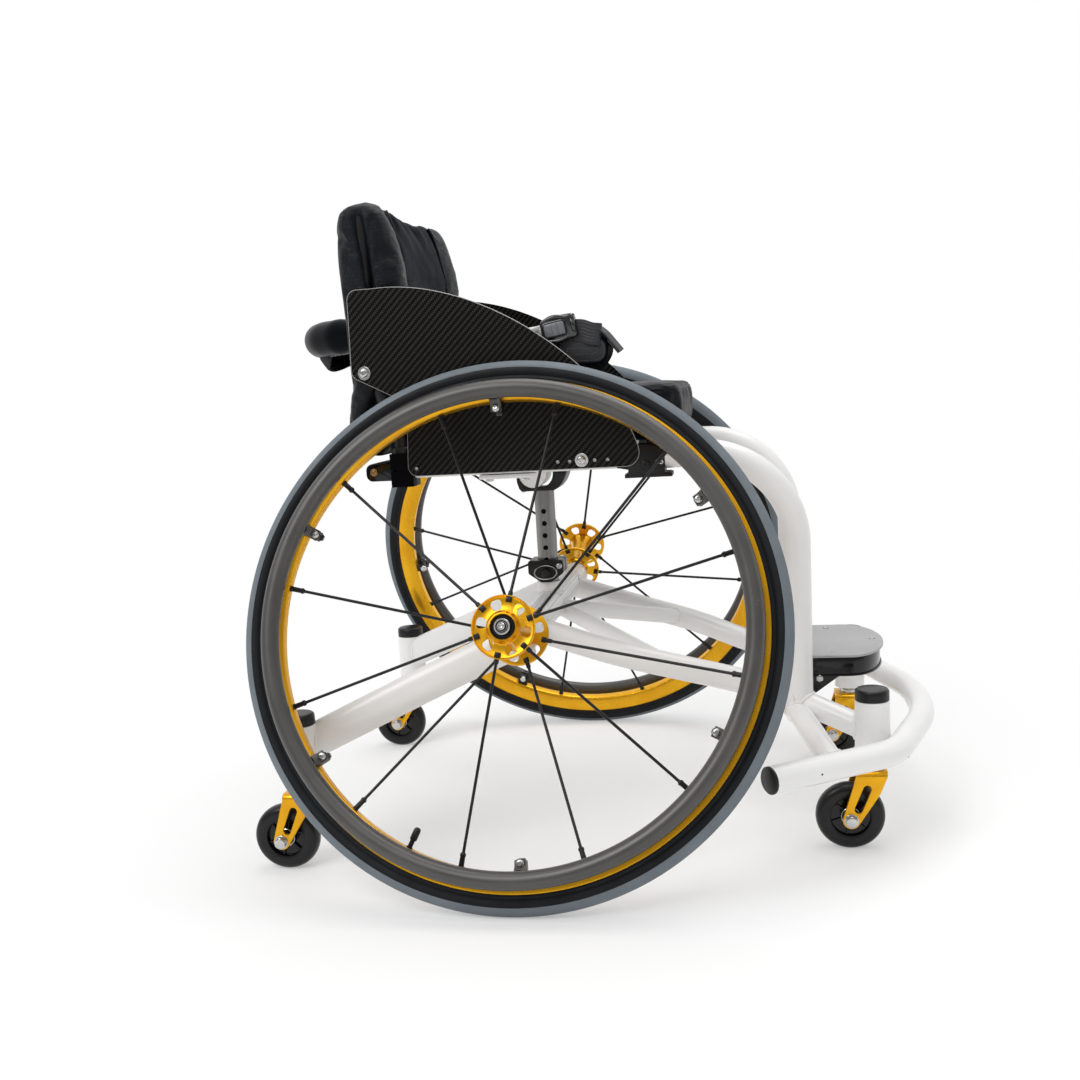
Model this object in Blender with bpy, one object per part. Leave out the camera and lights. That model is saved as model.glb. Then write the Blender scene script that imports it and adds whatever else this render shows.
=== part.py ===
"""Rigid sports wheelchair with cambered quick-release wheels, four swivel casters and a front bumper.

Units are metres. +X is forward, +Y is the occupant's left and +Z is up. Every x value below is measured
from the main axle, and the empty named wheelchair moves the whole chair so that the origin lies on the
ground under the middle of its length. Pieces are modelled on the left and mirrored to the right.
"""
import math

import bmesh
import bpy
from mathutils import Matrix, Vector

# Fits
GAP = 0.0003

# Main wheels
WHEEL_RADIUS = 0.3045
TYRE_RADIUS = 0.0125
CAMBER = math.radians(18.0)
PLUG_REACH = 0.060
WHEEL_CLEARANCE = 0.011067
WHEEL_SIDES = 48
BEAD_DROP = 0.0075
RIM_DEPTH = 0.0257
RIM_HALF_WIDTH = 0.0105
RIM_NOSE_HALF_WIDTH = 0.0065
RIM_SHOULDER = 0.0142
HANDRIM_INSET = 0.0188
HANDRIM_TUBE_RADIUS = 0.0108
HANDRIM_OFFSET = 0.030
HANDRIM_SIDES = 6
HANDRIM_TABS = 6
HANDRIM_TAB_ANGLE = math.radians(92.0)
TAB_LENGTH = 0.016
TAB_HEIGHT = 0.010
HUB_INNER_FLANGE = -0.048
HUB_OUTER_FLANGE = 0.035
HUB_INNER_END = -0.0545
HUB_OUTER_END = 0.0405
FLANGE_RADIUS = 0.035
FLANGE_THICKNESS = 0.0034
FLANGE_ROOT_RADIUS = 0.0185
BARREL_RADIUS = 0.0140
BOSS_RADIUS = 0.0155
WINDOW_RING_RADIUS = 0.0250
WINDOW_HALF_DEPTH = 0.0055
WINDOW_HALF_WIDTH = 0.0060
HUB_SIDES = 16
SPOKES = 12
SPOKE_SIDES = 4
SPOKE_RADIUS = 0.0020
SPOKE_ANGLE = math.radians(78.0)
AXLE_RADIUS = 0.00635
AXLE_INNER_END = -0.0950
AXLE_HEAD_RADIUS = 0.0088
AXLE_HEAD_THICKNESS = 0.0032
BUTTON_RADIUS = 0.0040
BUTTON_LENGTH = 0.0175
BUTTON_PROUD = 0.0035
BUTTON_TRAVEL = 0.0040

# Camber tube and the tubes welded to it
CAMBER_TUBE_RADIUS = 0.019
CAMBER_TUBE_DROP = 0.02221
CAMBER_TUBE_HALF_LENGTH = 0.220
CAMBER_PLUG_RADIUS = 0.0150
RECEIVER_RADIUS = 0.016
REAR_ARM_HALF_HEIGHT = 0.021
REAR_ARM_HALF_WIDTH = 0.013
REAR_ARM_INSET_Y = 0.030
REAR_ARM_DROP = 0.004
REAR_ARM_END_Z = 0.1485
REAR_ARM_SPREAD = 0.0544
LOWER_TUBE_RADIUS = 0.0150
LOWER_TUBE_INSET_Y = 0.070
LOWER_TUBE_DROP = 0.002
LOWER_TUBE_END_Z = 0.1635
LOWER_TUBE_REACH_X = 0.100
LOWER_TUBE_BEND_X = 0.180
LOWER_TUBE_LOW_X = 0.240
BRACE_RADIUS = 0.0105
BRACE_START_X = 0.012
BRACE_DROP = 0.006
BRACE_REACH_X = 0.160

# Front legs, arms and bumper
LEG_RADIUS = 0.0159
LEG_START_X = 0.168
LEG_TOP_Z = 0.465
LEG_X = 0.3133
LEG_BEND_RADIUS = 0.110
LEG_BASE_Y = 0.110
LEG_BASE_Z = 0.146
JUNCTION_Z = 0.161
ARM_RADIUS = 0.0143
STRUT_RADIUS = 0.0135
STRUT_START_X = 0.309
STRUT_START_Z = 0.152
STRUT_END_X = 0.344
STRUT_END_Y = 0.265
BUMPER_RADIUS = 0.015
BUMPER_Z = 0.129
BUMPER_FRONT_X = 0.464
BUMPER_FRONT_Y = 0.058
BUMPER_CORNER_X = 0.4127
BUMPER_CORNER_Y = 0.2154
BUMPER_END_X = 0.274
BUMPER_END_Y = 0.310
BUMPER_CORNER_BEND = 0.080
BUMPER_FRONT_BEND = 0.300
CROSS_TUBE_RADIUS = 0.0127
CROSS_TUBE_Z = 0.186

# Casters
CASTER_RADIUS = 0.0395
CASTER_TREAD_HALF_WIDTH = 0.003
CASTER_HALF_WIDTH = 0.0112
CASTER_TRAIL = 0.0264
CASTER_BOSS_RADIUS = 0.0085
CASTER_WEB_RADIUS = 0.0215
CASTER_WEB_HALF_WIDTH = 0.0085
CASTER_SHOULDER_RADIUS = 0.0330
CASTER_SIDES = 16
FRONT_STEM_X = 0.392
FRONT_STEM_Y = 0.1684
REAR_STEM_X = -0.267
STEM_RADIUS = 0.006
STEM_TOP_Z = 0.155
STEM_SIDES = 12
HOUSING_BOTTOM_Z = 0.1055
HOUSING_TOP_Z = 0.1765
HOUSING_RADIUS = 0.0202
HOUSING_TOP_RADIUS = 0.0192
HOUSING_WAIST_Z = 0.120
HOUSING_SIDES = 16
CAP_HEIGHT = 0.0138
FORK_HALF_WIDTH = 0.0225
FORK_PLATE = 0.004
FORK_TOP_Z = 0.0975
FORK_BEND = 0.006
FORK_END_RADIUS = 0.0098
FORK_SLOT_RADIUS = 0.0046
STEM_BASE_RADIUS = 0.0145
CASTER_BOLT_RADIUS = 0.004
CASTER_BOLT_HEAD_RADIUS = 0.0075
CASTER_BOLT_HEAD = 0.007

# Seat height column
POST_X = -0.001
POST_RADIUS = 0.013
POST_RISE = 0.0185
POST_TRAVEL = 0.0316
POST_HOLE_RADIUS = 0.0033
POST_HOLE_PITCH = 0.0158
POST_HOLE_MARGIN = 0.015
POST_SIDES = 16
COLLAR_RISE = 0.0305
COLLAR_HEIGHT = 0.0285
COLLAR_REAR_X = -0.0245
COLLAR_FRONT_X = 0.0212
COLLAR_HALF_WIDTH = 0.020
COLLAR_CHAMFER_X = 0.0165
COLLAR_CHAMFER_Z = 0.0115
PIN_RISE = 0.0126
PIN_RADIUS = 0.0030
PIN_HEAD_RADIUS = 0.0055
PIN_HEAD_LENGTH = 0.0075
CRADLE_BOTTOM_Z = 0.4175
CRADLE_HALF_WIDTH = 0.022
CRADLE_REAR_X = -0.0325
CRADLE_TIP_X = 0.0338
CRADLE_FLOOR = 0.0035
CRADLE_CLEARANCE = 0.0005
CRADLE_SLOT = 0.0075

# Seat frame
RAIL_Z = 0.467
RAIL_RADIUS = 0.0159
RAIL_FRONT_X = 0.122
RAIL_REAR_X = -0.1282
PIVOT_X = 0.146
PIVOT_Z = 0.4555
PIVOT_EAR_RADIUS = 0.012
PIVOT_EAR_INNER = 0.009
PIVOT_EAR_OUTER = 0.0155
PIVOT_PIN_RADIUS = 0.004
PIVOT_BASE_X = 0.158
LUG_RADIUS = 0.010
TIP_ANGLE = math.radians(11.4)
SEAT_TUBE_X = -0.011
SEAT_TUBE_Z = 0.4395
SEAT_TUBE_RADIUS = 0.018
SEAT_PLATE_REAR_X = -0.052
SEAT_PLATE_FRONT_X = 0.016
SEAT_PLATE_OVERHANG = 0.007
SEAT_PLATE_THICKNESS = 0.005
BACK_POST_INSET = 0.002
BACK_POST_RADIUS = 0.0111
BACK_POST_TOP_Z = 0.755
CLAMP_REAR_X = -0.1555
CLAMP_FRONT_X = -0.1285
CLAMP_INSET = 0.017
CLAMP_BOTTOM_Z = 0.442
CLAMP_TOP_Z = 0.4815
GUARD_BOLT_X = -0.177
GUARD_BOLT_Z = 0.577
GUARD_BOSS_RADIUS = 0.006
REAR_BAR_LENGTH_X = 0.0342
REAR_BAR_BOTTOM_Z = 0.449
REAR_BAR_TOP_Z = 0.470
REAR_BAR_OVERHANG = 0.002
PUSH_BAR_RADIUS = 0.0214
PUSH_BAR_END_RADIUS = 0.0105
PUSH_BAR_Z = 0.623
PUSH_BAR_BOW = 0.1026
GUARD_THICKNESS = 0.002
GUARD_BOTTOM_Z = 0.454
GUARD_FRONT_X = 0.141
GUARD_NOSE_Z = 0.466
GUARD_TOP_X = -0.160
GUARD_TOP_Z = 0.6725
GUARD_CREST_X = -0.030
GUARD_CREST_Z = 0.6816
GUARD_SLOPE_X = 0.1177
GUARD_SLOPE_Z = 0.5613
GUARD_REAR_X = -0.191
GUARD_NOTCH_X = -0.134
GUARD_NOTCH_Z = 0.540
GUARD_LEDGE_Z = 0.573

# Soft parts
SLING_THICKNESS = 0.0028
SLING_FRONT_X = 0.172
SLING_REAR_X = -0.127
SLING_OVERHANG = 0.012
CUSHION_REAR_X = -0.105
CUSHION_FRONT_X = 0.195
CUSHION_CLEARANCE = 0.005
CUSHION_HEIGHT = 0.0590
CUSHION_CROWN = 0.0060
CUSHION_CORNER = 0.020
BACK_CLEARANCE = 0.001
BACK_CREASE = 0.0035

# Lap strap
STRAP_THICKNESS = 0.0025
STRAP_HALF_WIDTH = 0.0125
STRAP_STRAIGHT = 0.008
BUCKLE_X = 0.0485
BUCKLE_INSET = 0.0157
BUCKLE_Z = 0.6145
BUCKLE_TILT = math.radians(15.0)
BUCKLE_LENGTH = 0.050
BUCKLE_HEIGHT = 0.032
BUCKLE_THICKNESS = 0.016
PUSH_LENGTH = 0.024
PUSH_HEIGHT = 0.0150
PUSH_DEPTH = 0.008
PUSH_PROUD = 0.003
PUSH_TRAVEL = 0.0025
TONGUE_HALF_WIDTH = 0.009
TONGUE_THICKNESS = 0.002
TONGUE_INSERT = 0.010

# Footplate
FOOTPLATE_TOP_Z = 0.2105
FOOTPLATE_THICKNESS = 0.003
FOOTPLATE_REAR_X = 0.331
FOOTPLATE_ROUND_X = 0.375
FOOTPLATE_HALF_WIDTH = 0.090
FOOTPLATE_NOSE = 0.046
BAND_INSET = 0.004
BAND_THICKNESS = 0.003
BAND_HEIGHT = 0.0235
GUSSET_DROP = 0.020
GUSSET_LENGTH = 0.046

# Derived places
HUB_Y = CAMBER_TUBE_HALF_LENGTH + PLUG_REACH
HUB_Z = (WHEEL_RADIUS - TYRE_RADIUS) * math.cos(CAMBER) + TYRE_RADIUS
TYRE_CENTRE_RADIUS = WHEEL_RADIUS - TYRE_RADIUS
BEAD_RADIUS = TYRE_CENTRE_RADIUS - BEAD_DROP
RIM_RADIUS = BEAD_RADIUS - GAP
RIM_INNER_RADIUS = RIM_RADIUS - RIM_DEPTH
HANDRIM_RADIUS = RIM_RADIUS - HANDRIM_INSET
WHEEL_TOP_Y = HUB_Y - TYRE_CENTRE_RADIUS * math.sin(CAMBER) - TYRE_RADIUS
GUARD_INNER_Y = WHEEL_TOP_Y - WHEEL_CLEARANCE - GUARD_THICKNESS
RAIL_Y = GUARD_INNER_Y - GAP - RAIL_RADIUS
BACK_POST_Y = RAIL_Y - BACK_POST_INSET
CLAMP_INNER_Y = RAIL_Y - CLAMP_INSET
SEAT_PLATE_HALF_WIDTH = RAIL_Y + SEAT_PLATE_OVERHANG
REAR_BAR_HALF_WIDTH = RAIL_Y + REAR_BAR_OVERHANG
SLING_HALF_WIDTH = RAIL_Y + SLING_OVERHANG
CUSHION_HALF_WIDTH = GUARD_INNER_Y - CUSHION_CLEARANCE
BACK_HALF_WIDTH = GUARD_INNER_Y - BACK_CLEARANCE
BUCKLE_Y = CUSHION_HALF_WIDTH - BUCKLE_INSET
CAMBER_TUBE_Z = HUB_Z - CAMBER_TUBE_DROP
REAR_ARM_START_Y = CAMBER_TUBE_HALF_LENGTH - REAR_ARM_INSET_Y
REAR_STEM_Y = REAR_ARM_START_Y + REAR_ARM_SPREAD
LOWER_TUBE_START_Y = CAMBER_TUBE_HALF_LENGTH - LOWER_TUBE_INSET_Y
POST_BOTTOM_Z = CAMBER_TUBE_Z + POST_RISE
POST_TOP_Z = CRADLE_BOTTOM_Z - GAP
COLLAR_BOTTOM_Z = CAMBER_TUBE_Z + COLLAR_RISE
COLLAR_TOP_Z = COLLAR_BOTTOM_Z + COLLAR_HEIGHT
PIN_Z = COLLAR_BOTTOM_Z + PIN_RISE
POST_HOLES = 2 + int((POST_TOP_Z - POST_HOLE_MARGIN - PIN_Z) / POST_HOLE_PITCH)
RAIL_TOP_Z = RAIL_Z + RAIL_RADIUS
SLING_BOTTOM_Z = RAIL_TOP_Z + GAP
CUSHION_BOTTOM_Z = SLING_BOTTOM_Z + SLING_THICKNESS + GAP
FRONT_REACH = BUMPER_FRONT_X + BUMPER_RADIUS
REAR_REACH = CASTER_TRAIL + CASTER_RADIUS - REAR_STEM_X
AXLE_X = (REAR_REACH - FRONT_REACH) / 2

X_AXIS = Vector((1.0, 0.0, 0.0))
Y_AXIS = Vector((0.0, 1.0, 0.0))
Z_AXIS = Vector((0.0, 0.0, 1.0))

# Finishes: colour, roughness and metallic value
WHITE_PAINT = ((0.86, 0.85, 0.84), 0.30, 0.0)
GOLD = ((0.90, 0.55, 0.07), 0.28, 1.0)
BARE_METAL = ((0.60, 0.60, 0.59), 0.40, 1.0)
BRIGHT_METAL = ((0.75, 0.75, 0.74), 0.20, 1.0)
BLACK_METAL = ((0.030, 0.030, 0.032), 0.40, 0.3)
BLACK_PLASTIC = ((0.025, 0.025, 0.027), 0.35, 0.0)
GREY_PLATE = ((0.44, 0.44, 0.44), 0.50, 0.2)
RUBBER = ((0.045, 0.048, 0.052), 0.70, 0.0)
HANDRIM_GREY = ((0.16, 0.155, 0.15), 0.45, 0.6)
CARBON = ((0.035, 0.035, 0.037), 0.30, 0.2)
LEATHER = ((0.020, 0.020, 0.022), 0.45, 0.0)
NYLON = ((0.030, 0.032, 0.038), 0.60, 0.0)
VINYL = ((0.035, 0.036, 0.040), 0.40, 0.0)
WEBBING = ((0.030, 0.030, 0.032), 0.80, 0.0)
URETHANE = ((0.030, 0.031, 0.034), 0.35, 0.0)


def clear_scene():
    """Removes every object that the file opened with."""
    for old in list(bpy.data.objects):
        bpy.data.objects.remove(old, do_unlink=True)


def solid_from(bm, name="solid"):
    """Turns a closed bmesh into an object whose faces point outwards."""
    bmesh.ops.recalc_face_normals(bm, faces=bm.faces)
    mesh = bpy.data.meshes.new(name)
    bm.to_mesh(mesh)
    bm.free()
    solid = bpy.data.objects.new(name, mesh)
    bpy.context.scene.collection.objects.link(solid)
    return solid


def combine(body, tool, operation):
    """Applies one Boolean of the tool to the body, and removes the tool."""
    modifier = body.modifiers.new("combine", "BOOLEAN")
    modifier.operation = operation
    modifier.solver = "EXACT"
    modifier.object = tool
    bpy.context.view_layer.update()
    evaluated = body.evaluated_get(bpy.context.evaluated_depsgraph_get())
    mesh = bpy.data.meshes.new_from_object(evaluated)
    body.modifiers.remove(modifier)
    body.data = mesh
    bpy.data.objects.remove(tool, do_unlink=True)
    return body


def cut(body, *tools):
    """Cuts each tool out of the body."""
    for tool in tools:
        combine(body, tool, "DIFFERENCE")
    return body


def join(body, *tools):
    """Welds each tool to the body."""
    for tool in tools:
        combine(body, tool, "UNION")
    return body


def mirrored(solid):
    """Returns the same shape on the other side of the chair."""
    mesh = solid.data.copy()
    mesh.transform(Matrix.Scale(-1.0, 4, Y_AXIS))
    mesh.flip_normals()
    copy = bpy.data.objects.new("mirrored", mesh)
    bpy.context.scene.collection.objects.link(copy)
    return copy


def moved(solid, matrix):
    """Moves a solid's mesh by a matrix."""
    solid.data.transform(matrix)
    return solid


def fillet(corners, radii, steps=5):
    """Rounds the inner corners of a path, each by its own radius, and returns the points."""
    points = [Vector(corners[0])]
    for index in range(1, len(corners) - 1):
        before = Vector(corners[index - 1])
        corner = Vector(corners[index])
        after = Vector(corners[index + 1])
        points += corner_arc(before, corner, after, radii[index - 1], steps)
    points.append(Vector(corners[-1]))
    return points


def corner_arc(before, corner, after, radius, steps):
    """Points of the arc that rounds one corner."""
    inward = (before - corner).normalized()
    outward = (after - corner).normalized()
    half = inward.angle(outward) / 2
    if radius <= 0 or half > math.radians(89.9):
        return [corner]
    setback = min(radius / math.tan(half), 0.98 * (before - corner).length, 0.98 * (after - corner).length)
    radius = setback * math.tan(half)
    centre = corner + (inward + outward).normalized() * (radius / math.sin(half))
    start = corner + inward * setback - centre
    turn = math.pi - 2 * half
    normal = start.cross(corner + outward * setback - centre).normalized()
    return [centre + Matrix.Rotation(turn * step / steps, 3, normal) @ start for step in range(steps + 1)]


def smooth(points, steps=4):
    """Reads a smooth curve through the given points."""
    path = [Vector(point) for point in points]
    ends = [2 * path[0] - path[1]] + path + [2 * path[-1] - path[-2]]
    curve = []
    for index in range(1, len(ends) - 2):
        p0, p1, p2, p3 = ends[index - 1:index + 3]
        for step in range(steps):
            t = step / steps
            curve.append(0.5 * (2 * p1 + (p2 - p0) * t + (2 * p0 - 5 * p1 + 4 * p2 - p3) * t ** 2
                                + (3 * p1 - p0 - 3 * p2 + p3) * t ** 3))
    curve.append(path[-1])
    return curve


def sweep(path, sections, up=Z_AXIS):
    """Carries closed sections along a path. Each section is a list of (side, up) places."""
    bm = bmesh.new()
    rings = []
    for index, point in enumerate(path):
        ahead = path[min(index + 1, len(path) - 1)] - point
        behind = point - path[max(index - 1, 0)]
        tangent = (ahead.normalized() + behind.normalized()).normalized()
        side = tangent.cross(up).normalized()
        rise = side.cross(tangent).normalized()
        rings.append([bm.verts.new(point + side * a + rise * b) for a, b in sections[index]])
    for first, second in zip(rings, rings[1:]):
        count = len(first)
        for k in range(count):
            bm.faces.new((first[k], first[(k + 1) % count], second[(k + 1) % count], second[k]))
    bm.faces.new(rings[0])
    bm.faces.new(rings[-1])
    return solid_from(bm)


def ellipse(half_width, half_height, sides):
    """An ellipse as (side, up) places, with a flat side at the bottom."""
    places = []
    for k in range(sides):
        angle = 2 * math.pi * (k + 0.5) / sides
        places.append((half_width * math.cos(angle), half_height * math.sin(angle)))
    return places


def tube(path, radius, sides=16, up=Z_AXIS):
    """A round tube along a path."""
    points = [Vector(point) for point in path]
    return sweep(points, [ellipse(radius, radius, sides)] * len(points), up)


def turned(profile, segments, matrix=Matrix.Identity(4)):
    """Turns a profile of (radius, height) places about Z. A profile that starts and ends on the axis is solid."""
    bm = bmesh.new()
    rings = []
    for radius, height in profile:
        if radius < 1e-7:
            rings.append([bm.verts.new((0.0, 0.0, height))])
            continue
        ring = []
        for k in range(segments):
            angle = 2 * math.pi * k / segments
            ring.append(bm.verts.new((radius * math.cos(angle), radius * math.sin(angle), height)))
        rings.append(ring)
    pairs = list(zip(rings, rings[1:]))
    if len(rings[0]) > 1:
        pairs.append((rings[-1], rings[0]))
    for first, second in pairs:
        for k in range(segments):
            corners = []
            for ring, step in ((first, k), (first, k + 1), (second, k + 1), (second, k)):
                vertex = ring[step % len(ring)]
                if vertex not in corners:
                    corners.append(vertex)
            if len(corners) > 2:
                bm.faces.new(corners)
    return moved(solid_from(bm), matrix)


def cylinder(radius, start, end, segments=16):
    """A round bar from one point to another."""
    start = Vector(start)
    along = Vector(end) - start
    place = Matrix.Translation(start) @ along.to_track_quat("Z", "Y").to_matrix().to_4x4()
    return turned([(0, 0), (radius, 0), (radius, along.length), (0, along.length)], segments, place)


def prism(outline, axis, low, high):
    """Extrudes a flat outline. The outline holds (x, z) for axis y, (y, z) for x and (x, y) for z."""
    def place(a, b, level):
        return {"x": (level, a, b), "y": (a, level, b), "z": (a, b, level)}[axis]

    bm = bmesh.new()
    lower = [bm.verts.new(place(a, b, low)) for a, b in outline]
    upper = [bm.verts.new(place(a, b, high)) for a, b in outline]
    count = len(outline)
    for k in range(count):
        bm.faces.new((lower[k], lower[(k + 1) % count], upper[(k + 1) % count], upper[k]))
    bm.faces.new(lower)
    bm.faces.new(upper)
    return solid_from(bm)


def box(low, high):
    """A plain block between two corners."""
    return prism([(low[0], low[1]), (high[0], low[1]), (high[0], high[1]), (low[0], high[1])],
                 "z", low[2], high[2])


def rounded(corners, radii, steps=3):
    """A closed outline with each corner rounded by its own radius."""
    flat = [Vector((a, b, 0.0)) for a, b in corners]
    places = []
    for index, corner in enumerate(flat):
        after = flat[(index + 1) % len(flat)]
        for point in corner_arc(flat[index - 1], corner, after, radii[index], steps):
            places.append((point.x, point.y))
    return places


def loft(rings):
    """Joins closed rings of points, and closes both ends."""
    bm = bmesh.new()
    loops = [[bm.verts.new(point) for point in ring] for ring in rings]
    for first, second in zip(loops, loops[1:]):
        count = len(first)
        for k in range(count):
            bm.faces.new((first[k], first[(k + 1) % count], second[(k + 1) % count], second[k]))
    bm.faces.new(loops[0])
    bm.faces.new(loops[-1])
    return solid_from(bm)


def between(value, places):
    """Reads a height table of (height, value) pairs with straight runs between them."""
    for (low, first), (high, second) in zip(places, places[1:]):
        if value <= high:
            share = max(0.0, (value - low) / (high - low))
            return first + (second - first) * share
    return places[-1][1]


def make_material(name, finish):
    """A Principled material for one piece."""
    colour, roughness, metallic = finish
    material = bpy.data.materials.new(name)
    material.use_nodes = True
    shader = material.node_tree.nodes["Principled BSDF"]
    shader.inputs["Base Color"].default_value = (*colour, 1.0)
    shader.inputs["Roughness"].default_value = roughness
    shader.inputs["Metallic"].default_value = metallic
    return material


def make_joint(name, matrix, carrier):
    """An empty on a joint's axis, with its local Z along the axis."""
    empty = bpy.data.objects.new(name, None)
    empty.empty_display_size = 0.05
    bpy.context.scene.collection.objects.link(empty)
    empty.parent = carrier["empty"]
    empty.matrix_local = carrier["matrix"].inverted() @ matrix
    return {"empty": empty, "matrix": matrix}


def piece(name, solid, finish, carrier):
    """Names a solid, gives it its material and puts it under the empty that carries it."""
    solid.name = name
    solid.data.name = name
    solid.data.materials.clear()
    solid.data.materials.append(make_material(name, finish))
    solid.data.transform(carrier["matrix"].inverted())
    solid.data.shade_smooth()
    solid.data.set_sharp_from_angle(angle=math.radians(35.0))
    solid.parent = carrier["empty"]
    return solid


def pair(name, solid, finish, left_carrier, right_carrier):
    """Places a left solid and its mirrored right one."""
    other = mirrored(solid)
    piece(name + "_left", solid, finish, left_carrier)
    piece(name + "_right", other, finish, right_carrier)


def on_axis(origin, axis):
    """A matrix at a point with its local Z along an axis."""
    return Matrix.Translation(Vector(origin)) @ Vector(axis).to_track_quat("Z", "X").to_matrix().to_4x4()


def wheel_matrix(side):
    """The wheel's frame: Z points out along the axle, X forward."""
    out = Vector((0.0, side * math.cos(CAMBER), math.sin(CAMBER)))
    across = out.cross(X_AXIS)
    place = Matrix((X_AXIS, across, out)).transposed().to_4x4()
    return Matrix.Translation((0.0, side * HUB_Y, HUB_Z)) @ place


# Main wheels, built in the left wheel's own frame

def tyre_solid():
    """A tyre with a flat tread strip, open towards the rim."""
    profile = []
    for degrees in (-126.87, -90.6, -54.3, -18.0, 18.0, 54.3, 90.6, 126.87):
        angle = math.radians(degrees)
        profile.append((TYRE_CENTRE_RADIUS + TYRE_RADIUS * math.cos(angle), TYRE_RADIUS * math.sin(angle)))
    profile[0] = (BEAD_RADIUS, profile[0][1])
    profile[-1] = (BEAD_RADIUS, profile[-1][1])
    return turned(profile, WHEEL_SIDES, wheel_matrix(1.0))


def rim_solid():
    """A deep rim that narrows towards the hub."""
    shoulder = RIM_RADIUS - RIM_SHOULDER
    profile = [(RIM_RADIUS, -RIM_HALF_WIDTH + 0.001), (shoulder, -RIM_HALF_WIDTH),
               (RIM_INNER_RADIUS, -RIM_NOSE_HALF_WIDTH), (RIM_INNER_RADIUS, RIM_NOSE_HALF_WIDTH),
               (shoulder, RIM_HALF_WIDTH), (RIM_RADIUS, RIM_HALF_WIDTH - 0.001)]
    return turned(profile, WHEEL_SIDES, wheel_matrix(1.0))


def handrim_solid():
    """The push ring, with the tabs that carry it on the rim's shoulder."""
    profile = []
    for k in range(HANDRIM_SIDES):
        angle = 2 * math.pi * k / HANDRIM_SIDES
        profile.append((HANDRIM_RADIUS + HANDRIM_TUBE_RADIUS * math.cos(angle),
                        HANDRIM_OFFSET + HANDRIM_TUBE_RADIUS * math.sin(angle)))
    ring = turned(profile, WHEEL_SIDES)
    tab_radius = RIM_RADIUS - RIM_SHOULDER + TAB_HEIGHT / 2 - 0.003
    for index in range(HANDRIM_TABS):
        tab = box((tab_radius - TAB_HEIGHT / 2, -TAB_LENGTH / 2, RIM_HALF_WIDTH + GAP),
                  (tab_radius + TAB_HEIGHT / 2, TAB_LENGTH / 2, HANDRIM_OFFSET - 0.002))
        angle = -(HANDRIM_TAB_ANGLE + 2 * math.pi * index / HANDRIM_TABS)
        join(ring, moved(tab, Matrix.Rotation(angle, 4, "Z")))
    return moved(ring, wheel_matrix(1.0))


def hub_solid():
    """The hub with two windowed flanges and its twelve radial spokes."""
    bore = AXLE_RADIUS + GAP
    half = FLANGE_THICKNESS / 2
    low, high = HUB_INNER_FLANGE, HUB_OUTER_FLANGE
    profile = [(bore, HUB_INNER_END), (BOSS_RADIUS, HUB_INNER_END), (BOSS_RADIUS, low - half),
               (FLANGE_RADIUS, low - half), (FLANGE_RADIUS, low + half), (FLANGE_ROOT_RADIUS, low + half),
               (BARREL_RADIUS, (low + high) / 2), (FLANGE_ROOT_RADIUS, high - half),
               (FLANGE_RADIUS, high - half), (FLANGE_RADIUS, high + half), (BOSS_RADIUS, high + half),
               (BOSS_RADIUS, HUB_OUTER_END), (bore, HUB_OUTER_END)]
    hub = turned(profile, HUB_SIDES)
    per_flange = SPOKES // 2
    for flange, first in ((high, SPOKE_ANGLE), (low, SPOKE_ANGLE + math.pi / per_flange)):
        for index in range(per_flange):
            angle = -(first + 2 * math.pi * index / per_flange)
            turn = Matrix.Rotation(angle, 4, "Z")
            window = prism(ellipse(WINDOW_HALF_DEPTH, WINDOW_HALF_WIDTH, 6), "z", flange - 0.0035, flange + 0.0035)
            between_spokes = Matrix.Rotation(angle + math.pi / per_flange, 4, "Z")
            cut(hub, moved(window, between_spokes @ Matrix.Translation((WINDOW_RING_RADIUS, 0, 0))))
            foot = turn @ Vector((FLANGE_RADIUS - 0.0025, 0.0, flange))
            slope = abs(flange) / (RIM_INNER_RADIUS - FLANGE_RADIUS)
            reach = RIM_INNER_RADIUS * math.cos(math.pi / WHEEL_SIDES) - GAP - SPOKE_RADIUS * slope
            tip = turn @ Vector((reach, 0.0, 0.0))
            join(hub, cylinder(SPOKE_RADIUS, foot, tip, SPOKE_SIDES))
    return moved(hub, wheel_matrix(1.0))


def axle_solid():
    """The quick-release axle, with a blind bore for its button."""
    head_bottom = HUB_OUTER_END + GAP
    head_top = head_bottom + AXLE_HEAD_THICKNESS
    bore = BUTTON_RADIUS + GAP
    floor = head_top + BUTTON_PROUD - BUTTON_LENGTH - BUTTON_TRAVEL - 0.0005
    profile = [(0, AXLE_INNER_END), (AXLE_RADIUS, AXLE_INNER_END), (AXLE_RADIUS, head_bottom),
               (AXLE_HEAD_RADIUS, head_bottom), (AXLE_HEAD_RADIUS, head_top), (bore, head_top),
               (bore, floor), (0, floor)]
    return turned(profile, 12, wheel_matrix(1.0))


def release_button_solid():
    """The button in the axle's end."""
    top = HUB_OUTER_END + GAP + AXLE_HEAD_THICKNESS + BUTTON_PROUD
    bottom = top - BUTTON_LENGTH
    profile = [(0, bottom), (BUTTON_RADIUS, bottom), (BUTTON_RADIUS, top - 0.0008),
               (BUTTON_RADIUS - 0.0008, top), (0, top)]
    return turned(profile, 12, wheel_matrix(1.0))


# Frame

def camber_tube_solid(extra=0.0):
    """The tube between the wheels. With extra it is the plain outside that neighbours are cut by."""
    half = CAMBER_TUBE_HALF_LENGTH
    return tube([(0, -half, CAMBER_TUBE_Z), (0, half, CAMBER_TUBE_Z)], CAMBER_TUBE_RADIUS + extra, 24)


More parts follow.
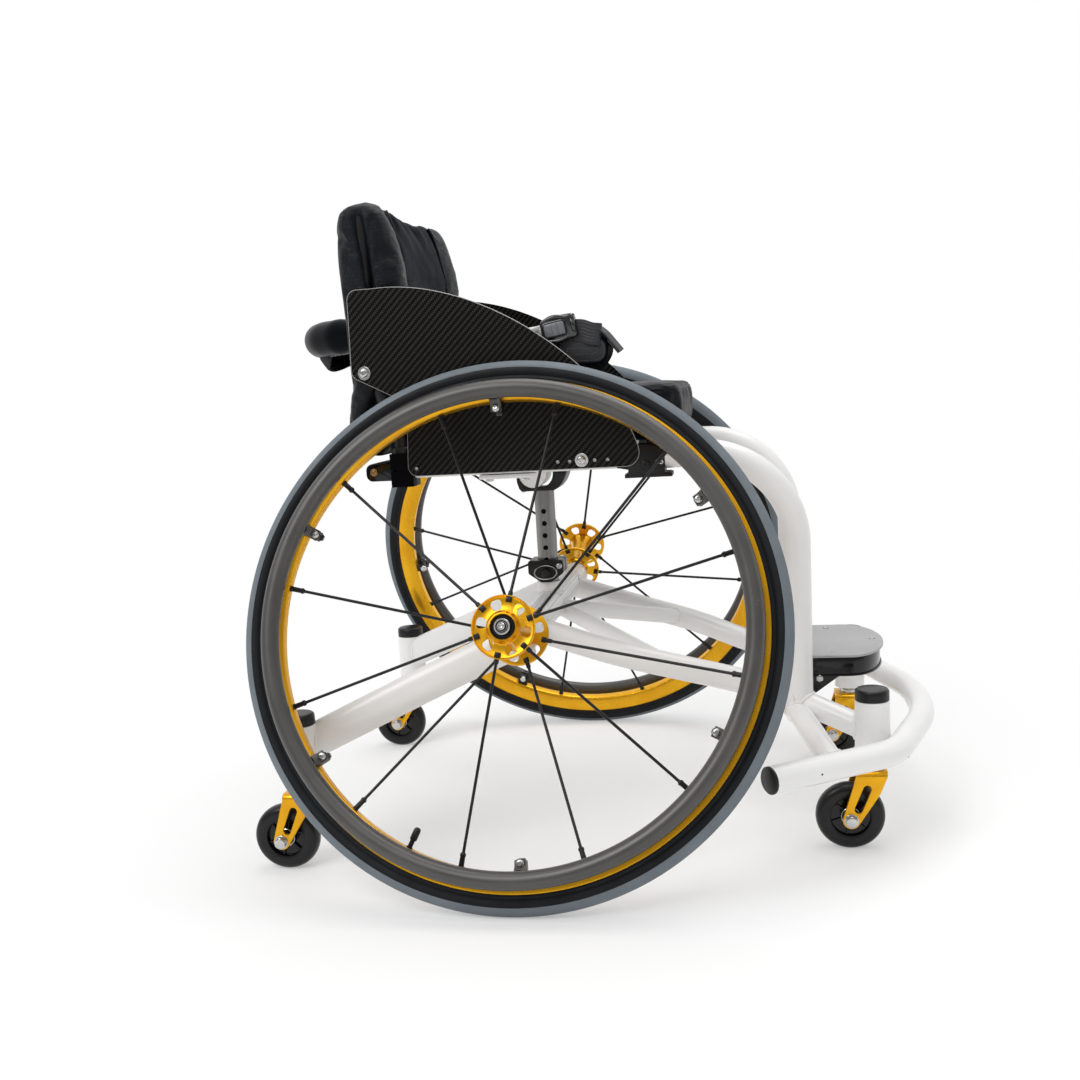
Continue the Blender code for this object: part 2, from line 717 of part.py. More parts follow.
def camber_tube_complete():
    """The camber tube with its angled plugs, axle bores and the socket of the seat post."""
    sides = 24
    end_z = HUB_Z - (HUB_Y - CAMBER_TUBE_HALF_LENGTH) * math.tan(CAMBER)
    rings = []
    for side, outward in ((-1.0, True), (1.0, False)):
        end_y = side * CAMBER_TUBE_HALF_LENGTH
        plug_end = wheel_matrix(side) @ Matrix.Translation((0, 0, HUB_INNER_END - GAP))
        shared = []
        for k in range(sides):
            angle = 2 * math.pi * (k + 0.5) / sides
            x, rise = math.cos(angle), math.sin(angle)
            face = plug_end @ Vector((CAMBER_PLUG_RADIUS * x, -side * CAMBER_PLUG_RADIUS * rise, 0.0))
            root = Vector((CAMBER_PLUG_RADIUS * x, end_y, end_z + CAMBER_PLUG_RADIUS * rise))
            tube_end = Vector((CAMBER_TUBE_RADIUS * x, end_y, CAMBER_TUBE_Z + CAMBER_TUBE_RADIUS * rise))
            shared.append((face, root, tube_end))
        levels = [list(level) for level in zip(*shared)]
        rings += levels if outward else levels[::-1]
    body = loft(rings)
    join(body, cylinder(RECEIVER_RADIUS, (POST_X, 0, CAMBER_TUBE_Z), (POST_X, 0, COLLAR_BOTTOM_Z - GAP), POST_SIDES))
    for side in (1.0, -1.0):
        mouth = wheel_matrix(side) @ Vector((0, 0, HUB_INNER_END + 0.005))
        floor = wheel_matrix(side) @ Vector((0, 0, AXLE_INNER_END - GAP))
        cut(body, cylinder(AXLE_RADIUS + GAP, mouth, floor))
    floor_z = POST_BOTTOM_Z - POST_TRAVEL - 0.001
    return cut(body, cylinder(POST_RADIUS + GAP, (POST_X, 0, floor_z), (POST_X, 0, COLLAR_TOP_Z), POST_SIDES))


def housing(stem_x, stem_y):
    """The upright housing that a caster's stem turns in, before its bore is cut."""
    profile = [(0, HOUSING_BOTTOM_Z), (HOUSING_RADIUS, HOUSING_BOTTOM_Z), (HOUSING_RADIUS, HOUSING_WAIST_Z),
               (HOUSING_TOP_RADIUS, HOUSING_TOP_Z), (0, HOUSING_TOP_Z)]
    return turned(profile, HOUSING_SIDES, Matrix.Translation((stem_x, stem_y, 0)))


def housing_cutter(stem_x, stem_y):
    """The housing's outside with clearance, for pieces that touch it."""
    return cylinder(HOUSING_RADIUS + GAP, (stem_x, stem_y, HOUSING_BOTTOM_Z - 0.02),
                    (stem_x, stem_y, HOUSING_TOP_Z), HOUSING_SIDES)


def stem_bore(stem_x, stem_y):
    """The bore that a caster's stem turns in."""
    return cylinder(STEM_RADIUS + GAP, (stem_x, stem_y, HOUSING_BOTTOM_Z - 0.01),
                    (stem_x, stem_y, STEM_TOP_Z + 0.003), STEM_SIDES)


def rear_arm_solid():
    """The oval tube that runs back from the camber tube to a rear caster's housing."""
    start_z = CAMBER_TUBE_Z - REAR_ARM_DROP
    places = []
    for along, outward, height in ((0.0, 0.0, 1.0), (0.21, 0.0, 0.792), (0.5655, 0.3676, 0.4372),
                                   (0.9438, 0.8272, 0.052), (1.0, 1.0, 0.0)):
        places.append((REAR_STEM_X * along, REAR_ARM_START_Y + REAR_ARM_SPREAD * outward,
                       REAR_ARM_END_Z + (start_z - REAR_ARM_END_Z) * height))
    path = smooth(places, 2)
    section = ellipse(REAR_ARM_HALF_WIDTH, REAR_ARM_HALF_HEIGHT, 12)
    arm = sweep(path, [section] * len(path))
    join(arm, housing(REAR_STEM_X, REAR_STEM_Y))
    above = cylinder(HOUSING_RADIUS + GAP, (REAR_STEM_X, REAR_STEM_Y, HOUSING_TOP_Z + 0.0001),
                     (REAR_STEM_X, REAR_STEM_Y, HOUSING_TOP_Z + 0.03), HOUSING_SIDES)
    return cut(arm, above, stem_bore(REAR_STEM_X, REAR_STEM_Y), camber_tube_solid(GAP))


def leg_path():
    """The front leg's centreline: along the seat, round the knee bend and down, leaning inwards."""
    return fillet([(LEG_START_X, RAIL_Y, LEG_TOP_Z), (LEG_X, RAIL_Y, LEG_TOP_Z), (LEG_X, LEG_BASE_Y, LEG_BASE_Z)],
                  [LEG_BEND_RADIUS], 6)


def leg_solid(extra=0.0):
    """The front leg, seen from which the other tubes are coped."""
    return tube(leg_path(), LEG_RADIUS + extra, 14, Y_AXIS)


def lower_tube_solid(extra=0.0):
    """The lower side tube from the camber tube to the foot of the front leg."""
    path = smooth([lower_tube_place(0.0, 1.0, 1.0), lower_tube_place(LOWER_TUBE_REACH_X, 1.0, 0.678),
                   lower_tube_place(LOWER_TUBE_BEND_X, 0.75, 0.4537), lower_tube_place(LOWER_TUBE_LOW_X, 0.25, 0.2585),
                   lower_tube_place(LEG_X, 0.0, 0.0)], 2)
    return tube(path, LOWER_TUBE_RADIUS + extra, 12)


def lower_tube_place(x, outward, height):
    """A point of the lower tube's line, by its shares of the way out and up from the leg's foot."""
    rise = CAMBER_TUBE_Z - LOWER_TUBE_DROP - LOWER_TUBE_END_Z
    return x, LEG_BASE_Y + (LOWER_TUBE_START_Y - LEG_BASE_Y) * outward, LOWER_TUBE_END_Z + rise * height


def brace_solid():
    """The V brace from the middle of the camber tube to both lower tubes."""
    brace = None
    x, y, z = lower_tube_place(BRACE_REACH_X, 0.8125, 0.5102)
    for side in (1.0, -1.0):
        arm = tube([(BRACE_START_X, 0.0, CAMBER_TUBE_Z - BRACE_DROP), (x, side * y, z)], BRACE_RADIUS, 12)
        brace = join(brace, arm) if brace else arm
    neighbour = lower_tube_solid(GAP)
    return cut(brace, camber_tube_solid(GAP), mirrored(neighbour), neighbour)


def bumper_solid(extra=0.0):
    """The bumper bar round the front of the chair."""
    half = [(BUMPER_END_X, BUMPER_END_Y), (BUMPER_CORNER_X, BUMPER_CORNER_Y), (BUMPER_FRONT_X, BUMPER_FRONT_Y)]
    corners = [(x, y, BUMPER_Z) for x, y in half] + [(x, -y, BUMPER_Z) for x, y in reversed(half)]
    bends = [BUMPER_CORNER_BEND, BUMPER_FRONT_BEND, BUMPER_FRONT_BEND, BUMPER_CORNER_BEND]
    return tube(fillet(corners, bends, 3), BUMPER_RADIUS + extra, 10)


def front_arm_solid():
    """The short arm to a front caster's housing, welded to the strut that reaches the bumper."""
    arm = tube([(LEG_X, LEG_BASE_Y, JUNCTION_Z), (FRONT_STEM_X, FRONT_STEM_Y, 0.139)], ARM_RADIUS, 12)
    strut = tube([(STRUT_START_X, LEG_BASE_Y, STRUT_START_Z), (STRUT_END_X, STRUT_END_Y, BUMPER_Z - 0.001)],
                 STRUT_RADIUS, 12)
    join(arm, housing(FRONT_STEM_X, FRONT_STEM_Y), strut)
    return cut(arm, stem_bore(FRONT_STEM_X, FRONT_STEM_Y), leg_solid(GAP), lower_tube_solid(GAP),
               bumper_solid(GAP))


def front_cross_tube_solid(extra=0.0):
    """The cross tube between the feet of the legs, which carries the footplate."""
    half = LEG_BASE_Y + 0.004
    return tube([(LEG_X, -half, CROSS_TUBE_Z), (LEG_X, half, CROSS_TUBE_Z)], CROSS_TUBE_RADIUS + extra)


def cap_solid(stem_x, stem_y):
    """The round cap on a caster's housing."""
    bottom = HOUSING_TOP_Z + GAP
    top = bottom + CAP_HEIGHT
    profile = [(0, bottom), (HOUSING_TOP_RADIUS, bottom), (HOUSING_TOP_RADIUS, top - 0.003),
               (HOUSING_TOP_RADIUS - 0.003, top), (0, top)]
    return turned(profile, 12, Matrix.Translation((stem_x, stem_y, 0)))


# Casters, built with the stem on the Z axis and the wheel behind it

def fork_side_outline():
    """The fork seen from the side, with its round lower end about the wheel's bolt."""
    places = [(-0.0207, FORK_TOP_Z + 0.002), (-0.0209, 0.0905)]
    for degrees in range(168, 331, 32):
        angle = math.radians(degrees)
        places.append((-CASTER_TRAIL + FORK_END_RADIUS * math.cos(angle),
                       CASTER_RADIUS + FORK_END_RADIUS * math.sin(angle)))
    return places + [(0.0056, 0.0708), (0.0139, 0.0910), (0.0148, FORK_TOP_Z + 0.002)]


def fork_solid():
    """The bent fork with its stem and the wheel's bolt."""
    width = FORK_HALF_WIDTH
    inner = width - FORK_PLATE
    under = FORK_TOP_Z - FORK_PLATE
    corners = [(-width, 0.02), (-width, FORK_TOP_Z), (width, FORK_TOP_Z), (width, 0.02),
               (inner, 0.02), (inner, under), (-inner, under), (-inner, 0.02)]
    bends = [0, FORK_BEND, FORK_BEND, 0, 0, FORK_BEND - FORK_PLATE, FORK_BEND - FORK_PLATE, 0]
    fork = prism(rounded(corners, bends, 1), "x", -0.045, 0.025)
    combine(fork, prism(fork_side_outline(), "y", -0.03, 0.03), "INTERSECT")
    slot = []
    top, bottom = Vector((-0.0084, 0.0772)), Vector((-0.0184, 0.0531))
    slope = math.atan2(top.y - bottom.y, top.x - bottom.x)
    for centre, first in ((top, slope - math.pi / 2), (bottom, slope + math.pi / 2)):
        for k in range(3):
            angle = first + math.pi * k / 2
            slot.append((centre.x + FORK_SLOT_RADIUS * math.cos(angle),
                         centre.y + FORK_SLOT_RADIUS * math.sin(angle)))
    cut(fork, prism(slot, "y", -0.03, 0.03))
    base_top = HOUSING_BOTTOM_Z - GAP
    profile = [(0, under + 0.001), (STEM_BASE_RADIUS, under + 0.001), (STEM_BASE_RADIUS, base_top),
               (STEM_RADIUS, base_top), (STEM_RADIUS, STEM_TOP_Z), (0, STEM_TOP_Z)]
    join(fork, turned(profile, STEM_SIDES))
    reach = width + CASTER_BOLT_HEAD
    join(fork, cylinder(CASTER_BOLT_RADIUS, (-CASTER_TRAIL, -width - 0.002, CASTER_RADIUS),
                        (-CASTER_TRAIL, width + 0.002, CASTER_RADIUS), 8))
    for side in (1.0, -1.0):
        join(fork, cylinder(CASTER_BOLT_HEAD_RADIUS, (-CASTER_TRAIL, side * (width - 0.001), CASTER_RADIUS),
                            (-CASTER_TRAIL, side * reach, CASTER_RADIUS), 6))
    return fork


def caster_wheel_solid():
    """The caster's wheel with its bosses and bore."""
    bore = CASTER_BOLT_RADIUS + GAP
    boss = FORK_HALF_WIDTH - FORK_PLATE - GAP
    half = [(bore, boss), (CASTER_BOSS_RADIUS, boss), (CASTER_BOSS_RADIUS, CASTER_WEB_HALF_WIDTH),
            (CASTER_WEB_RADIUS, CASTER_WEB_HALF_WIDTH), (CASTER_SHOULDER_RADIUS, CASTER_HALF_WIDTH),
            (CASTER_RADIUS, CASTER_TREAD_HALF_WIDTH)]
    profile = half + [(radius, -width) for radius, width in reversed(half)]
    turn = Matrix.Rotation(math.pi / 2, 4, "X")
    return turned(profile, CASTER_SIDES, Matrix.Translation((-CASTER_TRAIL, 0, CASTER_RADIUS)) @ turn)


# Seat height column

def collar_solid():
    """The block that clamps the seat post, with the hole of the height pin."""
    along, rise = COLLAR_CHAMFER_X, COLLAR_CHAMFER_Z
    outline = [(COLLAR_REAR_X, COLLAR_TOP_Z), (COLLAR_REAR_X, COLLAR_BOTTOM_Z + rise),
               (COLLAR_REAR_X + along, COLLAR_BOTTOM_Z), (COLLAR_FRONT_X - along, COLLAR_BOTTOM_Z),
               (COLLAR_FRONT_X, COLLAR_BOTTOM_Z + rise), (COLLAR_FRONT_X, COLLAR_TOP_Z)]
    collar = prism(outline, "y", -COLLAR_HALF_WIDTH, COLLAR_HALF_WIDTH)
    bore = cylinder(POST_RADIUS + GAP, (POST_X, 0, COLLAR_BOTTOM_Z - 0.01), (POST_X, 0, COLLAR_TOP_Z + 0.01),
                    POST_SIDES)
    pin_hole = cylinder(PIN_RADIUS + GAP, (POST_X, 0, PIN_Z), (POST_X, -COLLAR_HALF_WIDTH - 0.01, PIN_Z), 12)
    return cut(collar, bore, pin_hole)


def height_pin_solid():
    """The pull pin that holds the post's height. Its tip stops at the post's face."""
    head = -COLLAR_HALF_WIDTH - GAP
    turn = Matrix.Translation((POST_X, 0, PIN_Z)) @ Matrix.Rotation(math.pi / 2, 4, "X")
    profile = [(0, POST_RADIUS + GAP), (PIN_RADIUS, POST_RADIUS + GAP), (PIN_RADIUS, -head),
               (PIN_HEAD_RADIUS, -head), (PIN_HEAD_RADIUS, -head + PIN_HEAD_LENGTH), (0, -head + PIN_HEAD_LENGTH)]
    return turned(profile, 12, turn)


def seat_post_solid():
    """The post with its row of height holes."""
    post = cylinder(POST_RADIUS, (POST_X, 0, POST_BOTTOM_Z), (POST_X, 0, POST_TOP_Z), POST_SIDES)
    for index in range(POST_HOLES):
        height = PIN_Z + POST_HOLE_PITCH * (index - 1)
        cut(post, cylinder(POST_HOLE_RADIUS, (POST_X, -0.03, height), (POST_X, 0.03, height), 6))
    return post


def cradle_solid():
    """The trough on the post. It is longer than the seat tube, which creeps forward as the seat tips."""
    inner = SEAT_TUBE_RADIUS + CRADLE_CLEARANCE
    rear, front = SEAT_TUBE_X, SEAT_TUBE_X + CRADLE_SLOT
    rear_top, front_top = SEAT_TUBE_Z - 0.0005, SEAT_TUBE_Z + 0.0040
    outline = [(CRADLE_REAR_X, rear_top), (CRADLE_REAR_X + 0.001, CRADLE_BOTTOM_Z + 0.010),
               (CRADLE_REAR_X + 0.006, CRADLE_BOTTOM_Z), (CRADLE_TIP_X - 0.018, CRADLE_BOTTOM_Z),
               (CRADLE_TIP_X - 0.007, CRADLE_BOTTOM_Z + 0.009), (CRADLE_TIP_X, front_top), (front + inner, front_top)]
    for centre, first in ((front, 0), (rear, -90)):
        for step in range(5):
            angle = math.radians(first - 22.5 * step)
            outline.append((centre + inner * math.cos(angle), SEAT_TUBE_Z + inner * math.sin(angle)))
    outline[-1] = (rear - inner, rear_top)
    return prism(outline, "y", -CRADLE_HALF_WIDTH, CRADLE_HALF_WIDTH)


# Seat frame

def pivot_outline(radius, end_x):
    """An upright tongue that is round about the pivot and runs on to end_x."""
    places = []
    facing = 1.0 if end_x < PIVOT_X else -1.0
    for step in range(9):
        angle = math.radians(-90 + 22.5 * step)
        places.append((PIVOT_X + facing * radius * math.cos(angle), PIVOT_Z + radius * math.sin(angle)))
    return places + [(end_x, PIVOT_Z + radius), (end_x, PIVOT_Z - radius)]


def seat_pivot_solid():
    """The clevis on the end of the front leg, with its pin."""
    low, high = RAIL_Y - PIVOT_EAR_OUTER, RAIL_Y + PIVOT_EAR_OUTER
    face = LEG_START_X - GAP
    bottom = PIVOT_Z - PIVOT_EAR_RADIUS - 0.003
    clevis = box((PIVOT_BASE_X, low, bottom), (face, high, LEG_TOP_Z + 0.010))
    slab_top = PIVOT_Z - LUG_RADIUS - 0.0005
    ears = prism(pivot_outline(PIVOT_EAR_RADIUS, PIVOT_BASE_X + 0.002), "y", low + 0.00001, high - 0.00001)
    join(clevis, ears)
    join(clevis, box((PIVOT_X - 0.018, low + 0.00002, bottom - 0.00001), (face + 0.008, high - 0.00002, slab_top)))
    cut(clevis, box((PIVOT_X - 0.03, RAIL_Y - PIVOT_EAR_INNER, slab_top),
                    (PIVOT_BASE_X, RAIL_Y + PIVOT_EAR_INNER, LEG_TOP_Z + 0.03)))
    return join(clevis, cylinder(PIVOT_PIN_RADIUS, (PIVOT_X, low + 0.001, PIVOT_Z), (PIVOT_X, high - 0.001, PIVOT_Z)))


def lug_outline():
    """The rail's lug: round about the pivot, with a lower edge that rises to the rail by the seat's tip angle."""
    places = []
    steps = 8
    turn = math.pi + TIP_ANGLE
    for step in range(steps + 1):
        angle = math.pi / 2 - turn * step / steps
        places.append((PIVOT_X + LUG_RADIUS * math.cos(angle), PIVOT_Z + LUG_RADIUS * math.sin(angle)))
    end_x = RAIL_FRONT_X - LUG_RADIUS
    tangent_x, tangent_z = places[-1]
    end_z = tangent_z + (tangent_x - end_x) * math.tan(TIP_ANGLE)
    return places + [(end_x, end_z), (end_x, PIVOT_Z + LUG_RADIUS)]


def rail_solid():
    """A seat rail with the lug that turns on the pivot's pin."""
    rail = tube([(RAIL_REAR_X, RAIL_Y, RAIL_Z), (RAIL_FRONT_X, RAIL_Y, RAIL_Z)], RAIL_RADIUS)
    half = PIVOT_EAR_INNER - GAP
    join(rail, prism(lug_outline(), "y", RAIL_Y - half, RAIL_Y + half))
    return cut(rail, cylinder(PIVOT_PIN_RADIUS + GAP, (PIVOT_X, RAIL_Y - 0.03, PIVOT_Z),
                              (PIVOT_X, RAIL_Y + 0.03, PIVOT_Z)))


def cross_member_solid():
    """The plate under both rails, with the tube that rests in the cradle."""
    top = RAIL_Z - RAIL_RADIUS - GAP
    half = SEAT_PLATE_HALF_WIDTH
    plate = box((SEAT_PLATE_REAR_X, -half, top - SEAT_PLATE_THICKNESS), (SEAT_PLATE_FRONT_X, half, top))
    width = CRADLE_HALF_WIDTH
    return join(plate, tube([(SEAT_TUBE_X, -width, SEAT_TUBE_Z), (SEAT_TUBE_X, width, SEAT_TUBE_Z)],
                            SEAT_TUBE_RADIUS, 16))


def back_post_tube(extra=0.0):
    """The back post's tube and the boss that holds the guard."""
    y = BACK_POST_Y
    path = fillet([(-0.1425, y, CLAMP_BOTTOM_Z + 0.004), (-0.1425, y, 0.500), (GUARD_BOLT_X, y, 0.590),
                   (-0.172, y, BACK_POST_TOP_Z + extra)], [0.05, 0.06], 2)
    post = tube(path, BACK_POST_RADIUS + extra, 10, Y_AXIS)
    boss = cylinder(GUARD_BOSS_RADIUS + extra, (GUARD_BOLT_X + 0.003, y, GUARD_BOLT_Z),
                    (GUARD_BOLT_X + 0.003, GUARD_INNER_Y - GAP + 3 * extra, GUARD_BOLT_Z), 8)
    return join(post, boss)


def back_post_solid():
    """The back post with the block that clamps it to the rail."""
    clamp = box((CLAMP_REAR_X, CLAMP_INNER_Y, CLAMP_BOTTOM_Z), (CLAMP_FRONT_X, GUARD_INNER_Y - GAP, CLAMP_TOP_Z))
    return join(back_post_tube(), clamp)


def rear_bar_solid():
    """The flat oval bar behind the rails' clamps."""
    front = CLAMP_REAR_X - GAP
    rear = front - REAR_BAR_LENGTH_X
    corners = [(rear, REAR_BAR_BOTTOM_Z), (front, REAR_BAR_BOTTOM_Z), (front, REAR_BAR_TOP_Z), (rear, REAR_BAR_TOP_Z)]
    return prism(rounded(corners, [0.008, 0.004, 0.004, 0.008]), "y", -REAR_BAR_HALF_WIDTH, REAR_BAR_HALF_WIDTH)


def push_bar_solid(extra=0.0):
    """The padded bar that bows back between the back posts."""
    path = []
    sections = []
    steps = 14
    for step in range(steps + 1):
        y = BACK_POST_Y * (2 * step / steps - 1)
        bow = math.cos(math.pi * y / (2 * BACK_POST_Y))
        path.append(Vector((GUARD_BOLT_X + 0.001 - PUSH_BAR_BOW * bow, y, PUSH_BAR_Z)))
        fullness = min(1.0, max(0.0, (BACK_POST_Y - abs(y)) / 0.045))
        fullness = fullness * fullness * (3 - 2 * fullness)
        radius = PUSH_BAR_END_RADIUS + (PUSH_BAR_RADIUS - PUSH_BAR_END_RADIUS) * fullness + extra
        sections.append(ellipse(radius, radius, 10))
    return sweep(path, sections)


def push_bar_complete():
    """The bowed bar, coped to both posts."""
    post = back_post_tube(GAP)
    return cut(push_bar_solid(), mirrored(post), post)


def guard_solid():
    """The thin side guard with its long swept top edge."""
    edge = []
    start, pull = (GUARD_TOP_X, GUARD_TOP_Z), (GUARD_CREST_X, GUARD_CREST_Z)
    push, end = (GUARD_SLOPE_X, GUARD_SLOPE_Z), (GUARD_FRONT_X, GUARD_NOSE_Z)
    for step in range(17):
        t = step / 16
        weights = ((1 - t) ** 3, 3 * t * (1 - t) ** 2, 3 * t * t * (1 - t), t ** 3)
        edge.append(tuple(sum(w * p[i] for w, p in zip(weights, (start, pull, push, end))) for i in (0, 1)))
    lower = rounded([(GUARD_FRONT_X, GUARD_NOSE_Z), (GUARD_FRONT_X - 0.005, GUARD_BOTTOM_Z),
                     (GUARD_NOTCH_X, GUARD_BOTTOM_Z), (GUARD_NOTCH_X + 0.005, GUARD_NOTCH_Z),
                     (GUARD_REAR_X - 0.002, GUARD_LEDGE_Z), (GUARD_REAR_X, GUARD_TOP_Z), (GUARD_TOP_X, GUARD_TOP_Z)],
                    [0, 0.012, 0.010, 0.030, 0.012, 0.012, 0], 4)
    outline = edge + lower[1:-1]
    return prism(outline, "y", GUARD_INNER_Y, GUARD_INNER_Y + GUARD_THICKNESS)


# Soft parts

def sling_solid():
    """The taut seat fabric on the rails."""
    return box((SLING_REAR_X, -SLING_HALF_WIDTH, SLING_BOTTOM_Z),
               (SLING_FRONT_X, SLING_HALF_WIDTH, SLING_BOTTOM_Z + SLING_THICKNESS))


def cushion_ring(inset, height):
    """One level of the cushion."""
    rear, front = CUSHION_REAR_X + inset, CUSHION_FRONT_X - inset
    half = CUSHION_HALF_WIDTH - inset
    corner = max(CUSHION_CORNER - inset / 2, 0.004)
    corners = [(rear, -half), (front, -half), (front, half), (rear, half)]
    places = []
    for index, (x, y) in enumerate(corners):
        previous = Vector((*corners[index - 1], 0))
        after = Vector((*corners[(index + 1) % 4], 0))
        arc = corner_arc(previous, Vector((x, y, 0)), after, corner, 4)
        places += arc
        for share in (0.25, 0.5, 0.75):
            following = corners[(index + 1) % 4]
            offset = (after - Vector((x, y, 0))).normalized() * corner
            start = Vector((x, y, 0)) + offset
            end = Vector((*following, 0)) - offset
            places.append(start.lerp(end, share))
    return [Vector((point.x, point.y, height)) for point in places]


def cushion_solid():
    """The cushion, with drawn-in sides and a low crown."""
    bottom = CUSHION_BOTTOM_Z
    top = bottom + CUSHION_HEIGHT
    rings = [cushion_ring(0.006, bottom), cushion_ring(0.0010, bottom + 0.007), cushion_ring(0.0022, bottom + 0.026),
             cushion_ring(0.0, top - 0.014), cushion_ring(0.0025, top - 0.006), cushion_ring(0.010, top - 0.0015),
             cushion_ring(0.026, top + 0.0015), cushion_ring(0.060, top + 0.7 * CUSHION_CROWN),
             cushion_ring(0.110, top + CUSHION_CROWN)]
    return loft(rings)


BACK_REAR = [(0.478, -0.201), (0.500, -0.2085), (0.517, -0.210), (0.540, -0.2055), (0.565, -0.2010),
             (0.625, -0.1995), (0.700, -0.2020), (0.735, -0.2000), (0.755, -0.1925), (0.766, -0.1835),
             (0.7715, -0.1715)]
BACK_FRONT = [(0.478, -0.163), (0.500, -0.164), (0.517, -0.161), (0.540, -0.143), (0.565, -0.1185),
              (0.625, -0.1225), (0.700, -0.1300), (0.735, -0.1375), (0.755, -0.1440), (0.766, -0.1505),
              (0.7715, -0.1595)]
BACK_EDGE = [(0.478, BACK_HALF_WIDTH - 0.0112), (0.540, BACK_HALF_WIDTH - 0.0082), (0.565, BACK_HALF_WIDTH),
             (0.755, BACK_HALF_WIDTH), (0.766, BACK_HALF_WIDTH - 0.006), (0.7715, BACK_HALF_WIDTH - 0.016)]


def back_ring(height):
    """One level of the backrest: two bolsters round the posts and a thinner panel between them."""
    rear, front, edge = between(height, BACK_REAR), between(height, BACK_FRONT), between(height, BACK_EDGE)
    depth = front - rear
    shape = [(0.14, 0.0), (0.13, 0.34), (0.10, 0.62), (0.03, 0.78), (0.01, 0.88), (0.10, 0.965), (0.27, 1.0),
             (0.42, 1.0), (0.50, None), (0.58, 1.0), (0.77, 1.0), (0.92, 0.965), (1.0, 0.89), (0.95, 0.77),
             (0.84, 0.62), (0.83, 0.30), (0.83, 0.0)]
    half = []
    for back, out in shape:
        y = edge - BACK_CREASE if out is None else edge * out
        half.append((front - back * depth, y))
    places = half + [(x, -y) for x, y in reversed(half[1:-1])]
    return [Vector((x, y, height)) for x, y in places]


def back_solid():
    """The padded backrest, slipped over both posts and the bowed bar's ends."""
    heights = [place[0] for place in BACK_REAR]
    back = loft([back_ring(height) for height in heights])
    post = back_post_tube(GAP)
    return cut(back, mirrored(post), post, push_bar_solid(GAP))


def buckle_matrix():
    """The buckle's frame: X along its length, Z up its face, Y into the chair, on the right-hand side."""
    return (Matrix.Translation((BUCKLE_X, -BUCKLE_Y, BUCKLE_Z)) @ Matrix.Rotation(-BUCKLE_TILT, 4, "Y"))


def ribbon(points, across, width, thickness):
    """A flat strap through the points, with the given direction across it at each point."""
    rings = []
    path = [Vector(point) for point in points]
    for index, point in enumerate(path):
        tangent = (path[min(index + 1, len(path) - 1)] - path[max(index - 1, 0)]).normalized()
        side = Vector(across[index])
        side = (side - tangent * side.dot(tangent)).normalized() * width[index]
        lift = tangent.cross(side).normalized() * thickness / 2
        rings.append([point + side + lift, point - side + lift, point - side - lift, point + side - lift])
    return loft(rings)


def right_strap_solid():
    """The short strap on the right, up from the rail to the buckle's tongue."""
    side_y = -(CUSHION_HALF_WIDTH + GUARD_INNER_Y) / 2
    tongue_back = buckle_matrix() @ Vector((-BUCKLE_LENGTH / 2 - 0.018, 0.0, 0.0))
    path = smooth([(-0.075, side_y, 0.4885), (-0.050, side_y, 0.530), (-0.026, -BUCKLE_Y - 0.014, 0.566),
                   tuple(tongue_back)], 3)
    count = len(path)
    across = [(0.75, 0.0, -0.65)] * (count - 4) + [(0.6, 0.0, -0.8)] * 2 + [(0.45, 0.0, -0.9)] * 2
    strap = ribbon(path, across, [STRAP_HALF_WIDTH] * count, STRAP_THICKNESS)
    tongue = box((-BUCKLE_LENGTH / 2 - 0.026, -TONGUE_THICKNESS / 2, -TONGUE_HALF_WIDTH),
                 (-BUCKLE_LENGTH / 2 + TONGUE_INSERT, TONGUE_THICKNESS / 2, TONGUE_HALF_WIDTH))
    join(strap, moved(tongue, buckle_matrix()))
    return strap


def left_strap_solid():
    """The long strap from the buckle, round in a loop and across the cushion to the left rail."""
    front_end = buckle_matrix() @ Vector((BUCKLE_LENGTH / 2 + GAP, 0.0, 0.0))
    straight_end = buckle_matrix() @ Vector((BUCKLE_LENGTH / 2 + STRAP_STRAIGHT, 0.0, 0.0))
    side_y = (CUSHION_HALF_WIDTH + GUARD_INNER_Y) / 2
    top = CUSHION_BOTTOM_Z + CUSHION_HEIGHT
    rest = top + CUSHION_CROWN + STRAP_THICKNESS / 2 + GAP
    wide = CUSHION_HALF_WIDTH
    path = smooth([tuple(straight_end), (0.096, -0.892 * wide, 0.6190), (0.104, -0.8605 * wide, 0.600),
                   (0.094, -0.7538 * wide, 0.580), (0.070, -0.534 * wide, rest + 0.007),
                   (0.045, -0.1884 * wide, rest + 0.001), (0.020, 0.2513 * wide, rest + 0.001),
                   (-0.012, 0.691 * wide, top + 0.007), (-0.032, 0.9108 * wide, top + 0.0045),
                   (-0.042, 0.9862 * wide, top - 0.0005), (-0.047, side_y, top - 0.010),
                   (-0.053, side_y, top - 0.022), (-0.070, side_y, 0.4885)], 2)
    path.insert(0, front_end)
    count = len(path)
    across = []
    for index in range(count):
        share = index / (count - 1)
        upright = max(0.0, 1.0 - share / 0.35)
        slant = min(1.0 - upright, max(0.0, (0.80 - share) / 0.20))
        across.append((1.0 - upright, 0.35 * slant, upright))
    return ribbon(path, across, [STRAP_HALF_WIDTH] * count, STRAP_THICKNESS)


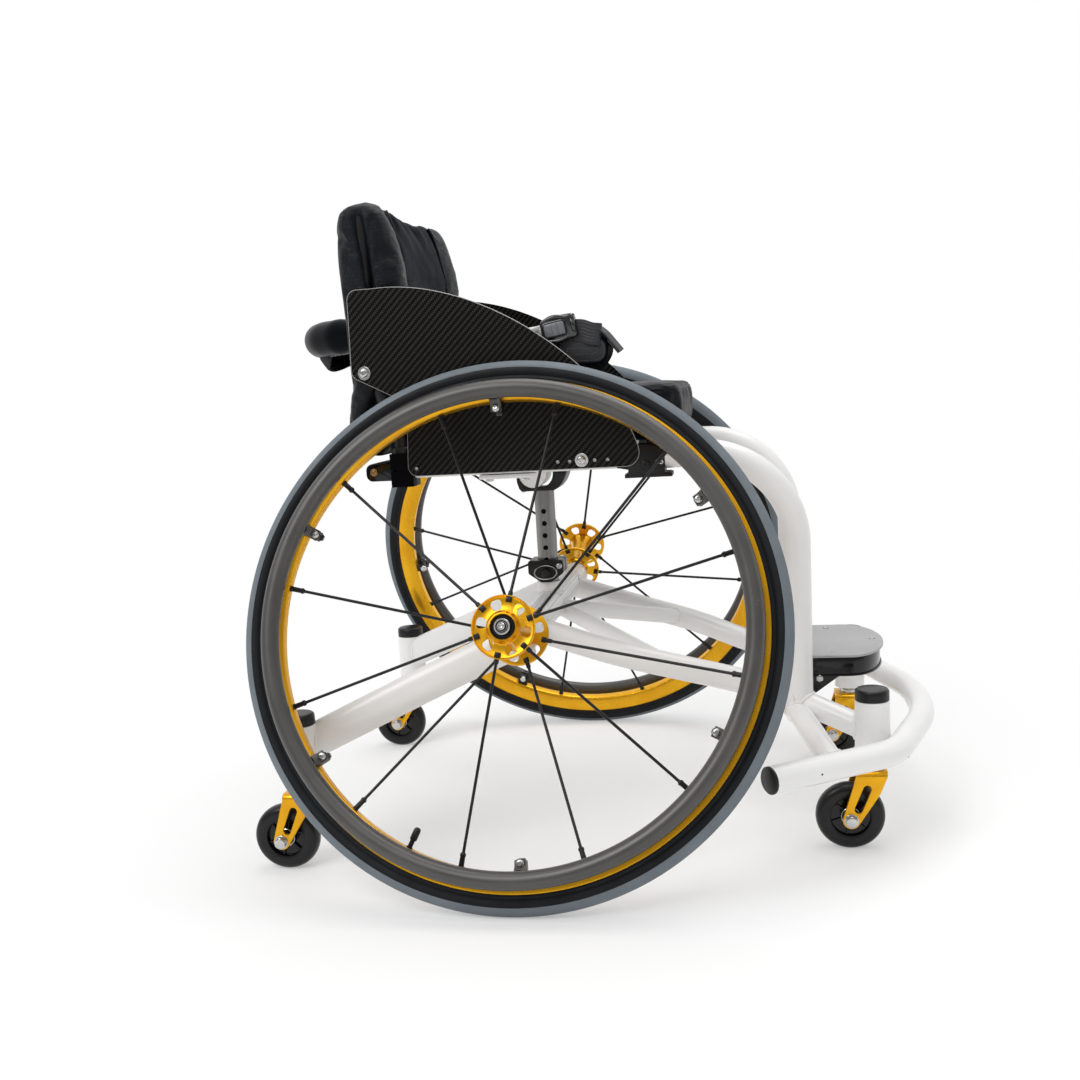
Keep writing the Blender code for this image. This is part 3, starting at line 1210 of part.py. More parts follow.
def buckle_solid():
    """The push-button buckle, with the pockets of its button and tongue."""
    long, tall, half = BUCKLE_LENGTH / 2, BUCKLE_HEIGHT / 2, BUCKLE_THICKNESS / 2
    outline = rounded([(-long, -tall), (long, -tall), (long, tall), (-long, tall)], [0.012, 0.008, 0.008, 0.012])
    body = prism(outline, "y", -half, half)
    pocket_l, pocket_t = PUSH_LENGTH / 2 + GAP, PUSH_HEIGHT / 2 + GAP
    floor = -half - PUSH_PROUD + PUSH_DEPTH + PUSH_TRAVEL + 0.0005
    cut(body, box((-pocket_l, -half - 0.002, -pocket_t), (pocket_l, floor, pocket_t)))
    slot_h, slot_t = TONGUE_HALF_WIDTH + GAP, TONGUE_THICKNESS / 2 + GAP
    slot = box((-long - 0.01, -slot_t, -slot_h), (-long + TONGUE_INSERT + GAP, slot_t, slot_h))
    return moved(cut(body, slot), buckle_matrix())


def buckle_button_solid():
    """The buckle's button, proud of its face."""
    face = -BUCKLE_THICKNESS / 2 - PUSH_PROUD
    long, tall = PUSH_LENGTH / 2, PUSH_HEIGHT / 2
    outline = rounded([(-long, -tall), (long, -tall), (long, tall), (-long, tall)], [0.003, 0.002, 0.002, 0.003], 2)
    return moved(prism(outline, "y", face, face + PUSH_DEPTH), buckle_matrix())


# Footplate

def footplate_outline(inset, rear_x):
    """The plate's outline: square at the back and half an ellipse at the front."""
    half, nose = FOOTPLATE_HALF_WIDTH - inset, FOOTPLATE_NOSE - inset
    places = [(rear_x, -half)]
    for step in range(15):
        angle = math.pi * (step / 14 - 0.5)
        places.append((FOOTPLATE_ROUND_X + nose * math.cos(angle), half * math.sin(angle)))
    return places + [(rear_x, half)]


def footplate_solid():
    """The flat footplate."""
    return prism(footplate_outline(0.0, FOOTPLATE_REAR_X), "z", FOOTPLATE_TOP_Z - FOOTPLATE_THICKNESS, FOOTPLATE_TOP_Z)


def footplate_band_solid():
    """The U band under the footplate, with its gussets, coped to the cross tube."""
    top = FOOTPLATE_TOP_Z - FOOTPLATE_THICKNESS - GAP
    bottom = top - BAND_HEIGHT
    band = prism(footplate_outline(BAND_INSET, LEG_X + 0.005), "z", bottom, top)
    inner = prism(footplate_outline(BAND_INSET + BAND_THICKNESS, LEG_X - 0.02), "z", bottom - 0.01, top + 0.01)
    cut(band, inner)
    outer_y = FOOTPLATE_HALF_WIDTH - BAND_INSET
    start = LEG_X + 0.0045
    drop = bottom - GUSSET_DROP
    outline = [(start, bottom + 0.01), (start, drop), (start + 0.016, drop), (start + GUSSET_LENGTH, bottom + 0.002),
               (start + GUSSET_LENGTH, bottom + 0.01)]
    for side in (1.0, -1.0):
        low, high = sorted((side * (outer_y - 0.0001), side * (outer_y - BAND_THICKNESS + 0.0001)))
        join(band, prism(outline, "y", low, high))
    return cut(band, front_cross_tube_solid(GAP))


def build_wheels(chair):
    """Both main wheels, on empties along their cambered axles, and the axles that the frame holds."""
    hubs = {}
    buttons = {}
    for word, side in (("left", 1.0), ("right", -1.0)):
        hubs[word] = make_joint("wheel_axis_" + word, wheel_matrix(side), chair)
        buttons[word] = make_joint("release_axis_" + word, wheel_matrix(side), chair)
    for name, solid, finish in (("tyre", tyre_solid(), RUBBER), ("rim", rim_solid(), GOLD),
                                ("hub", hub_solid(), GOLD), ("handrim", handrim_solid(), HANDRIM_GREY)):
        pair(name, solid, finish, hubs["left"], hubs["right"])
    pair("axle", axle_solid(), BRIGHT_METAL, chair, chair)
    pair("release_button", release_button_solid(), BRIGHT_METAL, buttons["left"], buttons["right"])


def build_casters(chair):
    """Four casters, each with a swivel empty on its stem and a wheel empty on its bolt."""
    stems = {"front_left": (FRONT_STEM_X, FRONT_STEM_Y), "front_right": (FRONT_STEM_X, -FRONT_STEM_Y),
             "rear_left": (REAR_STEM_X, REAR_STEM_Y), "rear_right": (REAR_STEM_X, -REAR_STEM_Y)}
    for word, (x, y) in stems.items():
        shift = Matrix.Translation((x, y, 0))
        swivel = make_joint("swivel_axis_" + word, on_axis((x, y, FORK_TOP_Z), Z_AXIS), chair)
        wheel = make_joint("caster_axis_" + word, on_axis((x - CASTER_TRAIL, y, CASTER_RADIUS), Y_AXIS), swivel)
        piece("caster_fork_" + word, moved(fork_solid(), shift), GOLD, swivel)
        piece("caster_wheel_" + word, moved(caster_wheel_solid(), shift), URETHANE, wheel)
        piece("housing_cap_" + word, cap_solid(x, y), BLACK_PLASTIC, chair)


def build_frame(chair):
    """The welded frame and the footplate."""
    piece("camber_tube", camber_tube_complete(), WHITE_PAINT, chair)
    pair("rear_arm", rear_arm_solid(), WHITE_PAINT, chair, chair)
    pair("front_leg", leg_solid(), WHITE_PAINT, chair, chair)
    pair("lower_tube", cut(lower_tube_solid(), camber_tube_solid(GAP), leg_solid(GAP)), WHITE_PAINT, chair, chair)
    piece("centre_brace", brace_solid(), WHITE_PAINT, chair)
    pair("front_arm", front_arm_solid(), WHITE_PAINT, chair, chair)
    bumper = cut(bumper_solid(), housing_cutter(FRONT_STEM_X, FRONT_STEM_Y), housing_cutter(FRONT_STEM_X, -FRONT_STEM_Y))
    piece("bumper", bumper, WHITE_PAINT, chair)
    cross = cut(front_cross_tube_solid(), leg_solid(GAP), mirrored_away(leg_solid(GAP)),
                lower_tube_solid(GAP), mirrored_away(lower_tube_solid(GAP)))
    piece("front_cross_tube", cross, WHITE_PAINT, chair)
    piece("footplate", footplate_solid(), GREY_PLATE, chair)
    piece("footplate_band", footplate_band_solid(), BLACK_METAL, chair)
    pair("seat_pivot", seat_pivot_solid(), BLACK_METAL, chair, chair)


def mirrored_away(solid):
    """The mirrored copy of a cutter, which takes the cutter's place."""
    copy = mirrored(solid)
    bpy.data.objects.remove(solid, do_unlink=True)
    return copy


def build_column(chair):
    """The seat post, its cradle, its collar and the height pin."""
    slide = make_joint("post_axis", on_axis((POST_X, 0, POST_BOTTOM_Z), Z_AXIS), chair)
    pull = make_joint("pin_axis", on_axis((POST_X, 0, PIN_Z), -Y_AXIS), chair)
    piece("post_collar", collar_solid(), BLACK_METAL, chair)
    piece("height_pin", height_pin_solid(), BRIGHT_METAL, pull)
    piece("seat_post", seat_post_solid(), BARE_METAL, slide)
    piece("post_cradle", cradle_solid(), BLACK_METAL, slide)


def build_seat(chair):
    """The seat frame, which tips about the front pivots, with all that it carries."""
    tip = make_joint("seat_axis", on_axis((PIVOT_X, 0, PIVOT_Z), Y_AXIS), chair)
    press = make_joint("buckle_axis", buckle_matrix() @ Matrix.Rotation(-math.pi / 2, 4, "X"), tip)
    pair("seat_rail", rail_solid(), WHITE_PAINT, tip, tip)
    piece("seat_cross_member", cross_member_solid(), WHITE_PAINT, tip)
    pair("back_post", back_post_solid(), BLACK_METAL, tip, tip)
    piece("rear_cross_bar", rear_bar_solid(), BLACK_METAL, tip)
    piece("rear_push_bar", push_bar_complete(), BLACK_PLASTIC, tip)
    pair("side_guard", guard_solid(), CARBON, tip, tip)
    piece("seat_sling", sling_solid(), NYLON, tip)
    piece("cushion", cushion_solid(), VINYL, tip)
    piece("back_upholstery", back_solid(), LEATHER, tip)
    piece("lap_strap_right", right_strap_solid(), WEBBING, tip)
    piece("lap_strap_left", left_strap_solid(), WEBBING, tip)
    piece("buckle", buckle_solid(), BLACK_PLASTIC, tip)
    piece("buckle_button", buckle_button_solid(), BLACK_PLASTIC, press)


def main():
    """Builds the whole wheelchair."""
    clear_scene()
    root = bpy.data.objects.new("wheelchair", None)
    bpy.context.scene.collection.objects.link(root)
    root.location = (AXLE_X, 0.0, 0.0)
    chair = {"empty": root, "matrix": Matrix.Identity(4)}
    build_frame(chair)
    build_wheels(chair)
    build_casters(chair)
    build_column(chair)
    build_seat(chair)


main()
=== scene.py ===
"""Looks of the rigid sports wheelchair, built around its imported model.

Units are metres, +X is forward, +Y the occupant's left and +Z up. Pieces are built with x measured from the
main axle, as in the model's source, and moved by AXLE_X when their mesh is made. Left pieces are mirrored.
"""

import math

import bmesh
import bpy
import numpy as np
from mathutils import Matrix, Vector, noise


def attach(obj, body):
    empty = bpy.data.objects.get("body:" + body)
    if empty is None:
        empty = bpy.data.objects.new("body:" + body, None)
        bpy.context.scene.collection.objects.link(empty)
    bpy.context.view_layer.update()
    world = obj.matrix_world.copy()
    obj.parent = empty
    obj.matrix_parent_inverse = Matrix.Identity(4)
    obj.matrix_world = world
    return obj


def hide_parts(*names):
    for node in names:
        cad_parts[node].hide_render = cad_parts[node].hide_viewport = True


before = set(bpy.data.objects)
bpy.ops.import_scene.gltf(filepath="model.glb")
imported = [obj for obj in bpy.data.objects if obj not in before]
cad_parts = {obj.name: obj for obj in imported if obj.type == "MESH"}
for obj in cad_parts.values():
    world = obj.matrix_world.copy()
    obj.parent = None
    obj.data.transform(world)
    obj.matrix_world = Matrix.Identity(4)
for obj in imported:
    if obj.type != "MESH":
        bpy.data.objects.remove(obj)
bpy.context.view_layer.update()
FRAME_PIXELS = 1080

X_AXIS = Vector((1.0, 0.0, 0.0))
Y_AXIS = Vector((0.0, 1.0, 0.0))
Z_AXIS = Vector((0.0, 0.0, 1.0))
IDENTITY = Matrix.Identity(4)

# Place of the main axle
AXLE_X = -0.07305

# Main wheels
CAMBER = math.radians(18.0)
HUB_Y = 0.280
WHEEL_RADIUS = 0.3045
TYRE_RADIUS = 0.0125
TYRE_CENTRE_RADIUS = WHEEL_RADIUS - TYRE_RADIUS
HUB_Z = TYRE_CENTRE_RADIUS * math.cos(CAMBER) + TYRE_RADIUS
TREAD_ANGLE = 79.0
RIM_RADIUS = 0.2842
RIM_INNER_RADIUS = 0.2585
RIM_HALF_WIDTH = 0.0105
RIM_NOSE = 0.0065
HANDRIM_RADIUS = 0.2644
HANDRIM_TUBE_RADIUS = 0.0101
HANDRIM_OFFSET = 0.030
TABS = 6
TAB_ANGLE = math.radians(93.0)
FLANGE_RADIUS = 0.035
FLANGE_HALF = 0.0017
HUB_INNER_FLANGE = -0.048
HUB_OUTER_FLANGE = 0.035
HUB_INNER_END = -0.0545
HUB_OUTER_END = 0.0405
BOSS_RADIUS = 0.0155
SPOKE_RADIUS = 0.0017
SPOKE_ANGLE = math.radians(78.0)
SPOKES_PER_FLANGE = 6
HALF_STEP = math.pi / SPOKES_PER_FLANGE
AXLE_RADIUS = 0.00635
AXLE_INNER_END = -0.095
AXLE_HEAD_RADIUS = 0.0088
AXLE_HEAD_TOP = 0.0440
BUTTON_RADIUS = 0.0040
BUTTON_TOP = 0.0475
VALVE_ANGLE = math.radians(-115.5)

# Frame tubes
CAMBER_TUBE_RADIUS = 0.019
CAMBER_TUBE_Z = 0.268
CAMBER_TUBE_HALF = 0.220
LEG_RADIUS = 0.0159
LEG_X = 0.3133
LEG_BASE_Y = 0.110
LEG_FOOT_Z = 0.146
RAIL_Y = 0.148
RAIL_Z = 0.467
RAIL_RADIUS = 0.0159
LOWER_TUBE_RADIUS = 0.0150
BRACE_RADIUS = 0.0105
ARM_RADIUS = 0.0143
STRUT_RADIUS = 0.0135
BUMPER_RADIUS = 0.0150
BUMPER_Z = 0.129
CROSS_TUBE_RADIUS = 0.0127
CROSS_TUBE_Z = 0.186
WELD_RADIUS = 0.0021

# Casters
CASTER_RADIUS = 0.0395
CASTER_TRAIL = 0.0264
FRONT_STEM = (0.392, 0.1684)
REAR_STEM = (-0.267, 0.2444)
HOUSING_BOTTOM_Z = 0.1055
HOUSING_TOP_Z = 0.1765
FORK_HALF_WIDTH = 0.0225
FORK_PLATE = 0.004
FORK_TOP_Z = 0.0975
FORK_BEND = 0.006
HOUSING_WELD_RADIUS = 0.0198

# Seat height column
POST_X = -0.001
POST_RADIUS = 0.013
POST_BOTTOM_Z = 0.2865
POST_TOP_Z = 0.4172
PIN_Z = 0.3111
HOLE_PITCH = 0.0158
POST_BORE_RADIUS = 0.0136
POST_BORE_FLOOR_Z = 0.2535
POST_BORE_TOP_Z = 0.35
POST_HOLES = 7
POST_HOLE_RADIUS = 0.0033
COLLAR_BOTTOM_Z = 0.2985
COLLAR_TOP_Z = 0.3270
COLLAR_HALF_WIDTH = 0.020

# Seat
GUARD_INNER_Y = 0.1642
GUARD_THICKNESS = 0.002
PIVOT_X = 0.146
PIVOT_Z = 0.4555
SEAT_TIP = math.radians(11.4)
SEAT_TUBE_X = -0.011
SEAT_TUBE_Z = 0.4395
BACK_POST_Y = 0.146
GUARD_BOLT_X = -0.177
GUARD_BOLT_Z = 0.577
PUSH_BAR_Z = 0.623
PUSH_BAR_BOW = 0.1026
CUSHION_BOTTOM_Z = 0.4864
CUSHION_HEIGHT = 0.0590
CUSHION_CROWN = 0.0045
CUSHION_HALF_WIDTH = 0.1592
CUSHION_REAR_X = -0.105
CUSHION_FRONT_X = 0.195
BACK_HALF_WIDTH = 0.1632
BACK_TOP_Z = 0.7715
BACK_SEAM_SHARE = 0.62
BACK_SIDE_SHARE = 0.50

# Strap and buckle
STRAP_HALF_WIDTH = 0.0125
STRAP_THICKNESS = 0.0025
BUCKLE_PLACE = (0.0480, -0.1435, 0.6130)
BUCKLE_TILT = math.radians(10.0)
BUCKLE_LENGTH = 0.050
BUCKLE_HEIGHT = 0.032
BUCKLE_THICKNESS = 0.016
PAD_CENTRE_X = 0.0775
PAD_CENTRE_Z = 0.5862
PAD_HALF_LENGTH = 0.0275
PAD_HALF_HEIGHT = 0.013

# Footplate
FOOTPLATE_TOP_Z = 0.2105
FOOTPLATE_THICKNESS = 0.003
FOOTPLATE_HALF_WIDTH = 0.090
FOOTPLATE_ROUND_X = 0.375
FOOTPLATE_NOSE = 0.046


WHITE = (1.0, 1.0, 1.0, 1.0)


# Forms: each is a pair (points, faces)

def lathe(profile, segments=96, closed=False):
    """Turns (radius, height) places about Z. A closed profile makes a ring, others start and end at r = 0."""
    points, rings = [], []
    for radius, height in profile:
        if radius < 1e-7:
            rings.append([len(points)])
            points.append(Vector((0.0, 0.0, height)))
            continue
        rings.append(list(range(len(points), len(points) + segments)))
        for k in range(segments):
            angle = 2 * math.pi * k / segments
            points.append(Vector((radius * math.cos(angle), radius * math.sin(angle), height)))
    pairs = list(zip(rings, rings[1:]))
    if closed:
        pairs.append((rings[-1], rings[0]))
    faces = []
    for first, second in pairs:
        for k in range(segments):
            corners = []
            for ring, step in ((first, k), (first, k + 1), (second, k + 1), (second, k)):
                index = ring[step % len(ring)]
                if index not in corners:
                    corners.append(index)
            if len(corners) > 2:
                faces.append(tuple(corners))
    return points, faces


def banded(kinds, segments):
    """The finish of each face of a turned piece, from the finish of each band."""
    return [kind for kind in kinds for _ in range(segments)]


def straight(start, end, parts):
    """Even points from start to end."""
    return [start.lerp(end, k / parts) for k in range(parts + 1)]


def loft(rings, caps=True, closed=False):
    """Joins rings of points with the same count. Closed joins the last ring to the first."""
    points = [Vector(point) for ring in rings for point in ring]
    count = len(rings[0])
    faces = []
    spans = len(rings) if closed else len(rings) - 1
    for index in range(spans):
        first, second = index * count, ((index + 1) % len(rings)) * count
        for k in range(count):
            after = (k + 1) % count
            faces.append((first + k, first + after, second + after, second + k))
    if caps and not closed:
        faces.append(tuple(range(count)))
        faces.append(tuple(range((len(rings) - 1) * count, len(rings) * count)))
    return points, faces


def frames_along(path, up, closed=False):
    """The side and rise directions at each point of a path."""
    result = []
    count = len(path)
    for index, point in enumerate(path):
        after = path[(index + 1) % count] if closed else path[min(index + 1, count - 1)]
        before = path[index - 1] if closed else path[max(index - 1, 0)]
        tangent = (after - before).normalized()
        side = tangent.cross(up)
        side = side.normalized() if side.length > 1e-6 else tangent.orthogonal().normalized()
        result.append((side, side.cross(tangent).normalized()))
    return result


def sweep(path, sections, up=Z_AXIS, closed=False):
    """Carries (side, up) sections along a path. One section may serve for all points."""
    path = [Vector(point) for point in path]
    if isinstance(sections[0][0], float):
        sections = [sections] * len(path)
    rings = []
    for point, section, (side, rise) in zip(path, sections, frames_along(path, up, closed)):
        rings.append([point + side * a + rise * b for a, b in section])
    return loft(rings, True, closed)


def mirrored(half):
    """A profile completed with the mirror image of its upper half, whose last place lies on the middle."""
    return half + [(radius, -height) for radius, height in reversed(half[:-1])]


def hexagon(radius):
    """A hexagonal outline."""
    return [(radius * math.cos(math.radians(60 * k)), radius * math.sin(math.radians(60 * k)))
            for k in range(6)]


def oval(half_width, half_height=None, sides=28):
    """A round or oval section."""
    half_height = half_width if half_height is None else half_height
    return [(half_width * math.cos(2 * math.pi * k / sides), half_height * math.sin(2 * math.pi * k / sides))
            for k in range(sides)]


def tube(path, radius, sides=28, up=Z_AXIS, closed=False):
    """A round tube along a path."""
    return sweep(path, oval(radius, sides=sides), up, closed)


def bar(start, end, profile, segments=32):
    """A turned piece on the line from start to end, with heights measured from start."""
    start = Vector(start)
    along = Vector(end) - start
    place = Matrix.Translation(start) @ along.to_track_quat("Z", "Y").to_matrix().to_4x4()
    return at(lathe(profile, segments), place)


def rod(start, end, radius, segments=24, edge=0.0004):
    """A round rod with softened ends."""
    length = (Vector(end) - Vector(start)).length
    return bar(start, end, [(0, 0), (radius - edge, 0), (radius, edge), (radius, length - edge),
                            (radius - edge, length), (0, length)], segments)


def prism(outline, axis, low, high):
    """Extrudes a flat outline: (x, z) for axis y, (y, z) for x and (x, y) for z."""
    def place(a, b, level):
        return {"x": (level, a, b), "y": (a, level, b), "z": (a, b, level)}[axis]

    return loft([[place(a, b, low) for a, b in outline], [place(a, b, high) for a, b in outline]])


def block(low, high):
    """A block between two corners, for bevelling."""
    return prism([(low[0], low[1]), (high[0], low[1]), (high[0], high[1]), (low[0], high[1])], "z", low[2],
                 high[2])


def at(form, matrix):
    """Moves a form."""
    points, faces = form
    return [matrix @ point for point in points], faces


def joined(*forms):
    """Puts forms together without welding them."""
    points, faces = [], []
    for some_points, some_faces in forms:
        base = len(points)
        points += some_points
        faces += [tuple(index + base for index in face) for face in some_faces]
    return points, faces


def to_bmesh(form):
    """Reads a form into a bmesh with outward faces."""
    bm = bmesh.new()
    made = [bm.verts.new(point) for point in form[0]]
    for face in form[1]:
        bm.faces.new([made[index] for index in face])
    bmesh.ops.recalc_face_normals(bm, faces=bm.faces)
    return bm


def from_bmesh(bm):
    """Reads a bmesh back into a form."""
    bm.verts.index_update()
    form = ([vertex.co.copy() for vertex in bm.verts],
            [tuple(v.index for v in face.verts) for face in bm.faces])
    bm.free()
    return form


def bevelled(form, width, segments=2, angle=30.0):
    """Rounds the form's sharp edges."""
    bm = to_bmesh(form)
    bmesh.ops.dissolve_limit(bm, angle_limit=math.radians(1.0), verts=bm.verts, edges=bm.edges)
    limit = math.radians(angle)
    edges = [edge for edge in bm.edges if len(edge.link_faces) == 2 and edge.calc_face_angle(0.0) > limit]
    bmesh.ops.bevel(bm, geom=edges, offset=width, segments=segments, profile=0.5, affect="EDGES",
                    clamp_overlap=True)
    return from_bmesh(bm)


def temporary(form):
    """A throwaway object of a form."""
    bm = to_bmesh(form)
    mesh = bpy.data.meshes.new("temporary")
    bm.to_mesh(mesh)
    bm.free()
    made = bpy.data.objects.new("temporary", mesh)
    bpy.context.scene.collection.objects.link(made)
    return made


def evaluated_form(thing):
    """Reads an object's evaluated mesh as a form and removes the object."""
    bpy.context.view_layer.update()
    mesh = bpy.data.meshes.new_from_object(thing.evaluated_get(bpy.context.evaluated_depsgraph_get()))
    form = ([vertex.co.copy() for vertex in mesh.vertices], [tuple(face.vertices) for face in mesh.polygons])
    bpy.data.objects.remove(thing, do_unlink=True)
    bpy.data.meshes.remove(mesh)
    return form


def combined(form, tools, operation="DIFFERENCE"):
    """One exact Boolean for each tool."""
    body = temporary(form)
    cutters = []
    for tool in tools:
        cutter = temporary(tool)
        modifier = body.modifiers.new("combine", "BOOLEAN")
        modifier.operation = operation
        modifier.solver = "EXACT"
        modifier.object = cutter
        cutters.append(cutter)
    form = evaluated_form(body)
    for cutter in cutters:
        bpy.data.objects.remove(cutter, do_unlink=True)
    return form


def corner_arc(before, corner, after, radius, steps):
    """Points of the arc that rounds one corner."""
    inward = (before - corner).normalized()
    outward = (after - corner).normalized()
    half = inward.angle(outward) / 2
    if radius <= 0 or half > math.radians(89.9):
        return [corner]
    setback = min(radius / math.tan(half), 0.98 * (before - corner).length, 0.98 * (after - corner).length)
    radius = setback * math.tan(half)
    centre = corner + (inward + outward).normalized() * (radius / math.sin(half))
    start = corner + inward * setback - centre
    turn = math.pi - 2 * half
    normal = start.cross(corner + outward * setback - centre).normalized()
    return [centre + Matrix.Rotation(turn * step / steps, 3, normal) @ start for step in range(steps + 1)]


def fillet(corners, radii, steps=10):
    """Rounds the inner corners of an open path."""
    corners = [Vector(corner) for corner in corners]
    points = [corners[0]]
    for index in range(1, len(corners) - 1):
        points += corner_arc(corners[index - 1], corners[index], corners[index + 1], radii[index - 1], steps)
    return points + [corners[-1]]


def rounded(corners, radii, steps=6):
    """A closed flat outline with each corner rounded by its own radius."""
    flat = [Vector((a, b, 0.0)) for a, b in corners]
    places = []
    for index, corner in enumerate(flat):
        after = flat[(index + 1) % len(flat)]
        places += [(point.x, point.y)
                   for point in corner_arc(flat[index - 1], corner, after, radii[index], steps)]
    return places


def catmull(p0, p1, p2, p3, t):
    """The smooth curve through p1 and p2 at share t between them."""
    return 0.5 * (2 * p1 + (p2 - p0) * t + (2 * p0 - 5 * p1 + 4 * p2 - p3) * t ** 2
                  + (3 * p1 - p0 - 3 * p2 + p3) * t ** 3)


def smooth(points, steps=6):
    """A smooth curve through the points."""
    path = [Vector(point) for point in points]
    ends = [2 * path[0] - path[1]] + path + [2 * path[-1] - path[-2]]
    curve = []
    for index in range(1, len(ends) - 2):
        curve += [catmull(*ends[index - 1:index + 3], step / steps) for step in range(steps)]
    curve.append(path[-1])
    return curve


def evenly(path, pitch, closed=False):
    """Points at an even pitch along a path, with the direction at each."""
    path = [Vector(point) for point in path]
    if closed:
        path.append(path[0])
    lengths = [(b - a).length for a, b in zip(path, path[1:])]
    total = sum(lengths)
    count = max(1, int(total / pitch))
    places = []
    index, done = 0, 0.0
    for k in range(count + 1):
        goal = total * k / count
        while index < len(lengths) - 1 and done + lengths[index] < goal:
            done += lengths[index]
            index += 1
        share = (goal - done) / lengths[index]
        direction = (path[index + 1] - path[index]).normalized()
        places.append((path[index].lerp(path[index + 1], share), direction))
    return places[:-1] if closed else places


# Materials

class Nodes:
    """Short ways to add nodes to one Principled material."""

    def __init__(self, name, colour, roughness, metallic=0.0, **shader):
        self.material = bpy.data.materials.new(name)
        self.material.use_nodes = True
        self.tree = self.material.node_tree
        self.bsdf = self.tree.nodes["Principled BSDF"]
        self.bsdf.inputs["Base Color"].default_value = (*colour, 1.0)
        self.bsdf.inputs["Roughness"].default_value = roughness
        self.bsdf.inputs["Metallic"].default_value = metallic
        for key, value in shader.items():
            socket = self.bsdf.inputs[key.replace("_", " ")]
            socket.default_value = (*value, 1.0) if isinstance(value, tuple) else value
        self.material.diffuse_color = (*colour, 1.0)
        self.place = self.add("ShaderNodeTexCoord").outputs["Object"]

    def add(self, kind, **settings):
        node = self.tree.nodes.new(kind)
        for key, value in settings.items():
            setattr(node, key, value)
        return node

    def link(self, source, target):
        self.tree.links.new(source, target)

    def feed(self, socket, value):
        if isinstance(value, (int, float)):
            socket.default_value = value
        elif isinstance(value, tuple):
            socket.default_value = value if len(value) == len(socket.default_value) else (*value, 1.0)
        else:
            self.link(value, socket)

    def scaled(self, scale):
        node = self.add("ShaderNodeMapping")
        self.link(self.place, node.inputs["Vector"])
        node.inputs["Scale"].default_value = scale
        return node.outputs["Vector"]

    def noise(self, scale, detail=3.0, roughness=0.5, source=None):
        node = self.add("ShaderNodeTexNoise")
        self.link(source or self.place, node.inputs["Vector"])
        node.inputs["Scale"].default_value = scale
        node.inputs["Detail"].default_value = detail
        node.inputs["Roughness"].default_value = roughness
        return node.outputs["Fac"]

    def cells(self, scale, feature="DISTANCE_TO_EDGE"):
        node = self.add("ShaderNodeTexVoronoi", feature=feature)
        self.link(self.place, node.inputs["Vector"])
        node.inputs["Scale"].default_value = scale
        return node.outputs["Distance"]

    def span(self, value, low, high, out_low=0.0, out_high=1.0):
        node = self.add("ShaderNodeMapRange")
        self.feed(node.inputs["Value"], value)
        for key, number in (("From Min", low), ("From Max", high), ("To Min", out_low), ("To Max", out_high)):
            self.feed(node.inputs[key], number)
        return node.outputs["Result"]

    def maths(self, operation, first, second=0.0):
        node = self.add("ShaderNodeMath", operation=operation)
        self.feed(node.inputs[0], first)
        self.feed(node.inputs[1], second)
        return node.outputs["Value"]

    def mix(self, share, first, second):
        node = self.add("ShaderNodeMix", data_type="RGBA")
        self.feed(node.inputs[0], share)
        self.feed(node.inputs[6], (*first, 1.0) if isinstance(first, tuple) else first)
        self.feed(node.inputs[7], (*second, 1.0) if isinstance(second, tuple) else second)
        return node.outputs[2]

    def axes(self):
        node = self.add("ShaderNodeSeparateXYZ")
        self.link(self.place, node.inputs[0])
        return node.outputs["X"], node.outputs["Y"], node.outputs["Z"]

    def paint(self, value):
        self.link(value, self.bsdf.inputs["Base Color"])

    def gloss(self, value):
        self.link(value, self.bsdf.inputs["Roughness"])

    def relief(self, *layers):
        """Bump layers of (height, distance, strength), one on another."""
        normal = None
        for height, distance, strength in layers:
            node = self.add("ShaderNodeBump")
            node.inputs["Distance"].default_value = distance
            node.inputs["Strength"].default_value = strength
            self.link(height, node.inputs["Height"])
            if normal:
                self.link(normal, node.inputs["Normal"])
            normal = node.outputs["Normal"]
        self.link(normal, self.bsdf.inputs["Normal"])


def tinted(colour, factor):
    """A colour made darker or paler by a factor."""
    return tuple(min(1.0, channel * factor) for channel in colour)


def worn(name, colour, roughness, metallic, patch, grain, depth, darker=0.86, rough_span=0.08, **shader):
    """A finish with slow colour patches, a fine grain and uneven gloss."""
    made = Nodes(name, colour, roughness, metallic, **shader)
    slow = made.noise(patch, 4.0, 0.55)
    fine = made.noise(grain, 3.0, 0.6)
    share = made.span(slow, 0.35, 0.68)
    made.paint(made.mix(share, tinted(colour, darker), colour))
    made.gloss(made.span(slow, 0.3, 0.7, roughness + rough_span, max(0.05, roughness - rough_span)))
    made.relief((fine, depth, 0.5))
    return made


def brushed(name, colour, roughness, stretch, depth):
    """Metal with fine lines along one axis."""
    made = Nodes(name, colour, roughness, 1.0)
    lines = made.noise(1.0, 4.0, 0.65, made.scaled(stretch))
    slow = made.noise(26.0, 3.0)
    made.paint(made.mix(made.span(lines, 0.3, 0.72), tinted(colour, 0.80), colour))
    made.gloss(made.span(slow, 0.3, 0.7, roughness - 0.07, roughness + 0.10))
    made.relief((lines, depth, 0.5))
    return made


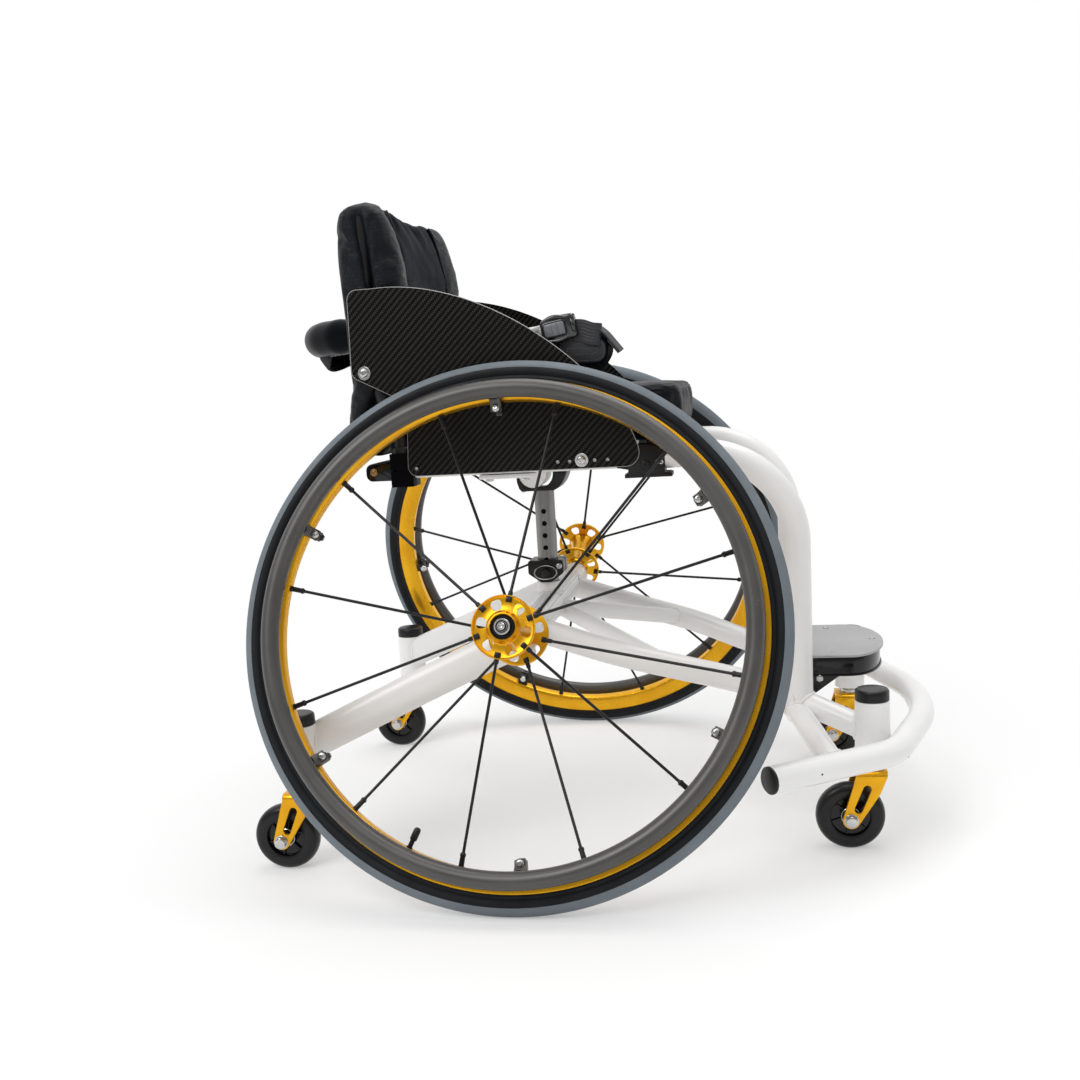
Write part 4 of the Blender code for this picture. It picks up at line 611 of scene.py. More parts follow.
def carbon_weave(name):
    """A two-by-two twill under clear lacquer, with the ribs rising forwards."""
    made = Nodes(name, (0.012, 0.012, 0.013), 0.38, 0.0, Coat_Weight=0.02, Coat_Roughness=0.10,
                 Specular_IOR_Level=0.10)
    x, _, z = made.axes()
    tow = 0.00205
    across = made.maths("DIVIDE", x, tow)
    upward = made.maths("DIVIDE", z, tow)
    column = made.maths("FLOOR", across)
    row = made.maths("FLOOR", upward)
    step = made.maths("FLOORED_MODULO", made.maths("SUBTRACT", column, row), 4.0)
    on_top = made.maths("LESS_THAN", step, 1.5)
    fibre_x = made.noise(1.0, 2.0, 0.5, made.scaled((5200.0, 1.0, 260.0)))
    fibre_z = made.noise(1.0, 2.0, 0.5, made.scaled((260.0, 1.0, 5200.0)))
    # One set of tows is painted pale as a painted sheen and the other near black as painted shade, though all
    # are one black fibre.
    warp_sheen = made.mix(made.span(fibre_x, 0.3, 0.7), (0.016, 0.0145, 0.0130), (0.046, 0.041, 0.036))
    weft_shade = made.mix(made.span(fibre_z, 0.3, 0.7), (0.0006, 0.0006, 0.0007), (0.0026, 0.0026, 0.0030))
    bulge_x = made.maths("PINGPONG", across, 0.5)
    bulge_z = made.maths("PINGPONG", upward, 0.5)
    # The grooves between the tows are painted darkest: painted shade between the tows.
    tow_gap_shade = made.span(made.maths("MINIMUM", bulge_x, bulge_z), 0.02, 0.16)
    made.paint(made.mix(tow_gap_shade, (0.0012, 0.0012, 0.0013), made.mix(on_top, weft_shade, warp_sheen)))
    height = made.maths("MULTIPLY", made.maths("ADD", bulge_x, bulge_z), 0.5)
    made.relief((height, 0.00025, 0.35))
    return made


def grained_leather(name, colour, roughness, cell, depth, **shader):
    """Leather or vinyl with a pebbled grain and soft creases."""
    made = Nodes(name, colour, roughness, 0.0, **shader)
    bent = made.noise(60.0, 3.0)
    pebbles = made.cells(cell)
    creases = made.noise(1.0, 3.0, 0.5, made.scaled((34.0, 34.0, 26.0)))
    fine = made.noise(cell * 2.4, 2.0)
    share = made.span(bent, 0.35, 0.7)
    made.paint(made.mix(share, tinted(colour, 0.78), tinted(colour, 1.25)))
    made.gloss(made.span(creases, 0.3, 0.7, roughness - 0.07, roughness + 0.10))
    made.relief((made.span(pebbles, 0.0, 0.12), depth, 0.45), (creases, 0.0005, 0.20),
                (fine, depth * 0.3, 0.3))
    return made


def woven(name, colour, pitch, depth, roughness, **shader):
    """Plain woven cloth with crossing threads, in the plane that faces each side."""
    made = Nodes(name, colour, roughness, 0.0, **shader)
    x, y, z = made.axes()
    scale = 1.0 / pitch
    first = made.maths("PINGPONG", made.maths("MULTIPLY", made.maths("ADD", x, y), scale), 0.5)
    second = made.maths("PINGPONG", made.maths("MULTIPLY", z, scale), 0.5)
    third = made.maths("PINGPONG", made.maths("MULTIPLY", made.maths("SUBTRACT", x, y), scale), 0.5)
    height = made.maths("ADD", made.maths("MULTIPLY", first, second), made.maths("MULTIPLY", third, 0.4))
    slow = made.noise(30.0, 4.0)
    # Colour follows thread height: painted shade in the hollows between threads and a painted highlight on
    # their crowns.
    made.paint(made.mix(made.span(height, 0.05, 0.4), tinted(colour, 0.55), tinted(colour, 1.2)))
    made.gloss(made.span(slow, 0.3, 0.7, roughness - 0.08, roughness + 0.08))
    made.relief((height, depth, 0.6), (slow, 0.0008, 0.15))
    return made


def speckled(name, colour, speck, roughness, metallic, **shader):
    """A satin surface with small pale rubbed specks."""
    made = Nodes(name, colour, roughness, metallic, **shader)
    slow = made.noise(18.0, 4.0)
    dots = made.cells(210.0, "F1")
    patchy = made.noise(34.0, 2.0)
    mask = made.maths("MULTIPLY", made.span(dots, 0.10, 0.04), made.span(patchy, 0.62, 0.72))
    base = made.mix(made.span(slow, 0.3, 0.7), tinted(colour, 0.88), tinted(colour, 1.08))
    made.paint(made.mix(mask, base, speck))
    made.gloss(made.span(slow, 0.3, 0.7, roughness - 0.05, roughness + 0.07))
    made.relief((made.noise(1500.0, 2.0), 0.00006, 0.5))
    return made


def painted(name, colour):
    """Glossy stove paint with a faint orange peel."""
    made = Nodes(name, colour, 0.30, 0.0, Coat_Weight=0.3, Coat_Roughness=0.08)
    slow = made.noise(5.0, 2.0, 0.4)
    scuffs = made.noise(60.0, 5.0, 0.7)
    share = made.span(slow, 0.2, 0.8)
    marks = made.maths("MULTIPLY", made.span(scuffs, 0.66, 0.76), 0.22)
    made.paint(made.mix(marks, made.mix(share, tinted(colour, 0.975), colour), tinted(colour, 0.80)))
    made.gloss(made.span(slow, 0.2, 0.8, 0.34, 0.27))
    made.relief((made.noise(260.0, 2.0), 0.00012, 0.35))
    return made


def anodised(name, colour, roughness):
    """Dyed metal that is deeper in hue where the dye is thick, with fine machining lines."""
    made = Nodes(name, colour, roughness, 0.80)
    slow = made.noise(17.0, 3.0, 0.5)
    lines = made.noise(1.0, 3.0, 0.6, made.scaled((260.0, 260.0, 1800.0)))
    deep = (colour[0] * 0.84, colour[1] * 0.74, colour[2] * 0.6)
    made.paint(made.mix(made.span(slow, 0.25, 0.75), deep, colour))
    made.gloss(made.span(slow, 0.25, 0.75, roughness + 0.05, roughness - 0.04))
    made.relief((lines, 0.00002, 0.2))
    return made


def creased_leather(name, colour, roughness):
    """Soft leather with a pebbled grain and fine wrinkles across its columns."""
    made = Nodes(name, colour, roughness, 0.0, Specular_IOR_Level=0.17)
    slow = made.noise(30.0, 3.0)
    pebbles = made.cells(560.0)
    wrinkles = made.noise(1.0, 3.0, 0.60, made.scaled((70.0, 70.0, 300.0)))
    folds = made.noise(1.0, 2.0, 0.5, made.scaled((16.0, 16.0, 46.0)))
    made.paint(made.mix(made.span(slow, 0.3, 0.7), tinted(colour, 0.85), tinted(colour, 1.15)))
    made.gloss(made.span(wrinkles, 0.3, 0.7, roughness - 0.04, roughness + 0.08))
    made.relief((folds, 0.0006, 0.20), (wrinkles, 0.0014, 0.75),
                (made.span(pebbles, 0.0, 0.12), 0.00022, 0.6))
    return made


GOLD_COLOUR = (0.89, 0.475, 0.016)
FINISHES = {
    "white_paint": painted("white_paint", (0.86, 0.856, 0.848)),
    "gold": anodised("gold_anodised", GOLD_COLOUR, 0.27),
    "brass": worn("brass_screw", (0.38, 0.25, 0.12), 0.35, 0.9, 60.0, 1500.0, 0.00005),
    "bare_metal": brushed("bare_aluminium", (0.27, 0.27, 0.262), 0.34, (1400.0, 1400.0, 16.0), 0.00022),
    "bright_metal": worn("bright_steel", (0.64, 0.64, 0.63), 0.20, 1.0, 90.0, 1600.0, 0.00004, 0.80, 0.05),
    "black_metal": worn("black_anodised", (0.0065, 0.0065, 0.0075), 0.36, 0.0, 40.0, 1300.0, 0.00006, 0.75,
                        0.06, Specular_IOR_Level=0.35),
    "black_plastic": worn("black_plastic", (0.0075, 0.0075, 0.0085), 0.36, 0.0, 45.0, 1100.0, 0.00012, 0.72,
                          0.07, Specular_IOR_Level=0.35),
    "black_gloss": worn("black_gloss", (0.004, 0.004, 0.0045), 0.15, 0.0, 30.0, 220.0, 0.00008, 0.8, 0.04,
                        Specular_IOR_Level=0.40),
    # A near-black finish for the insides of holes and recesses: painted shade.
    "dark_hole": worn("dark_hole", (0.006, 0.006, 0.006), 0.7, 0.0, 60.0, 900.0, 0.00008, 0.7, 0.05,
                      Specular_IOR_Level=0.15),
    "bar_cover": worn("bar_cover", (0.0050, 0.0053, 0.0066), 0.24, 0.0, 22.0, 300.0, 0.00010, 0.8, 0.05,
                      Specular_IOR_Level=0.01),
    "satin_steel": worn("satin_steel", (0.66, 0.66, 0.65), 0.32, 0.4, 90.0, 1600.0, 0.00004, 0.85, 0.05),
    "buckle_gloss": worn("buckle_gloss", (0.0100, 0.0100, 0.0115), 0.17, 0.0, 45.0, 1100.0, 0.00008, 0.8,
                         0.04, Specular_IOR_Level=0.90),
    "grey_plate": speckled("grey_plate", (0.40, 0.40, 0.405), (0.22, 0.22, 0.22), 0.46, 0.15),
    "tread": worn("tyre_tread", (0.165, 0.192, 0.215), 0.62, 0.0, 20.0, 1300.0, 0.00016, 0.84, 0.06,
                  Specular_IOR_Level=0.3),
    "sidewall": worn("tyre_sidewall", (0.0075, 0.0085, 0.0105), 0.52, 0.0, 30.0, 1000.0, 0.00014, 0.7, 0.08,
                     Specular_IOR_Level=0.22),
    "handrim": speckled("push_ring_coating", (0.082, 0.079, 0.074), (0.36, 0.35, 0.34), 0.34, 0.35,
                        Specular_IOR_Level=0.50),
    "urethane": worn("caster_urethane", (0.0065, 0.0068, 0.0080), 0.30, 0.0, 30.0, 600.0, 0.00010, 0.75, 0.07,
                     Specular_IOR_Level=0.35),
    "carbon": carbon_weave("carbon_twill"),
    # The pale grey of the guards' cut edges is partly the cut fibre and partly a painted highlight along the
    # edge.
    "carbon_edge": worn("carbon_edge", (0.30, 0.30, 0.295), 0.34, 0.0, 80.0, 1500.0, 0.00006),
    "leather": creased_leather("back_leather", (0.0034, 0.0043, 0.0066), 0.36),
    "vinyl": grained_leather("cushion_vinyl", (0.0064, 0.0068, 0.0088), 0.40, 1150.0, 0.00010,
                             Specular_IOR_Level=0.07),
    "nylon": woven("nylon_cloth", (0.0022, 0.0038, 0.0092), 0.0009, 0.00025, 0.60, Specular_IOR_Level=0.05),
    "webbing": woven("webbing", (0.0340, 0.0345, 0.0385), 0.0013, 0.00055, 0.50, Specular_IOR_Level=0.42),
    "thread": worn("thread", (0.110, 0.110, 0.115), 0.6, 0.0, 80.0, 2000.0, 0.0001),
    "button_grey": worn("button_grey", (0.165, 0.172, 0.188), 0.30, 0.0, 60.0, 1400.0, 0.00012),
}


class Piece:
    """Gathers forms with their finishes and makes one object of them."""

    def __init__(self):
        self.points = []
        self.faces = []
        self.finishes = []

    def add(self, form, finish):
        points, faces = form
        base = len(self.points)
        self.points += points
        self.faces += [tuple(index + base for index in face) for face in faces]
        self.finishes += [finish] * len(faces) if isinstance(finish, str) else list(finish)
        return self

    def fasten(self, form, place, direction, finish="bright_metal"):
        """Adds a fastener at a place, with its head towards a direction."""
        return self.add(at(form, facing(place, direction)), finish)

    def moved(self, matrix):
        other = Piece()
        other.points = [matrix @ point for point in self.points]
        flip = matrix.to_3x3().determinant() < 0
        other.faces = [face[::-1] if flip else face for face in self.faces]
        other.finishes = list(self.finishes)
        return other

    def build(self, name, body, nodes, slot, sharp):
        """Makes the object, rides it on a body and replaces CAD nodes."""
        mesh = bpy.data.meshes.new(name)
        shift = Vector((AXLE_X, 0.0, 0.0))
        mesh.from_pydata([tuple(point + shift) for point in self.points], [], self.faces)
        used = sorted(set(self.finishes))
        for finish in used:
            mesh.materials.append(FINISHES[finish].material)
        mesh.polygons.foreach_set("material_index", [used.index(finish) for finish in self.finishes])
        bm = bmesh.new()
        bm.from_mesh(mesh)
        bmesh.ops.recalc_face_normals(bm, faces=bm.faces)
        bm.to_mesh(mesh)
        bm.free()
        mesh.shade_smooth()
        mesh.set_sharp_from_angle(angle=math.radians(sharp))
        made = bpy.data.objects.new(name, mesh)
        bpy.context.scene.collection.objects.link(made)
        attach(made, body)
        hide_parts(*nodes)
        return made


MIRROR = Matrix.Scale(-1.0, 4, Y_AXIS)


def build_pair(piece, name, bodies, node, slot, sharp):
    """Makes the left object and its mirror image. The node's name gets _left and _right."""
    for word, matrix in (("left", IDENTITY), ("right", MIRROR)):
        piece.moved(matrix).build(f"{name}_{word}", bodies[word], [f"{node}_{word}"], slot, sharp)


ON_FRAME = {"left": "frame", "right": "frame"}
ON_SEAT = {"left": "seat", "right": "seat"}
ON_WHEEL = {"left": "wheel_left", "right": "wheel_right"}


# Fasteners, built on the origin with their head towards +Z

def hex_head(radius, height):
    """A hexagonal head with a chamfered crown."""
    head = prism(hexagon(radius), "z", 0.0, height)
    crown = lathe([(0, -0.001), (radius * 1.1, -0.001), (radius * 1.1, height * 0.62),
                   (radius * 0.86, height - 0.0003), (radius * 0.7, height), (0, height)], 36)
    return bevelled(combined(head, [crown], "INTERSECT"), radius * 0.05, 1)


def socket_screw(radius, height):
    """A button head with a hexagonal socket."""
    dome = [(0, 0), (radius, 0), (radius, height * 0.25), (radius * 0.92, height * 0.62),
            (radius * 0.72, height * 0.9), (radius * 0.5, height), (0, height)]
    return combined(lathe(dome, 28), [prism(hexagon(radius * 0.42), "z", height * 0.35, height * 2)])


def washer(outer, inner, thickness):
    """A flat washer with soft edges."""
    edge = thickness * 0.3
    return lathe([(inner, 0), (outer - edge, 0), (outer, edge), (outer, thickness - edge),
                  (outer - edge, thickness), (inner, thickness)], 32, True)


def facing(place, direction):
    """A matrix that puts a fastener at a place, with its head towards a direction."""
    return Matrix.Translation(Vector(place)) @ Vector(direction).to_track_quat("Z", "X").to_matrix().to_4x4()


def stitches(path, lift, pitch=0.0042, length=0.0029, radius=0.00038, closed=False):
    """A row of thread stitches along a path, raised along lift."""
    forms = []
    for point, direction in evenly(path, pitch, closed):
        centre = point + lift * radius * 0.5
        half = direction * length / 2
        ring = []
        for share, thick in ((-1.0, 0.25), (-0.7, 0.85), (0.0, 1.0), (0.7, 0.85), (1.0, 0.25)):
            ring.append((centre + half * share, radius * thick))
        side = direction.cross(lift).normalized()
        rings = [[place + side * thick * a + lift * thick * b for a, b in oval(1.0, sides=6)]
                 for place, thick in ring]
        forms.append(loft(rings))
    return joined(*forms)


# Main wheels, in the left wheel's own frame: Z out along the axle, X forward

def wheel_matrix():
    """The left wheel's frame."""
    out = Vector((0.0, math.cos(CAMBER), math.sin(CAMBER)))
    place = Matrix((X_AXIS, out.cross(X_AXIS), out)).transposed().to_4x4()
    return Matrix.Translation((0.0, HUB_Y, HUB_Z)) @ place


WHEEL = wheel_matrix()


def turned_by(angle):
    """A turn about the wheel's axle. Angles count up from forward, as seen from outside on the left."""
    return Matrix.Rotation(-angle, 4, "Z")


def turns(first, count):
    """Even turns about the wheel's axle."""
    return [turned_by(first + 2 * math.pi * index / count) for index in range(count)]


def spoke_places():
    """The flange's level and the turn of each spoke. The inner flange's spokes sit half a step on."""
    for flange, first in ((HUB_OUTER_FLANGE, SPOKE_ANGLE), (HUB_INNER_FLANGE, SPOKE_ANGLE + HALF_STEP)):
        for turn in turns(first, SPOKES_PER_FLANGE):
            yield flange, turn


def build_tyres():
    """Tyres with a pale tread band, fine grooves and black side walls."""
    profile, finishes = [], []
    degrees = list(np.linspace(-124.0, 124.0, 63))
    for angle in degrees:
        radius = TYRE_RADIUS
        for groove in (-46.0, -24.0, 0.0, 24.0, 46.0):
            if abs(angle - groove) < 1.6:
                radius -= 0.00045
        if abs(abs(angle) - TREAD_ANGLE) < 2.1:
            radius -= 0.00030
        turn = math.radians(angle)
        profile.append((TYRE_CENTRE_RADIUS + radius * math.cos(turn), radius * math.sin(turn)))
        finishes.append("tread" if abs(angle) < TREAD_ANGLE else "sidewall")
    lip = [(0.2830, 0.01125), (0.2812, 0.01150), (0.2806, 0.01105), (0.2812, 0.0100), (0.2844, 0.0088)]
    profile += lip + [(radius, -height) for radius, height in reversed(lip)]
    finishes += ["sidewall"] * (2 * len(lip))
    segments = 192
    tyre = Piece().add(lathe(profile, segments, True), banded(finishes, segments))
    build_pair(tyre.moved(WHEEL), "tyre_dressed", ON_WHEEL, "tyre", "tyre_rubber", 50.0)


def rim_piece(first_tab):
    """A deep gold rim with a rounded nose, nipples, a valve and the brackets of the push ring's tabs."""
    half = [(RIM_RADIUS, 0.0088), (RIM_RADIUS - 0.0020, 0.0104), (RIM_RADIUS - 0.0060, RIM_HALF_WIDTH),
            (RIM_RADIUS - 0.0140, RIM_HALF_WIDTH - 0.0001), (RIM_RADIUS - 0.0158, RIM_HALF_WIDTH - 0.0005),
            (RIM_RADIUS - 0.0215, 0.0082), (RIM_INNER_RADIUS + 0.0012, RIM_NOSE + 0.0002),
            (RIM_INNER_RADIUS + 0.0003, RIM_NOSE - 0.0008), (RIM_INNER_RADIUS, RIM_NOSE - 0.0020),
            (RIM_INNER_RADIUS, 0.0)]
    rim = Piece().add(lathe(mirrored(half), 192, True), "gold")
    nipple_profile = [(0, 0), (0.0036, 0), (0.0036, 0.0016), (0.0030, 0.0022), (0.0028, 0.0125),
                      (0.0033, 0.0130), (0.0033, 0.0152), (0.0024, 0.0160), (0.0017, 0.0175), (0, 0.018)]
    for flange, turn in spoke_places():
        foot = Vector((FLANGE_RADIUS - 0.0025, 0.0, flange))
        tip = Vector((RIM_INNER_RADIUS + 0.001, 0.0, 0.0))
        nipple = bar(tip, tip + (foot - tip).normalized() * 0.018, nipple_profile, 20)
        rim.add(at(nipple, turn), "black_plastic")
    turn = turned_by(VALVE_ANGLE)
    start = Vector((RIM_INNER_RADIUS + 0.001, 0.0, 0.0))
    valve_profile = [(0, 0), (0.0036, 0), (0.0036, 0.0022), (0.0027, 0.0028), (0.0027, 0.0095),
                     (0.0037, 0.0102), (0.0040, 0.0120), (0.0040, 0.0205), (0.0034, 0.0232), (0.0018, 0.0245),
                     (0, 0.0245)]
    valve = bar(start, start - X_AXIS * 0.0245, valve_profile, 24)
    rim.add(at(valve, turn), "black_plastic")
    bracket = bevelled(block((0.2462, -0.0055, -0.0045), (RIM_INNER_RADIUS + 0.002, 0.0055, 0.0088)), 0.0010)
    for turn in turns(first_tab, TABS):
        rim.add(at(bracket, turn), "black_metal")
    return rim


def handrim_piece(first_tab):
    """A coated push ring, with the bent tab plates and their screws."""
    ring = [(HANDRIM_RADIUS + a, HANDRIM_OFFSET + b) for a, b in oval(HANDRIM_TUBE_RADIUS, sides=32)]
    handrim = Piece().add(lathe(ring, 192, True), "handrim")
    plate = [(0.2610, 0.0235), (0.2560, 0.0205), (0.2525, 0.0150), (0.2500, 0.0128), (0.2440, 0.0120)]
    thick = 0.0026
    rows = plate + [(radius + 0.0006, height - thick) for radius, height in reversed(plate)]
    tab = loft([[Vector((radius, across, height)) for radius, height in rows]
                for across in (-0.0062, 0.0062)])
    tab = bevelled(tab, 0.0006)
    screw = at(socket_screw(0.0047, 0.0034), Matrix.Translation((0.2480, 0, 0.0125)))
    ring_washer = at(washer(0.0053, 0.0025, 0.0008), Matrix.Translation((0.2480, 0, 0.0122)))
    nut = at(hex_head(0.0048, 0.0035), facing((0.2480, 0, -0.0042), (0, 0, -1)))
    weld = at(lathe([(0, 0), (0.0068, 0), (0.0062, 0.0016), (0.0048, 0.0030), (0, 0.0036)], 24),
              facing((0.2590, 0, 0.0225), (-0.6, 0, -0.8)))
    for turn in turns(first_tab, TABS):
        handrim.add(at(tab, turn), "handrim").add(at(weld, turn), "handrim")
        handrim.add(at(screw, turn), "bright_metal").add(at(ring_washer, turn), "black_metal")
        handrim.add(at(nut, turn), "bright_metal")
    return handrim


def build_rings():
    """Rims and push rings. The left wheel's tabs sit half a step on from the right one's."""
    half_step = math.pi / TABS
    for word, matrix, first_tab in (("left", IDENTITY, TAB_ANGLE + half_step), ("right", MIRROR, TAB_ANGLE)):
        place = matrix @ WHEEL
        body = ON_WHEEL[word]
        rim_piece(first_tab).moved(place).build(f"rim_dressed_{word}", body, [f"rim_{word}"], "gold", 40.0)
        handrim_piece(first_tab).moved(place).build(f"push_ring_dressed_{word}", body, [f"handrim_{word}"],
                                                    "handrim_grey", 40.0)


def flange_form(level, outward):
    """A hub flange with a raised lip, a recess and six windows."""
    lip, edge = FLANGE_RADIUS, 0.0006
    top, bottom = level + outward * FLANGE_HALF, level - outward * FLANGE_HALF
    crest = top + outward * 0.0006
    recess = top - outward * 0.0016
    profile = [(0.0120, bottom), (lip - 0.0016, bottom), (lip - 0.0002, bottom + outward * edge),
               (lip, level), (lip, crest - outward * edge), (lip - 0.0004, crest), (lip - 0.0012, crest),
               (lip - 0.0018, crest - outward * edge), (lip - 0.0022, recess + outward * 0.0004),
               (lip - 0.0030, recess), (0.0196, recess), (0.0180, recess + outward * 0.0006),
               (0.0168, top + outward * 0.0006), (0.0120, top + outward * 0.0006)]
    tools = []
    window = [(0.0250 + a, b) for a, b in rounded([(-0.0062, -0.0042), (0.0056, -0.0074), (0.0056, 0.0074),
                                                   (-0.0062, 0.0042)], [0.0036, 0.0044, 0.0044, 0.0036], 6)]
    first = SPOKE_ANGLE if outward > 0 else SPOKE_ANGLE + HALF_STEP
    for index in range(SPOKES_PER_FLANGE):
        angle = first + HALF_STEP + math.pi * index / 3
        tools.append(at(prism(window, "z", level - 0.005, level + 0.005), turned_by(angle)))
    return combined(lathe(profile, 72, True), tools)


def build_hubs():
    """Hubs with windowed flanges, a waisted barrel, spokes, bearings and a boss."""
    hub = Piece()
    low, high = HUB_INNER_FLANGE, HUB_OUTER_FLANGE
    hub.add(flange_form(high, 1.0), "gold").add(flange_form(low, -1.0), "gold")
    barrel = [(0.0100, low), (0.0185, low + 0.0010), (0.0170, low + 0.0060), (0.0145, low + 0.0180),
              (0.0138, -0.0065), (0.0145, high - 0.0180), (0.0170, high - 0.0060), (0.0185, high - 0.0010),
              (0.0100, high)]
    hub.add(lathe(barrel, 64, True), "gold")
    outer = [(0.0136, high - 0.001), (0.0182, high - 0.001), (0.0180, high + 0.0010), (0.0168, high + 0.0030),
             (BOSS_RADIUS + 0.0004, HUB_OUTER_END - 0.0010), (BOSS_RADIUS - 0.0002, HUB_OUTER_END - 0.0001),
             (0.0146, HUB_OUTER_END), (0.0138, HUB_OUTER_END - 0.0006), (0.0136, HUB_OUTER_END - 0.0014)]
    hub.add(lathe(outer, 64, True), "gold")
    seal = [(0.0068, high), (0.0137, high), (0.0137, HUB_OUTER_END - 0.0018),
            (0.0126, HUB_OUTER_END - 0.0012), (0.0118, HUB_OUTER_END - 0.0020),
            (0.0100, HUB_OUTER_END - 0.0020), (0.0094, HUB_OUTER_END - 0.0008),
            (0.0068, HUB_OUTER_END - 0.0008)]
    hub.add(lathe(seal, 64, True), "black_gloss")
    inner = [(0.0130, low + 0.001), (0.0172, low + 0.001), (0.0172, low - 0.0020),
             (BOSS_RADIUS, HUB_INNER_END + 0.0008), (BOSS_RADIUS - 0.0008, HUB_INNER_END),
             (0.0130, HUB_INNER_END)]
    hub.add(lathe(inner, 64, True), "gold")
    inner_seal = [(0.0068, low), (0.0132, low), (0.0132, HUB_INNER_END + 0.0003),
                  (0.0068, HUB_INNER_END + 0.0003)]
    hub.add(lathe(inner_seal, 48, True), "black_plastic")
    for flange, turn in spoke_places():
        side = 1.0 if flange > 0 else -1.0
        foot = Vector((FLANGE_RADIUS - 0.0030, 0.0, flange))
        tip = Vector((RIM_INNER_RADIUS - 0.010, 0.0, flange * 0.045))
        hub.add(at(rod(foot, tip, SPOKE_RADIUS, 12), turn), "black_metal")
        sleeve = bar(foot, foot + (tip - foot).normalized() * 0.0085,
                     [(0, 0), (0.0026, 0), (0.0026, 0.0066), (0.0018, 0.0082), (0, 0.0085)], 16)
        hub.add(at(sleeve, turn), "black_metal")
        head = bevelled(block((0.0272, -0.0032, flange - FLANGE_HALF - 0.0009),
                              (0.0331, 0.0032, flange + FLANGE_HALF + 0.0009)), 0.0008)
        hub.add(at(head, turn), "black_plastic")
        dent = at(lathe([(0.0009, 0), (0.0016, 0), (0.0016, 0.0004), (0.0009, 0.0004)], 16, True),
                  facing((0.0301, 0, flange + side * (FLANGE_HALF + 0.0008)), (0, 0, side)))
        hub.add(at(dent, turn), "black_metal")
    build_pair(hub.moved(WHEEL), "hub_dressed", ON_WHEEL, "hub", "gold", 35.0)


def build_axles():
    """Quick-release axles with a stepped head, and their sprung buttons."""
    head = [(0, AXLE_INNER_END), (0.0040, AXLE_INNER_END), (AXLE_RADIUS - 0.0006, AXLE_INNER_END + 0.0030),
            (AXLE_RADIUS - 0.0001, AXLE_INNER_END + 0.0038), (AXLE_RADIUS - 0.0001, 0.0408),
            (AXLE_HEAD_RADIUS - 0.0004, 0.0408), (AXLE_HEAD_RADIUS, 0.0412),
            (AXLE_HEAD_RADIUS, AXLE_HEAD_TOP - 0.0006), (AXLE_HEAD_RADIUS - 0.0006, AXLE_HEAD_TOP),
            (0.0068, AXLE_HEAD_TOP), (0.0062, AXLE_HEAD_TOP - 0.0014), (0.0043, AXLE_HEAD_TOP - 0.0014),
            (0.0043, 0.020), (0, 0.020)]
    # The bore in the head is painted near black: painted shade in the recess.
    kinds = ["bright_metal"] * 9 + ["dark_hole"] * 4
    axle = Piece().add(lathe(head, 56), banded(kinds, 56))
    low = AXLE_HEAD_TOP - 0.0015
    axle.add(lathe([(0.0047, low), (0.0057, low), (0.0055, low + 0.0007), (0.0049, low + 0.0007)], 40, True),
             "bright_metal")
    for angle in (0.0, math.pi):
        ball = at(lathe([(0, -0.0016), (0.0011, -0.0011), (0.0016, 0.0), (0.0011, 0.0011), (0, 0.0016)], 14),
                  turned_by(angle) @ Matrix.Translation((AXLE_RADIUS - 0.0004, 0, AXLE_INNER_END + 0.0085)))
        axle.add(ball, "bright_metal")
    build_pair(axle.moved(WHEEL), "axle_dressed", ON_FRAME, "axle", "bright_metal", 28.0)
    dimple = [(0, BUTTON_TOP - 0.0175), (BUTTON_RADIUS, BUTTON_TOP - 0.0175),
              (BUTTON_RADIUS, BUTTON_TOP - 0.0008), (BUTTON_RADIUS - 0.0008, BUTTON_TOP),
              (0.0022, BUTTON_TOP), (0.0012, BUTTON_TOP - 0.0006), (0, BUTTON_TOP - 0.0008)]
    button = Piece().add(lathe(dimple, 40), "bright_metal")
    build_pair(button.moved(WHEEL), "release_button_dressed",
               {"left": "release_button_left", "right": "release_button_right"}, "release_button",
               "bright_metal", 28.0)


# Frame tubes

def nearest(path, point):
    """The distance from a point to a path."""
    best = 1e9
    for first, second in zip(path, path[1:]):
        along = second - first
        share = max(0.0, min(1.0, (point - first).dot(along) / along.length_squared))
        best = min(best, (first + along * share - point).length)
    return best


def weld_bead(start, end, half_width, half_height, path, radius, bead=WELD_RADIUS, up=Z_AXIS):
    """The bead round a tube that runs from start into another tube's wall."""
    start, end = Vector(start), Vector(end)
    path = [Vector(point) for point in path]
    tangent = (end - start).normalized()
    side = tangent.cross(up).normalized()
    rise = side.cross(tangent).normalized()
    loop = []
    for a, b in oval(1.0, sides=40):
        offset = side * half_width * a + rise * half_height * b
        low, high = 0.0, 1.0
        for _ in range(16):
            middle = (low + high) / 2
            if nearest(path, start.lerp(end, middle) + offset) > radius:
                low = middle
            else:
                high = middle
        loop.append(start.lerp(end, low) + offset * (1.0 + 0.0006 / half_width))
    section = oval(bead, sides=8)
    rings = []
    count = len(loop)
    for index, point in enumerate(loop):
        along = (loop[(index + 1) % count] - loop[index - 1]).normalized()
        outward = (point - start.lerp(end, 0.9)).normalized()
        first = (outward - along * outward.dot(along)).normalized()
        second = along.cross(first)
        size = 1.0 + 0.10 * math.sin(index * 2.4)
        rings.append([point + (first * a + second * b) * size for a, b in section])
    return loft(rings, False, True)


def post_bore(low=POST_BORE_FLOOR_Z):
    """The space that the seat post slides in."""
    return rod((POST_X, 0, low), (POST_X, 0, POST_BORE_TOP_Z), POST_BORE_RADIUS, 48)


def caster_places():
    """The name, side and stem of each caster."""
    for word, (x, y) in (("front", FRONT_STEM), ("rear", REAR_STEM)):
        for side, sign in (("left", 1.0), ("right", -1.0)):
            yield f"{word}_{side}", Matrix.Translation((x, sign * y, 0))


